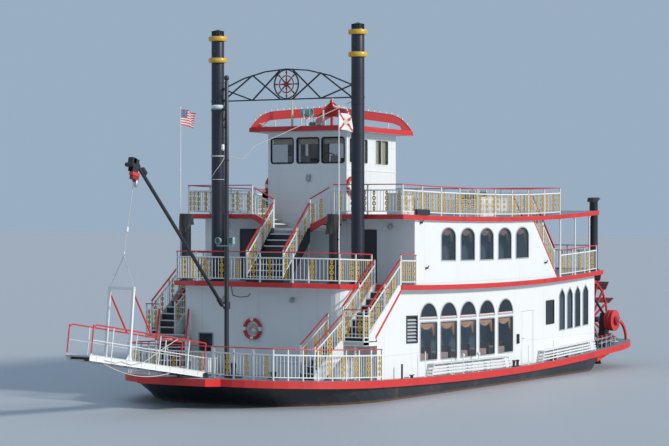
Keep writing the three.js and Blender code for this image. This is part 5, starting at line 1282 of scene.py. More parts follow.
# %% Windows with blinds
PILOT_HALF, PILOT_FRONT, PILOT_AFT = 1.69, 3.16, -0.31
LIGHT_Z, LIGHT_CORNER = (1.88, 2.79), 0.09
FRONT_LIGHTS = ((-1.55, -0.59), (-0.43, 0.52), (0.64, 1.59))
SIDE_LIGHTS = ((1.70, 2.99), (0.24, 1.16))
pilot_front = on_deck_wall(on_front(PILOT_FRONT), ROOF)
glazed("pilot_front", [rounded(y, LIGHT_Z, LIGHT_CORNER) for y in FRONT_LIGHTS], pilot_front, "rubber", "rubber",
       "pilot_glass", slot="gasket")
glazed("pilot_aft", [rounded((-1.25, -0.35), LIGHT_Z, LIGHT_CORNER)], on_deck_wall(on_front(PILOT_AFT, -1), ROOF),
       "rubber", "rubber", "pilot_glass", slot="gasket")
for label, side in SIDES:
    pilot_wall = on_deck_wall(on_side(PILOT_HALF, side), ROOF)
    glazed(f"pilot_side_{label}", [rounded(x, LIGHT_Z, LIGHT_CORNER) for x in SIDE_LIGHTS], pilot_wall, "white",
           "white", "pilot_glass")
    drawn, full_height = Shape(), (LIGHT_Z[0] + 0.02, LIGHT_Z[1] - 0.02)
    for xs in ((0.30, 0.58), (0.80, 1.12), (1.74, 1.98)):
        drawn.plate(rectangle(xs, full_height), pilot_wall, 0.085, 0.090)
    drawn.piece(f"pilot_side_blinds_{label}", "cream", slot="cloth")
    bars = Shape().plate(rectangle((0.685, 0.715), full_height), pilot_wall, 0.002, 0.040)
    bars.piece(f"pilot_window_bar_{label}", "white")
blinds = Shape()
for a, b in FRONT_LIGHTS:
    for margin, low, high, near, far in ((0.05, 0.20, 0.03, 0.085, 0.089), (0.04, 0.225, 0.20, 0.078, 0.096)):
        outline = rectangle((a + margin, b - margin), (LIGHT_Z[1] - low, LIGHT_Z[1] - high))
        blinds.plate(outline, pilot_front, near, far)
blinds.piece("pilot_blinds", "cream", bevel=0.003)

# %% Console, wheel and chairs
FLOOR_UP = 0.88
SCREENS_AT = (-0.9, -0.35, 0.95)
inside = ROOF + FLOOR_UP + GAP
console = Shape()
console.loft([[(2.45, -1.35, inside), (2.98, -1.35, inside), (2.98, 1.35, inside), (2.45, 1.35, inside)],
              [(2.35, -1.40, inside + 0.85), (2.98, -1.40, inside + 1.05), (2.98, 1.40, inside + 1.05),
               (2.35, 1.40, inside + 0.85)]])
for y in SCREENS_AT:
    console.block((2.62, 2.80), about(y, 0.16), (inside + 0.95, inside + 1.28))
console.piece("pilot_console", "grey", bevel=0.015)
screens = Shape()
for y in SCREENS_AT:
    screens.block((2.606, 2.619), about(y, 0.13), (inside + 1.02, inside + 1.25))
screens.piece("pilot_screens", "black", slot="moulded")
hub = Vector((2.22, 0.35, inside + 1.02))
helm = Shape().tube([around(hub, 0.38, a, "X") for a in circle(24)], 0.020, 8, closed=True)
for a in circle(8):
    helm.tube([around(hub, r, a, "X") for r in (0.05, 0.30, 0.40, 0.49)], [0.014, 0.012, 0.012, 0.018], 8)
helm.tube([hub + Vector((x, 0, 0)) for x in (-0.05, 0.14)], 0.055, 12)
helm.piece("helm_wheel", "wood")
chair = Shape()
for y in (0.35, -0.75):
    chair.block((1.45, 1.95), about(y, 0.24), (inside + 0.52, inside + 0.62))
    chair.block((1.40, 1.50), about(y, 0.24), (inside + 0.62, inside + 1.25))
    chair.lathe((1.70, y, inside), [(0.24, 0.0), (0.24, 0.03), (0.04, 0.06), (0.04, 0.53)], 16)
chair.piece("pilot_chairs", "black", bevel=0.02, slot="moulded")

# %% Roof crown: bulbs, stays and finial
ROOF_X, ROOF_HALF, ROOF_TOP = (-0.74, 3.66), 2.19, ROOF + 3.16
CROWN = ((0.01, 0.04), (0.04, 0.17), (0.086, 0.32), (0.15, 0.50), (0.25, 0.615), (0.49, 0.70), (0.81, 0.79),
         (0.89, 0.805), (0.93, 0.88), (0.975, 1.00), (1.0, 1.09))
crown_x = (ROOF_X[0] + ROOF_X[1]) / 2
crown_span = (ROOF_X[1] - crown_x - 0.03, ROOF_HALF - 0.03)


def crown_point(turn, share, height):
    """A point above the crown board that runs from one corner to the middle."""
    return Vector((crown_x + turn[0] * crown_span[0] * (1 - share), turn[1] * crown_span[1] * (1 - share),
                   ROOF_TOP + height))


def crown_height(share):
    for (a, low), (b, high) in zip(CROWN, CROWN[1:]):
        if share <= b:
            return low + (high - low) * (share - a) / (b - a)
    return CROWN[-1][1]


TURNS = ((1, 1), (-1, 1), (-1, -1), (1, -1))
bulbs, caps = [], Shape()
for turn in TURNS:
    line = [crown_point(turn, s, crown_height(s)) for s in (0.012 + 0.978 * i / 80 for i in range(81))]
    reach = 0.0
    for before, after in zip(line, line[1:]):
        reach += (after - before).length
        if reach >= 0.22:
            bulbs.append(after + Vector((0, 0, 0.028)))
            reach = 0.0
    edge = [crown_point(turn, s, crown_height(s) + 0.004) for s in (0.012 + 0.97 * i / 16 for i in range(17))]
    for a, b in zip(edge, edge[1:]):
        caps.beam(a, b, 0.070, 0.012)
caps.piece("crown_cappings", "red")
studs_at("crown_bulbs", bulbs, 0.030, 0.055, UPRIGHT, "white", sides=10)
stays = Shape()
for turn in TURNS:
    for share in (0.30, 0.62):
        stays.lathe(crown_point(turn, share, 0.002), [(0.045, 0.0), (0.045, 0.02), (0.022, 0.03),
                                                      (0.022, crown_height(share) - 0.32)], 12)
stays.piece("crown_stays", "white")
rods = Shape()
for side in (1, -1):
    rods.tube([(3.05, side * 1.55, ROOF_TOP + 0.45), (3.40, side * 1.90, ROOF_TOP + 0.01)], 0.016, 8)
rods.piece("crown_rods", "red")
finial = Shape().lathe((crown_x, 0, ROOF_TOP), [(0.075, 0.0), (0.075, 0.03), (0.056, 0.05), (0.056, 1.05),
                                                (0.085, 1.07), (0.085, 1.09), (0.040, 1.10), (0.03, 1.115)], 20)
finial.piece("crown_post", "red")
Shape().lathe((crown_x, 0, ROOF_TOP), ball(0.064, 1.165, 12), 20).piece("crown_ball", "white")

# %% Searchlight, horns and aerials on the roof
at = Vector((3.0, -0.12, ROOF_TOP))
LAMP_UP, LAMP_R = 0.56, 0.145
lamp_at = at + Vector((0, 0, LAMP_UP))
foot = Shape().lathe(at, [(0.12, 0.001), (0.12, 0.02), (0.05, 0.05), (0.035, 0.10), (0.035, LAMP_UP - 0.24)], 16)
foot.beam(at + Vector((-0.18, 0, LAMP_UP - 0.22)), at + Vector((0.18, 0, LAMP_UP - 0.22)), 0.04)
for end in (1, -1):
    foot.beam(at + Vector((end * 0.18, 0, LAMP_UP - 0.24)), at + Vector((end * 0.18, 0, LAMP_UP + 0.06)), 0.03)
foot.piece("searchlight_yoke", "white", bevel=0.003)
light = Shape().lathe(lamp_at, [(0.08, -0.23), (0.12, -0.19), (LAMP_R, -0.08), (LAMP_R, 0.17),
                                (LAMP_R + 0.014, 0.18), (LAMP_R + 0.014, 0.22), (LAMP_R - 0.01, 0.22),
                                (LAMP_R - 0.02, 0.16)], 28, axis="Y")
light.piece("searchlight", "teal")
lens = Shape().lathe(lamp_at, [(LAMP_R - 0.021, 0.165), (LAMP_R - 0.022, 0.175)], 28, axis="Y")
lens.piece("searchlight_lens", "glass")
horn = Shape()
for y, long in ((0.40, 0.40), (0.24, 0.32)):
    mouth = Vector((3.02, y, ROOF_TOP + 0.11))
    horn.lathe(mouth, [(0.028, -0.30), (0.026, -0.1), (0.030, 0.05), (0.045, long * 0.5), (0.085, long * 0.75),
                       (0.080, long * 0.75), (0.035, long * 0.45)], 20, axis="X")
    horn.block((2.76, 2.82), about(y, 0.03), (ROOF_TOP + 0.001, ROOF_TOP + 0.11))
horn.piece("air_horns", "teal")
aerials = Shape()
for x, y, tall, thick in ((3.0, -0.74, 0.66, 0.045), (3.0, 0.60, 0.64, 0.040)):
    aerials.lathe((x, y, ROOF_TOP), [(0.07, 0.001), (0.07, 0.015), (thick, 0.03), (thick * 0.9, tall - 0.02),
                                     (thick * 0.4, tall)], 14)
aerials.lathe((3.0, -0.74, ROOF_TOP), [(0.030, 0.64), (0.014, 1.40)], 10)
aerials.piece("aerial_poles", "cream")
Shape().tube([(3.40, -1.43, ROOF_TOP + 0.012), (3.40, -2.08, ROOF_TOP + 0.22)], 0.022, 10).piece(
    "roof_rod", "white")
whips = Shape().tube([(0.2, -1.6, ROOF_TOP + 0.002), (0.2, -1.6, ROOF_TOP + 0.9)], [0.014, 0.006], 8)
whips.piece("roof_whips", "wood")

# %% Roof edge, lamp under it, nameless name board and trims
board = Shape().plate(rounded((-1.35, 1.35), (0.42, 0.86), 0.03), pilot_front, -0.012, -0.001)
board.piece("front_board", "white")
lamp = Shape()
lamp.block((PILOT_FRONT + 0.001, PILOT_FRONT + 0.10), (0.02, 0.16), (ROOF + 1.38, ROOF + 1.46))
lamp.lathe((PILOT_FRONT + 0.07, 0.09, ROOF + 1.22), [(0.05, 0.0), (0.085, 0.04), (0.085, 0.15), (0.05, 0.16)], 16)
lamp.piece("wheelhouse_lamp", "grey")
coaming = Shape()
for side in (1, -1):
    coaming.block((PILOT_AFT, PILOT_FRONT - 0.07), beside(PILOT_HALF, side, 0.001, 0.03),
                  (ROOF + 0.001, ROOF + 0.09))
    coaming.block((PILOT_AFT, PILOT_FRONT), beside(PILOT_HALF, side, 0.001, 0.016), (ROOF + 1.62, ROOF + 1.66))
coaming.block((PILOT_FRONT + 0.001, PILOT_FRONT + 0.016), (-PILOT_HALF, PILOT_HALF), (ROOF + 1.62, ROOF + 1.66))
coaming.piece("wheelhouse_mouldings", "white")
gutter = Shape()
ring = [(ROOF_X[0], -ROOF_HALF), (ROOF_X[1], -ROOF_HALF), (ROOF_X[1], ROOF_HALF), (ROOF_X[0], ROOF_HALF)]
gutter.rim(inset(ring, 0.04), inset(ring, 0.065), on_deck(ROOF_TOP), 0.001, 0.035)
gutter.piece("wheelhouse_roof_edge", "red")
print("wheelhouse done")

# %% [markdown]
# ## Trims, lamps and deck gear
# What is left on the decks is a crowd of small fittings. Each is a few turned or sawn parts, so each is one
# short function of its place, and the lists below say where they stand.

# %% Red trims on the sloping wall edges
EDGE = 0.055
for label, side in SIDES:
    trim = Shape()
    for y, level, low, high in ((SIDE_MAIN, MAIN, (5.40, 1.56), (3.90, 3.085)),
                                (SIDE_SALOON, SALOON, (-8.15, 0.002), (-6.10, 2.29))):
        low, high = Vector(low), Vector(high)
        back = EDGE * (high - low).normalized().y * (1 if low.x > high.x else -1)
        near, far = side * (y + 0.001), side * (y + 0.012)
        section = ((0, near, 0), (0, far, 0), (back, far, 0.4 * EDGE), (back, near, 0.4 * EDGE))
        trim.loft([[(p.x - dx, y, level + p.y - dz) for dx, y, dz in section]
                   for p in (low.lerp(high, t) for t in shares(6))])
    trim.piece(f"slope_trims_{label}", "red")
    corner = Shape().block((5.35, 5.402), beside(SIDE_MAIN, side, 0.001, 0.01), (MAIN + GAP, MAIN + 1.56))
    corner.block((3.11, 3.162), beside(SIDE_SALOON, side, 0.001, 0.01), (SALOON + GAP, SALOON + 2.29))
    corner.piece(f"corner_beads_{label}", "white")

# %% Beads along the bands, their bolts, and the joint plate
bolt_turn = {1: -SIDEWAYS, -1: SIDEWAYS}
for label, side in SIDES:
    bead = Shape()
    for level, depth, x0, x1 in ((MAIN, 0.25, -11.95, 5.3), (SALOON, 0.17, -12.05, 4.22),
                                 (ROOF, 0.165, -11.65, 4.15)):
        xs = [x0 + (x1 - x0) * i / 24 for i in range(25)]
        for z in (level - 0.004, level - depth + 0.012):
            bead.tube([(x, side * (HALF_BEAM - 0.011), z) for x in xs], 0.010, 8)
    bead.piece(f"band_beads_{label}", "red")
    plate = Shape().block((5.33, 5.53), beside(HALF_BEAM, side, -0.02, -GAP), (MAIN - 0.235, MAIN - 0.02))
    plate.piece(f"band_joint_plate_{label}", "black")
    bolts = [Vector((-11.6 + 0.61 * i, side * (HALF_BEAM - 0.005), MAIN - 0.125)) for i in range(28)]
    studs_at(f"band_bolts_{label}", bolts, 0.018, 0.008, bolt_turn[side], "red")

# %% Fittings as short functions
def declare_line(name, path, radius, body="ship"):
    """A free rope or wire along path. Its length is worked out, but nothing uses it."""
    path = [Vector(p) for p in path]
    length = sum((b - a).length for a, b in zip(path, path[1:]))
    obj = Shape().tube(path, radius, 8).piece(name, "rope", body, lift=False)
    tuple(path[0])
    [tuple(p) for p in path]


def life_ring(name, centre, facing, wall_axis, radius=0.33):
    """A ring on a wall: four white bands round a red torus."""
    centre = Vector(centre)
    out = Vector((facing, 0, 0)) if wall_axis == "X" else Vector((0, facing, 0))
    across = Vector((0, 1, 0)) if wall_axis == "X" else Vector((1, 0, 0))
    ring, arcs = Shape(), 32
    for k in range(arcs):
        path = [centre + out * 0.07 + (across * math.cos(a) + Vector((0, 0, math.sin(a)))) * radius
                for a in (2 * math.pi * k / arcs, 2 * math.pi * (k + 1) / arcs)]
        ring.tube(path, 0.062, 12, 1 if k % 8 in (0, 7) else 0)
    return ring.piece(name, "red white")


def rope_coil(name, wall, y, z):
    """A line wound flat against the wall at x = wall, each turn just outside the last."""
    turns, steps, thick, inner, pitch = 3, 24, 0.018, 0.085, 0.038
    x = wall + thick + 0.003
    path = [around((x, y, z + sheer(x)), inner + pitch * k / steps, 2 * math.pi * k / steps, "X")
            for k in range(turns * steps + 1)]
    declare_line(name, path, thick)


def bulkhead_lamp(shape, place):
    x, y, z = place
    shape.block((x + 0.001, x + 0.05), about(y, 0.07), about(z, 0.05))
    shape.lathe((x + 0.11, y, z - 0.06), [(0.03, -0.10), (0.075, -0.06), (0.085, 0.02), (0.06, 0.06),
                                                   (0.02, 0.075)], 16)


def bollard(shape, x, y):
    for post_x in about(x, 0.15):
        shape.lathe((post_x, y, MAIN), [(0.06, 0.022), (0.055, 0.03), (0.055, 0.20), (0.075, 0.21), (0.075, 0.235),
                                         (0.05, 0.25)], 16)
    shape.block(about(x, 0.25), about(y, 0.08), (MAIN + GAP, MAIN + 0.025))


def horn_cleat(shape, x, y):
    shape.block(about(x, 0.05), about(y, 0.035), (MAIN + GAP, MAIN + 0.09))
    shape.tube([(x + t * 0.17, y, MAIN + 0.085 + 0.03 * t * t) for t in (-1, -0.6, 0, 0.6, 1)],
               [0.014, 0.022, 0.03, 0.022, 0.014], 10)


def post(shape, x, y, tall, knob):
    top = [(0.055, 0.03), (0.065, 0.07), (0.05, 0.12), (0.01, 0.14)] if knob else [(0.0112, 0.012)]
    shape.lathe((x, y, MAIN), [(0.05, 0.002), (0.05, 0.012), (0.016, 0.02), (0.016, tall)]
                + [(radius, tall + up) for radius, up in top], 12)


BENCH_UP, BENCH_INNER, BENCH_OUTER, SPLAY = 0.45, 4.335, 4.60, 0.17


def bench(name, x0, x1, side):
    """A low slatted bench along the deck's edge, with splayed ends and three slats down its outer face."""
    slats, frame_parts = Shape(), Shape()
    seat = MAIN + BENCH_UP
    for k in range(3):
        outer = BENCH_OUTER - 0.091 * k
        slats.block((x0, x1), beside(outer, side, -0.078, 0), (seat - 0.024, seat))
        low = 0.08 + 0.11 * k
        grown = SPLAY * (1 - low / BENCH_UP)
        slats.block((x0 - grown, x1 + grown), beside(BENCH_OUTER, side, -0.024, -0.004),
                    (MAIN + low, MAIN + low + 0.055))
    count = max(2, round((x1 - x0) / 1.3) + 1)
    for i in range(count):
        x = x0 + 0.04 + (x1 - x0 - 0.08) * i / (count - 1)
        spread = -SPLAY if i == 0 else SPLAY if i == count - 1 else 0.0
        for y in (BENCH_OUTER - 0.042, BENCH_INNER + 0.02):
            frame_parts.beam((x + spread, side * y, MAIN + GAP), (x, side * y, seat - 0.025), 0.034)
        frame_parts.beam(*((x, side * y, seat - 0.042) for y in (BENCH_OUTER - 0.03, BENCH_INNER)), 0.034)
    slats.piece(f"{name}_slats", "white", bevel=0.004)
    frame_parts.piece(f"{name}_frames", "white")


# %% Where they stand
life_ring("front_life_ring", (6.251, -0.24, MAIN + 1.625), 1, "X")
rope_coil("front_rope_coil", 6.25, -0.24, MAIN + 1.625)
Shape().beam((6.251, -0.24, MAIN + 1.665), (6.33, -0.24, MAIN + 1.685), 0.022).piece("coil_peg", "steel")
life_ring("pilot_life_ring_port", (2.86, PILOT_HALF + 0.001, ROOF + 1.05), 1, "Y", 0.30)
life_ring("pilot_life_ring_starboard", (2.86, -PILOT_HALF - 0.001, ROOF + 1.05), -1, "Y", 0.30)
life_ring("aft_life_ring", (-11.57, 0.0, SALOON + 0.75), -1, "X", 0.28)

lamps = Shape()
for y in (-1.42, 1.42):
    bulkhead_lamp(lamps, (6.251, y, MAIN + 2.72))
for y in (-3.55, 3.55):
    bulkhead_lamp(lamps, (3.161, y, SALOON + 2.10))
lamps.piece("wall_lamps", "grey")
for label, side in SIDES:
    fixtures, sockets = Shape(), Shape()
    for x, z in ((2.35, SALOON + 0.60), (-7.05, SALOON + 0.62), (2.75, SALOON + 2.20)):
        fixtures.block(about(x, 0.05), beside(SIDE_SALOON, side, 0.001, 0.08), about(z, 0.03))
        start, end = (side * (SIDE_SALOON + out) for out in (0.05, 0.10))
        fixtures.tube([(x, start, z), (x - 0.06, end, z + 0.09)], 0.018, 8)
    fixtures.piece(f"side_fixtures_{label}", "black", slot="moulded")
    sockets.block((-5.16, -5.02), beside(SIDE_MAIN, side, 0.001, 0.06), (MAIN + 0.84, MAIN + 1.21))
    sockets.piece(f"socket_box_{label}", "black", bevel=0.004, slot="machine_steel")
    faces = Shape()
    for k in range(3):
        faces.lathe((-5.09, side * (SIDE_MAIN + 0.061), MAIN + 0.91 + 0.115 * k),
                    [(0.045, 0.0), (0.045, side * 0.02), (0.028, side * 0.022)], 14, axis="Y")
    faces.piece(f"socket_faces_{label}", "rubber", slot="moulded")
    sills = Shape()
    for x in MAIN_XS:
        sills.block(about(x, 0.585), beside(SIDE_MAIN, side, -0.011, -0.004), (MAIN + 2.065, MAIN + 2.115))
    sills.piece(f"light_sills_{label}", "linen", slot="moulded")

    bench(f"bench_fore_{label}", -3.9, 1.9, side)
    bench(f"bench_aft_{label}", -11.4, -6.85, side)
    gear = Shape()
    for x in (-7.85, -4.65):
        bollard(gear, x, side * 4.46)
    bollard(gear, 8.6, side * 2.15)
    for x in (3.35, -9.0):
        horn_cleat(gear, x, side * 4.50)
    gear.piece(f"bollards_{label}", "black")
    posts = Shape()
    for x, tall, knob in ((2.55, 0.90, False), (0.64, 0.62, False), (-0.23, 0.60, True), (-1.41, 0.60, True),
                          (-5.45, 0.75, False), (-7.60, 0.80, False)):
        post(posts, x, side * 4.595, tall, knob)
    posts.piece(f"side_posts_{label}", "white")
    Shape().block((4.18, 4.24), beside(HALF_BEAM, side, -0.07, -0.02), (MAIN + GAP, MAIN + 0.52)).piece(
        f"black_post_{label}", "black", bevel=0.006)

# %% Foredeck gear
winch = Shape()
for y in (-0.95, 0.95):
    winch.block((8.95, 9.45), about(y, 0.20), (MAIN + GAP, MAIN + 0.10))
    winch.lathe((9.20, y, MAIN + 0.10), [(0.16, 0.0), (0.16, 0.04), (0.09, 0.08), (0.075, 0.20), (0.12, 0.34),
                                         (0.12, 0.38), (0.05, 0.42)], 20)
winch.piece("fore_capstans", "black", bevel=0.006)
lockers = Shape()
for y in (-1.9, 1.9):
    lockers.block((6.75, 7.25), about(y, 0.42), (MAIN + GAP, MAIN + 0.52))
    lockers.block((6.72, 7.28), about(y, 0.45), (MAIN + 0.52, MAIN + 0.57))
lockers.piece("deck_lockers", "white", bevel=0.012)
hatch = Shape().block((7.7, 8.3), (-0.95, -0.35), (MAIN + GAP, MAIN + 0.06))
hatch.piece("deck_hatch", "grey", bevel=0.008, slot="deck_paint")

# %% Roof deck: boxes, stacked chairs and a speaker
boxes, stacks_of_chairs = Shape(), Shape()
for x, y, w, d, h in ((2.6, 3.6, 0.9, 0.6, 0.75), (-1.6, 0.0, 1.2, 1.6, 0.85), (-4.2, -2.9, 0.9, 0.7, 0.8),
                      (-4.6, 2.9, 1.1, 0.7, 0.72), (-9.6, 0.0, 1.1, 2.4, 0.55)):
    boxes.block((x - w / 2, x + w / 2), (y - d / 2, y + d / 2), (ROOF + GAP, ROOF + h))
    boxes.block((x - w / 2 - 0.03, x + w / 2 + 0.03), (y - d / 2 - 0.03, y + d / 2 + 0.03),
                (ROOF + h, ROOF + h + 0.04))
boxes.piece("roof_deck_boxes", "white", bevel=0.01)
for x, y in ((-2.4, 3.3), (-3.0, 3.3), (-6.1, 1.8), (-6.7, 1.8), (0.9, -3.4), (0.3, -3.4)):
    for k in range(5):
        z = ROOF + 0.30 + 0.085 * k
        stacks_of_chairs.block(about(x, 0.20), about(y, 0.21), (z, z + 0.022))
        stacks_of_chairs.block((x - 0.22, x - 0.18), about(y, 0.20), (z + 0.022, z + 0.36))
    for dx in (-0.19, 0.19):
        for dy in (-0.19, 0.19):
            stacks_of_chairs.block(about(x + dx, 0.014), about(y + dy, 0.014),
                                   (ROOF + GAP, ROOF + 0.64))
stacks_of_chairs.piece("stacked_chairs", "white", bevel=0.004, slot="moulded")
speaker = Shape().block((2.42, 3.32), (4.605, 4.72), (ROOF + 0.015, ROOF + 0.21))
speaker.block((2.55, 2.60), (4.56, 4.61), (ROOF + 0.05, ROOF + 0.09))
speaker.block((3.14, 3.19), (4.56, 4.61), (ROOF + 0.05, ROOF + 0.09))
speaker.piece("roof_speaker", "black", bevel=0.02, slot="moulded")
print("deck gear done")

# %% [markdown]
# ## Chimneys, stacks and mast
# The solid model draws these as many-sided prisms. Here each is turned smooth, with the joints between its
# plate rings, a gold band where the real ones flare, and a slotted cap that the smoke leaves through.

# %% The two tall chimneys
CHIMNEY_X, CHIMNEY_Y, CHIMNEY_R, CHIMNEY_RING_R = 4.51, 2.99, 0.232, 0.34
RING_MIDDLES, RING_HALF, CHIMNEY_TOP = (8.03, 8.815), 0.092, 9.08
chimney_base = SALOON + sheer(CHIMNEY_X + CHIMNEY_R)
for label, side in SIDES:
    foot = (CHIMNEY_X, side * CHIMNEY_Y, chimney_base)
    pipe = [(0.31, 0.001), (0.31, 0.03), (0.26, 0.05), (CHIMNEY_R, 0.06)]
    for z in (1.3, 2.6, 3.9, 5.2, 6.3, 7.2):
        pipe += band(CHIMNEY_R, 0.006, z - 0.02, z + 0.02)
    pipe += [(CHIMNEY_R, CHIMNEY_TOP - 0.19), (CHIMNEY_R - 0.01, CHIMNEY_TOP - 0.15)]
    Shape().lathe(foot, pipe, 40).piece(f"chimney_pipe_{label}", "navy", lift=False, replaces=(f"chimney_{label}",))
    rings, cap = Shape(), Shape()
    for middle in RING_MIDDLES:
        low, high = middle - RING_HALF, middle + RING_HALF
        rings.lathe(foot, [(CHIMNEY_R + 0.001, low), (CHIMNEY_RING_R - 0.02, low + 0.01),
                           (CHIMNEY_RING_R, low + 0.05), (CHIMNEY_RING_R, high - 0.05),
                           (CHIMNEY_RING_R - 0.02, high - 0.01), (CHIMNEY_R + 0.001, high)], 40)
    rings.piece(f"chimney_rings_{label}", "gold", lift=False)
    cap.lathe(foot, [(0.20, CHIMNEY_TOP - 0.155), (0.205, CHIMNEY_TOP - 0.01), (0.23, CHIMNEY_TOP),
                     (0.23, CHIMNEY_TOP + 0.012), (0.10, CHIMNEY_TOP + 0.045), (0.012, CHIMNEY_TOP + 0.078)], 40)
    for a in circle(16):
        cap.beam(*(around(foot, 0.218, a, "Z", z) for z in (CHIMNEY_TOP - 0.15, CHIMNEY_TOP)), 0.018)
    cap.piece(f"chimney_cap_{label}", "black", lift=False, slot="machine_steel")
    clamp = Shape().lathe(foot, band(CHIMNEY_R + 0.001, 0.011, 6.50, 6.58), 40)
    clamp.block((CHIMNEY_X + 0.20, CHIMNEY_X + 0.29), about(foot[1], 0.05),
                (chimney_base + 8.28, chimney_base + 8.44))
    clamp.piece(f"chimney_clamps_{label}", "black", lift=False)

# %% A plain wheel ornament in the arch's ring
ARCH_Z = 7.08
arch = Vector((CHIMNEY_X, 0.0, chimney_base + ARCH_Z))
ornament = Shape().tube([around(arch, 0.30, a, "X") for a in circle(40)], 0.020, 8, closed=True)
for a in circle(8):
    ornament.tube([around(arch, r, a, "X") for r in (0.05, 0.16, 0.28, 0.34, 0.42, 0.50)],
                  [0.022, 0.030, 0.016, 0.016, 0.034, 0.012], 8)
ornament.lathe(arch, [(0.02, -0.05), (0.09, -0.035), (0.09, 0.035), (0.02, 0.05)], 24, axis="X")
ornament.piece("arch_ornament", "wheel_red", lift=False, slot="red_paint")

# %% Small stacks, their covers and the flagpoles
STACK_R, STACK_CAP = 0.172, 0.222
COVER_TOP = 0.34  # the share of a cover that lies on its cap
POLE_X, POLE_Y, POLE_TALL = 6.33, 3.345, {1: 5.88, -1: 6.16}  # the port pole is the shorter one


def stack_cover(name, x, y, height, pole):
    """A cloth tied over a stack's cap, which hangs in pleats and is pushed in by the flagpole beside it."""
    rows, hang, slack_out = (12, 0.52, 0.020) if pole else (6, 0.13, 0.012)
    pole_way = math.atan2(POLE_Y - abs(y), POLE_X - x) * (1 if y > 0 else -1)
    rings = []
    for share in shares(rows):
        inner, over = min(1.0, share / COVER_TOP), max(0.0, (share - COVER_TOP) / (1 - COVER_TOP))
        ring = []
        for a in circle(48):
            radius = (STACK_CAP + slack_out) * inner
            if over > 0:
                pleat = ((0.006 + 0.030 * over) * math.sin(6 * a + 1.3 * y)
                         + (0.004 + 0.012 * over) * math.sin(13 * a + 4 * over))
                pushed_in = 0.05 * over * math.exp(-((a - pole_way) % (2 * math.pi) / 0.5) ** 2) * pole
                radius += abs(pleat) - pushed_in
            drop = hang * over * (1 + 0.38 * math.sin(a + 2.2) + 0.10 * math.sin(3 * a))
            wave = 0.014 * math.sin(3 * a + y) * math.sin(math.pi * inner)
            radius = max(0.004, radius)
            ring.append((x + radius * math.cos(a), y + radius * math.sin(a), SALOON + height - 0.012 + wave - drop))
        rings.append(ring)
    cover = Shape().loft(rings, ends=False).piece(f"{name}_cover", "tarpaulin")


def stack(name, node, x, y, height, pole=False):
    """A stack and its cover; a fore one also carries a flagpole on two brackets."""
    foot = (x, y, SALOON)
    turned = Shape().lathe(foot, [(0.25, 0.001), (0.25, 0.025), (STACK_R, 0.045), (STACK_R, height - 0.19),
                                  (STACK_CAP, height - 0.12), (STACK_CAP - 0.01, height - 0.035),
                                  (STACK_R, height - 0.03)], 32)
    for z in (0.9, 1.7):
        turned.lathe(foot, band(STACK_R, 0.008, z - 0.015, z + 0.015), 32)
    if pole:
        label, side = SIDES[0] if y > 0 else SIDES[1]
        tall = POLE_TALL[side]
        staff = Shape().lathe((POLE_X, side * POLE_Y, SALOON), [
            (0.024, 0.001), (0.022, 2.5), (0.018, tall), (0.021, tall + 0.005), (0.021, tall + 0.05),
            (0.010, tall + 0.068)], 14)
        staff.piece(f"flagpole_{label}", "white")
        for z in (0.60, 1.50):
            turned.block(about(POLE_X, 0.025), (y, side * (POLE_Y + 0.015)), (SALOON + z, SALOON + z + 0.05))
    turned.piece(name, "black", replaces=(node,))
    stack_cover(name, x, y, height, pole)


# The covers' dark cloth is lighter in random patches.
MATERIALS["tarpaulin"] = cloth("dark_tarpaulin", (0.040, 0.036, 0.034), (0.10, 0.08, 0.07), 300.0)
for label, side in SIDES:
    stack(f"fore_stack_turned_{label}", f"fore_stack_{label}", 6.29, side * 3.12, 2.40, pole=True)
    stack(f"aft_stack_turned_{label}", f"aft_stack_{label}", -11.895, side * 4.30, 3.00)

# %% Mast, its lamps and the radar dome
MAST_X, MAST_TOP = 8.24, 12.02
mast_foot = MAIN + sheer(MAST_X + 0.19) + 0.001
pole = Shape().lathe((MAST_X, 0, 0), [
    (0.185, mast_foot), (0.185, mast_foot + 0.035), (0.10, mast_foot + 0.06), (0.080, mast_foot + 0.30), (0.080, 4.10),
    (0.128, 4.112), (0.128, 4.149), (0.078, 4.149), (0.078, 4.36), (0.080, 8.0), (0.066, 11.90), (0.05, 11.93)], 28)
for z in (5.6, 7.4, 9.2):
    pole.lathe((MAST_X, 0, z), band(0.080, 0.012, -0.03, 0.03), 28)
pole.lathe((MAST_X, 0, MAST_TOP), ball(0.093, 0.0, 10), 20)
pole.block(about(MAST_X, 0.05), (-0.62, -0.06), (10.90, 10.94))
pole.piece("mast_pole", "black", lift=False, replaces=("mast",))
for name, paint, profile in (
        ("radar_dome", "white", [(0.20, 0.056), (0.245, 0.06), (0.25, 0.13), (0.235, 0.15), (0.15, 0.165),
                                 (0.04, 0.17)]),
        ("radar_base", "teal", [(0.17, 0.001), (0.225, 0.02), (0.235, 0.055)])):
    Shape().lathe((MAST_X, -0.34, 10.94), profile, 32).piece(name, paint, lift=False)
for name, z, reach, paint in (("masthead_lamp", 9.66, 0.13, "white"), ("upper_lantern", 10.42, 0.11, "black"),
                              ("lower_lantern", 10.68, 0.11, "black")):
    lantern = Shape().lathe((MAST_X + reach, -0.06, z), [
        (0.03, -0.10), (0.055, -0.09), (0.055, 0.05), (0.042, 0.08), (0.01, 0.09)], 16)
    lantern.block((MAST_X + 0.05, MAST_X + reach + 0.01), (-0.08, -0.04), (z - 0.125, z - 0.10))
    lantern.piece(name, paint, lift=False)

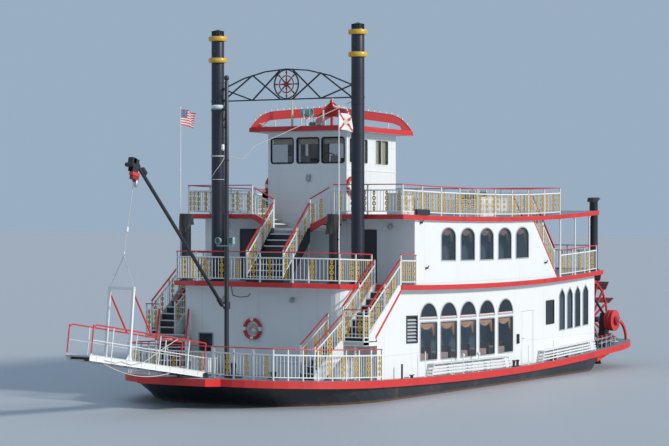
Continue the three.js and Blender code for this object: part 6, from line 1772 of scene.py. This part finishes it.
# %% Floodlights on a bar across the mast
FLOOD_Z = 6.44
floods, flood_glass = Shape(), Shape()
floods.block((MAST_X + 0.082, MAST_X + 0.122), (-0.34, 0.34), (FLOOD_Z - 0.19, FLOOD_Z - 0.15))
floods.lathe((MAST_X + 0.10, -0.25, FLOOD_Z), [
    (0.05, -0.08), (0.10, -0.05), (0.12, 0.05), (0.12, 0.09), (0.10, 0.09), (0.09, 0.04)], 20, axis="X")
floods.block((MAST_X + 0.03, MAST_X + 0.16), (0.15, 0.37), (FLOOD_Z - 0.11, FLOOD_Z + 0.13))
for y in (-0.25, 0.26):
    floods.block((MAST_X + 0.09, MAST_X + 0.115), about(y, 0.02), (FLOOD_Z - 0.15, FLOOD_Z - 0.09))
floods.piece("mast_floodlights", "teal", lift=False, bevel=0.005)
flood_glass.lathe((MAST_X + 0.10, -0.25, FLOOD_Z), [(0.089, 0.05), (0.088, 0.06)], 20, axis="X")
flood_glass.block((MAST_X + 0.161, MAST_X + 0.168), (0.17, 0.35), (FLOOD_Z - 0.09, FLOOD_Z + 0.11))
flood_glass.piece("floodlight_lenses", "glass", lift=False)
print("chimneys and mast done")

# %% [markdown]
# ## Landing stage, boom and hoist
# The landing stage is drawn in its own frame, as if it lay level with its hinge at the origin, and one
# matrix pitches it up to where the rope holds it. Its parts then ride the stage's body, so they turn
# with it.

# %% The stage in its own frame
STAGE_PIN, STAGE_PITCH, FALL_END = Vector((10.23, 0.0, 2.007)), math.radians(8.6), Vector((13.985, 0.0, 6.03))
STAGE_LONG, STAGE_HALF, GIRDER = 6.18, 0.505, 0.10
to_boat = Matrix.Translation(STAGE_PIN) @ Matrix.Rotation(-STAGE_PITCH, 4, "Y")
ring_local = to_boat.inverted() @ FALL_END
STAGE_POSTS, STAGE_RAIL, STAGE_MID = (0.06, 1.0, 2.6, 4.17, 5.1, 6.12), 1.04, 0.55


def on_stage(shape, name, paint, replaces=(), bevel=0.0, slot=None):
    return shape.moved(to_boat).piece(name, paint, "landing_stage", replaces, False, bevel, slot)


girders, under, red_rails, white_rails, red_posts, white_posts = (Shape() for _ in range(6))
for side in (1, -1):
    y = side * (STAGE_HALF - 0.025)
    web, flange = about(y, 0.006), about(y, 0.024)
    girders.block((-0.03, STAGE_LONG), web, (-GIRDER + 0.006, GIRDER - 0.012))
    for z in (-GIRDER, GIRDER - 0.012):
        girders.block((-0.03, STAGE_LONG), flange, (z, z + 0.012))
    for i in range(8):
        x = 0.40 + 0.78 * i
        girders.block(about(x, 0.006), flange, (-GIRDER + 0.012, GIRDER - 0.012))
    for x in STAGE_POSTS:
        target = red_posts if x in (STAGE_POSTS[0], STAGE_POSTS[-1]) else white_posts
        target.tube([(x, y, GIRDER - 0.005), (x, y, STAGE_RAIL - 0.01)], 0.021, 12)
        white_posts.lathe((x, y, GIRDER), [(0.03, 0.0), (0.03, 0.02), (0.021, 0.03)], 12)
    corner = [(STAGE_POSTS[-1] - 0.20 + 0.20 * math.sin(a), y, STAGE_RAIL - 0.20 + 0.20 * math.cos(a))
              for a in (math.pi / 2 * k / 6 for k in range(7))]
    red_rails.tube([(STAGE_POSTS[0], y, STAGE_RAIL), *corner, (STAGE_POSTS[-1], y, STAGE_MID)], 0.024, 12)
    white_rails.tube([(STAGE_POSTS[0], y, STAGE_MID), (STAGE_POSTS[-1], y, STAGE_MID)], 0.016, 10)
for i in range(9):
    x = 0.30 + 0.70 * i
    under.block(about(x, 0.02), (-0.47, 0.47), (-0.055, 0.0195))
under.tube([(0, -0.575, 0), (0, 0.575, 0)], 0.0395, 24)
on_stage(girders, "stage_girders", "white", ("stage",))
on_stage(under, "stage_cross_bars", "black")
on_stage(red_rails, "stage_handrails", "red")
on_stage(white_rails, "stage_mid_rails", "white")
on_stage(red_posts, "stage_end_posts", "red")
on_stage(white_posts, "stage_posts", "white")
planks = Shape()
for k in range(8):
    y = -0.463 + 0.116 * k
    planks.block((0.01, STAGE_LONG), (y, y + 0.110), (0.020, 0.058))
on_stage(planks, "stage_planks", "grey", bevel=0.004, slot="deck_paint")
cleats = [Vector((0.35 + 0.35 * i, 0, 0.066)) for i in range(17)]
cleat_mesh = grow(BLOCKS, cleats, [], Size=(0.03, 0.86, 0.018), Material="steel")
cleat_mesh.transform(to_boat)
finish_piece("stage_tread_cleats", cleat_mesh, "machine_steel", "landing_stage")

# %% Portal, braces and bridle
portal, braces, bridle = Shape(), Shape(), Shape()
for side in (1, -1):
    y = side * (STAGE_HALF - 0.025)
    portal.beam((4.17, y, 0.095), (4.27, y, 2.43), 0.085)
    portal.plate([(4.01, 0.098), (4.33, 0.098), (4.20, 0.30), (4.14, 0.30)],
                 lambda a, b, depth, y=y: Vector((a, y + depth, b)), -0.010, 0.010)
    braces.beam((4.268, y, 2.27), (3.15, y, STAGE_RAIL), 0.045)
    for z in (2.30, 2.39):
        portal.lathe((4.27, y, z), [(0.02, side * 0.043), (0.02, side * 0.06)], 8, axis="Y")
    bridle.tube([(4.27, y, 2.39), tuple(ring_local)], 0.012, 8)
    bridle.lathe((4.27, y, 2.395), [(0.035, -0.02), (0.05, 0.0), (0.035, 0.02)], 14)
portal.block((4.2275, 4.3125), (-STAGE_HALF, STAGE_HALF), (2.345, 2.43))
bridle.tube([around(ring_local, 0.040, a, "Y") for a in circle(20)], 0.013, 10, closed=True)
on_stage(portal, "stage_portal", "white", bevel=0.006)
on_stage(braces, "stage_braces", "red", bevel=0.004)
on_stage(bridle, "stage_bridle", "bright")
tie_y = STAGE_HALF + 0.008
tie = Shape()
for thick, route in ((0.013, ((1.70, STAGE_RAIL - 0.02), (2.60, 0.56), (3.41, 0.11), (4.10, -0.04), (4.60, 0.02))),
                     (0.011, ((4.60, 0.02), (4.9, -0.05), (5.45, -0.02)))):
    tie.tube([(x, tie_y, z) for x, z in route], thick, 8)
on_stage(tie, "stage_tie_ropes", "rope")

# %% Boom: a tube with bands, its cheeks and pins
BOOM_PIN, BOOM_TIP = Vector((8.50, 0.0, 4.25)), Vector((13.34, 0.0, 9.02))
boom_run = BOOM_TIP - BOOM_PIN
boom_long = boom_run.length
to_boom = Matrix.Translation(BOOM_PIN) @ Matrix.Rotation(-math.atan2(boom_run.z, boom_run.x), 4, "Y")
boom = Shape()
boom.tube([(t, 0, 0) for t in (0.13, 0.20, boom_long - 0.20, boom_long - 0.15)], [0.05, 0.059, 0.059, 0.05], 24)
for t in (0.35, 1.6, 3.2, 4.8, boom_long - 0.30):
    boom.tube([(t - 0.03, 0, 0), (t + 0.03, 0, 0)], 0.0598, 24)
for side in (1, -1):
    for x, ys, half in (((-0.05, 0.33), (0.027, 0.059), 0.054),
                        ((boom_long - 0.22, boom_long + 0.06), (0.033, 0.055), 0.059)):
        boom.plate(rounded(x, (-half, half), 0.045), lambda a, b, depth, s=side: Vector((a, s * depth, b)), *ys)
boom.moved(to_boom).piece("boom_spar", "black", "derrick_boom", ("boom",), lift=False)
pins = Shape()
for t, reach in ((0.0, 0.075), (boom_long, 0.066)):
    pins.lathe((t, 0, 0), [(0.022, -reach), (0.022, reach)], 16, axis="Y")
    for side in (1, -1):
        pins.lathe((t, side * reach, 0), [(0.036, -0.012), (0.036, 0.004)], 6, axis="Y")
pins.moved(to_boom).piece("boom_pins", "bright", "derrick_boom", lift=False)
lead = Shape()
lead.block((boom_long - 0.62, boom_long - 0.36), (-0.055, 0.055), (0.060, 0.17))
lead.tube([(0.5, 0.0, 0.072), (boom_long - 0.62, 0.0, 0.072)], 0.011, 8)
lead.moved(to_boom).piece("boom_cable", "black", "derrick_boom", lift=False, slot="moulded")

# %% Hoist: strap, red housing, motor, block and the rope down to the ring
fall_run = FALL_END - BOOM_TIP
along_fall = fall_run.normalized()
across_fall = Vector((along_fall.z, 0, -along_fall.x))


def fall_at(length, across=0.0, y=0.0):
    return BOOM_TIP + along_fall * length + across_fall * across + Vector((0, y, 0))


def fall_block(shape, span, across, ys):
    shape.loft([[fall_at(length, a, y) for a, y in rectangle(across, ys)] for length in span])


def on_fall(shape, name, paint, replaces=(), bevel=0.0):
    return shape.piece(name, paint, "hoist_fall", replaces, False, bevel)


strap, housing, dark, motor = Shape(), Shape(), Shape(), Shape()
fall_block(strap, (0.035, 0.30), (-0.012, 0.012), (-0.019, 0.019))
strap.lathe(BOOM_TIP, [(0.0225, -0.023), (0.044, -0.023), (0.044, 0.023), (0.0225, 0.023)], 20, axis="Y")
fall_block(housing, (0.305, 0.44), (-0.185, 0.185), (-0.085, 0.085))
fall_block(dark, (0.44, 0.555), (-0.15, 0.17), (-0.075, 0.075))
motor.tube([fall_at(t, 0, 0.11) for t in (0.56, 0.58, 0.76, 0.795)], [0.045, 0.060, 0.060, 0.04], 20)
motor.tube([fall_at(t, 0, 0) for t in (0.556, 0.575, 0.61, 0.63)], [0.02, 0.05, 0.05, 0.02], 14)
cheeks = Shape()
for ys in ((0.082, 0.100), (-0.100, -0.082)):
    fall_block(cheeks, (-0.11, 0.31), (-0.24, 0.05), ys)
fall_block(cheeks, (-0.13, 0.06), (-0.30, -0.10), (-0.10, 0.10))
cheeks.tube([fall_at(0.12, -0.30, y) for y in (-0.17, -0.13, 0.13, 0.17)], [0.06, 0.075, 0.075, 0.06], 18)
on_fall(cheeks, "hoist_frame", "black", bevel=0.006)
on_fall(strap, "hoist_strap", "black", ("fall",))
on_fall(housing, "hoist_housing", "red", bevel=0.018)
on_fall(dark, "hoist_gearbox", "wheel_red", bevel=0.012)
on_fall(motor, "hoist_motor", "bright")
rope = Shape().tube([fall_at(t) for t in (0.60, 1.2, 2.0, fall_run.length - 0.12)], 0.0115, 10)
on_fall(rope, "hoist_rope", "rope")
weight = Shape().tube([fall_at(t) for t in (2.10, 2.12, 2.26, 2.28)], [0.02, 0.045, 0.045, 0.02], 14)
weight.tube([fall_at(fall_run.length - t) for t in (0.14, 0.13, 0.07, 0.05)], [0.016, 0.024, 0.024, 0.012], 12)
on_fall(weight, "hoist_block", "white")

# %% Bolts on the collar and the saddle
collar_bolts = [around((MAST_X, 0, z), 0.131, math.pi * k / 3) for z in (4.19, 4.31) for k in (1, 2, 4, 5)]
studs_at("collar_bolts", collar_bolts, 0.013, 0.010, UPRIGHT, "steel", "derrick_collar", lift=False)
saddle_bolts = [Vector((x, side * 0.565, 1.96)) for x in (10.17, 10.29) for side in (1, -1)]
studs_at("saddle_bolts", saddle_bolts, 0.014, 0.012, SIDEWAYS, "steel", lift=False)
print("bow gear done")

# %% [markdown]
# ## Paddle wheel and stern
# The wheel's boards, frames and drums are already solid. What tells its size are the bolts and clips that
# hold each board, so they ride the wheel and turn with it.

# %% Clips and bolts on the wheel
BOARDS, WHEEL_FRAMES = 16, (-2.93, 0.0, 2.93)
clips, wheel_bolts = Shape(), []
for angle in circle(BOARDS):
    turn = Matrix.Rotation(-angle, 4, "Y")
    for y in WHEEL_FRAMES:
        for face in (1, -1):
            ring = [WHEEL_CENTRE + turn @ Vector((r, along, face * 0.036))
                    for r, along in rectangle((1.80, 2.12), about(y, 0.07))]
            out = turn @ Vector((0, 0, face * 0.010))
            clips.loft([[p - out * 1.3 for p in ring], [p + out * 0.4 for p in ring]])
            wheel_bolts += [WHEEL_CENTRE + turn @ Vector((r, y, face * 0.044)) for r in (1.87, 1.99, 2.08)]
clips.piece("board_clips", "black", "wheel", lift=False)
studs_at("board_bolts", wheel_bolts, 0.020, 0.024, UPRIGHT, "steel", "wheel", lift=False)

# %% Hubs, drum faces and their bolts
hubs, drums, drum_bolts = Shape(), Shape(), []
for y in WHEEL_FRAMES:
    for face in (1, -1):
        centre = WHEEL_CENTRE + Vector((0, y, 0))
        hubs.lathe(centre, [(0.10, face * 0.046), (0.30, face * 0.046), (0.30, face * 0.058), (0.20, face * 0.062),
                            (0.13, face * 0.09), (0.10, face * 0.09)], 32, axis="Y")
hubs.piece("wheel_hubs", "black", "wheel", lift=False)
for label, side in SIDES:
    centre = WHEEL_CENTRE + Vector((0, side * 4.06, 0))
    drums.lathe(centre, [(0.185, side * 0.001), (0.40, side * 0.001), (0.425, side * 0.008), (0.425, side * 0.016),
                         (0.36, side * 0.018), (0.33, side * 0.008), (0.185, side * 0.008)], 40, axis="Y")
    for z in (-0.315, -0.16, -0.005):
        raised = [(r, side * along) for r, along in band(0.428, 0.018, z, z + 0.032, 0.004)]
        drums.lathe(centre, raised, 40, axis="Y")
    drum_bolts += [around(centre, 0.27, a, "Y", side * 0.012) for a in circle(10)]
    cap = Shape().lathe(WHEEL_CENTRE + Vector((0, side * 4.26, 0)),
                        [(0.02, side * 0.024), (0.075, side * 0.016), (0.085, side * 0.001)], 24, axis="Y")
    cap.piece(f"shaft_cap_{label}", "steel", "wheel", lift=False, slot="gold_paint")
drums.piece("drum_rims", "red", "wheel", lift=False)
studs_at("drum_bolts", drum_bolts, 0.022, 0.020, SIDEWAYS, "steel", "wheel", lift=False)

# %% Bearings, steam pipes and the engine's parts
SHAFT_R = 0.125
for label, side in SIDES:
    block, arm = Shape(), Shape()
    for shape, y, proud, half in ((block, 3.395, 0.075, 0.03), (block, 3.665, 0.075, 0.03), (arm, 4.18, 0.063, 0.046)):
        shape.lathe(WHEEL_CENTRE + Vector((0, side * y, 0)), band(SHAFT_R, proud, -half, half, 0.0), 32, axis="Y")
    block.piece(f"bearing_housings_{label}", "steel", lift=False)
    arm.piece(f"arm_ring_{label}", "red", lift=False)
    pipes = Shape()
    pipes.tube([(-12.02, side * 3.0, 3.0), (-12.4, side * 3.02, 2.95), (-12.9, side * 3.25, 2.6),
                (-13.2, side * 3.40, 2.15), (-13.3, side * 3.45, 1.98)], 0.045, 12)
    pipes.tube([(-12.02, side * 2.6, 2.5), (-12.25, side * 2.6, 2.5)], 0.03, 10)
    pipes.piece(f"stern_pipes_{label}", "steel", lift=False)
    gear = Shape()
    bollard(gear, -12.9, side * 4.25)
    gear.block((-13.5, -12.6), (side * 3.25, side * 3.80), (MAIN + GAP, MAIN + 0.16))
    gear.lathe((-13.05, side * 3.52, MAIN + 0.16), [(0.16, 0.0), (0.16, 0.05), (0.07, 0.09), (0.07, 0.30),
                                                    (0.13, 0.34), (0.13, 0.40), (0.05, 0.44)], 20)
    gear.piece(f"stern_gear_{label}", "black", bevel=0.005)
for label, side in SIDES:
    manifold, handwheels = Shape(), Shape()
    for y, z in ((4.40, 0.22), (4.22, 0.34)):
        manifold.tube([(x, side * (y - inwards), MAIN + z) for x, inwards in ((-12.2, 0), (-13.3, 0), (-14.1, 0.05))],
                      0.038, 12)
        for k in range(4):
            x = -12.45 - 0.42 * k
            manifold.tube([(x, side * y, MAIN + 0.004), (x, side * y, MAIN + z + 0.10)], 0.030, 10)
            manifold.lathe((x, side * y, MAIN + z - 0.05), [(0.060, 0.0), (0.060, 0.10)], 12)
            handwheels.lathe((x, side * y, MAIN + z + 0.105), [
                (0.02, 0.0), (0.075, 0.0), (0.082, 0.012), (0.075, 0.024), (0.02, 0.024)], 16)
    manifold.tube([(x, side * y, MAIN + z) for x, y, z in (
        (-12.05, 4.10, 0.80), (-12.5, 4.12, 0.62), (-12.9, 4.05, 0.30), (-13.6, 4.10, 0.12), (-14.2, 4.30, 0.06))],
        0.05, 12)
    manifold.piece(f"stern_manifold_{label}", "steel")
    handwheels.piece(f"stern_handwheels_{label}", "red")
engine_parts = Shape()
for y in (-0.4, 0.4):
    engine_parts.lathe((-9.4, y, MAIN + 1.31), [(0.20, 0.0), (0.20, 0.18), (0.12, 0.22), (0.12, 0.30)], 20)
engine_parts.tube([(-10.4, 0, MAIN + 1.38), (-8.4, 0, MAIN + 1.38)], 0.07, 12)
engine_parts.piece("engine_pipes", "steel")
print("stern done")

# %% [markdown]
# ## Flags and slack lines
# A flag in a light wind hangs in travelling folds that grow towards its fly. The folds are waves whose
# height grows with the distance from the pole, and the cloth droops as it goes. Slack lines hang in a
# curve close to a parabola, which is enough for a short line.

# %% Flag cloth, striped or crossed by its place on the flag
FLAG_LONG, FLAG_HIGH = 0.95, 0.57


def flag_finish(name, striped):
    """Stripes and a canton, or a saltire with a pale disc, by height and distance from the pole."""
    finish = Finish(name, (0.80, 0.80, 0.78), 0.8, Sheen_Weight=0.3)
    tree, flag_red = finish.tree, (0.62, 0.030, 0.035)
    uv = put(tree, "ShaderNodeUVMap", uv_map="flag").outputs[0]
    along, up = finish.axis(0, uv), finish.axis(1, uv)
    if striped:
        stripe = finish.reckon("FLOORED_MODULO", finish.reckon("MULTIPLY", up, 6.5), 1.0)
        finish.tint(finish.part(stripe, 0.52, 0.48), flag_red)
        canton = finish.reckon("MULTIPLY", finish.part(along, 0.42, 0.40), finish.part(up, 0.45, 0.47))
        finish.tint(canton, (0.020, 0.035, 0.16))
        stars = put(tree, "ShaderNodeTexVoronoi", {"Vector": uv, "Scale": 16.0, "Randomness": 0.0},
                    feature="F1").outputs[0]
        finish.tint(finish.reckon("MULTIPLY", canton, finish.part(stars, 0.26, 0.20)), (0.80, 0.80, 0.78))
    else:
        x, y = (finish.reckon("SUBTRACT", share, 0.5) for share in (along, up))
        for slope in (1, -1):
            line = finish.reckon("SUBTRACT", y, finish.reckon("MULTIPLY", x, slope))
            finish.tint(finish.part(finish.reckon("ABSOLUTE", line), 0.10, 0.085), flag_red)
        wide = finish.reckon("MULTIPLY", x, FLAG_LONG / FLAG_HIGH)
        place = put(tree, "ShaderNodeCombineXYZ", {"X": wide, "Y": y}).outputs[0]
        away = put(tree, "ShaderNodeVectorMath", {0: place}, operation="LENGTH")
        finish.tint(finish.part(away.outputs[1], 0.20, 0.19), (0.66, 0.60, 0.42))
    finish.raise_by(finish.noise(60.0), 0.0006)
    return finish.done()


def flag(name, y, top, striped, phase, limp=1.0):
    columns, rows = 28, 14

    def place(v, u):
        swing = 0.075 * limp * u ** 0.7 * math.sin(2 * math.pi * (1.35 * u + 0.35 * v) + phase)
        ripple = 0.018 * u * math.sin(2 * math.pi * (3.4 * u - 0.8 * v) + 1.7 * phase)
        droop = 0.13 * limp * u * u + 0.03 * limp * math.sin(2.6 * math.pi * u + phase) * u
        return POLE_X - 0.022 - 0.93 * FLAG_LONG * u, y + swing + ripple, top - FLAG_HIGH * (1 - v) - droop

    MATERIALS[name] = flag_finish(f"{name}_cloth", striped)
    mesh = Shape().add(*cloth_grid(rows, columns, place)).mesh(name, [name], lift=False)
    layer = mesh.uv_layers.new(name="flag")
    for loop in mesh.loops:
        index = loop.vertex_index
        layer.data[loop.index].uv = ((index % (columns + 1)) / columns, (index // (columns + 1)) / rows)
    obj = finish_piece(name, mesh, "cloth", "ship")


flag_top = SALOON + sheer(POLE_X) + 5.86
flag("port_flag", POLE_Y, flag_top, False, 0.6, 0.55)
flag("starboard_flag", -POLE_Y, flag_top + 0.28, True, 2.1)

# %% Slack lines
def slack(start, end, sag):
    return [start.lerp(end, t) - Vector((0, 0, sag)) * 4 * t * (1 - t) for t in shares(24)]


def slack_at_the_end(start, end, sag):
    """Nearly straight at first, with its spare length hanging in a bight before the far end."""
    taut = 0.78
    start, end = Vector(start), Vector(end)
    return [start.lerp(end, t) - Vector((0, 0, 0.03 * math.sin(math.pi * t)
                                         + sag * math.sin(math.pi * max(0.0, (t - taut) / (1 - taut))) ** 2))
            for t in shares(40)]


declare_line("mast_wire", slack_at_the_end((4.60, 2.775, 11.28), (MAST_X - 0.03, 0.07, 9.31), 0.26), 0.012)
under_stage = [to_boat @ Vector((x, 0.455, -GIRDER - 0.010)) for x in (5.45, 1.90)]
declare_line("stage_slack_rope", slack(*under_stage, 0.25), 0.013, "landing_stage")

# %% A lashing round the starboard chimney, and the cable down the front wall
lash_r, lash_high, lash_low = CHIMNEY_R + 0.012, 9.44, 8.60
lashing, middle = Shape(), (CHIMNEY_X, -CHIMNEY_Y, 0)
for z in (lash_high, lash_high + 0.026, lash_low):
    lashing.tube([around(middle, lash_r, a, "Z", z) for a in circle(32)], 0.013, 8, closed=True)
lashing.tube([around(middle, lash_r, 1.9 - 2.6 * t, "Z", lash_high + (lash_low - lash_high) * t)
              for t in shares(20)], 0.013, 8)
lashing.piece("chimney_lashing", "rope", lift=False)
cable = Shape().tube([(6.262, y + 0.25, MAIN + z + 0.74) for y, z in
                      ((-1.42, 2.40), (-1.41, 2.2), (-1.36, 2.04), (-1.05, 1.98), (-0.70, 2.02), (-0.62, 2.12))],
                     0.011, 8)
cable.piece("front_wall_cable", "black", slot="moulded")
print("flags and lines done")

# %% Put away the shapes that were only copied from
bpy.data.objects.remove(casting)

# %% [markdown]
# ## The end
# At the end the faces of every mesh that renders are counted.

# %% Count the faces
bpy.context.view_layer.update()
faces = sum(len(o.data.polygons) for o in bpy.context.scene.objects if o.type == "MESH" and not o.hide_render)
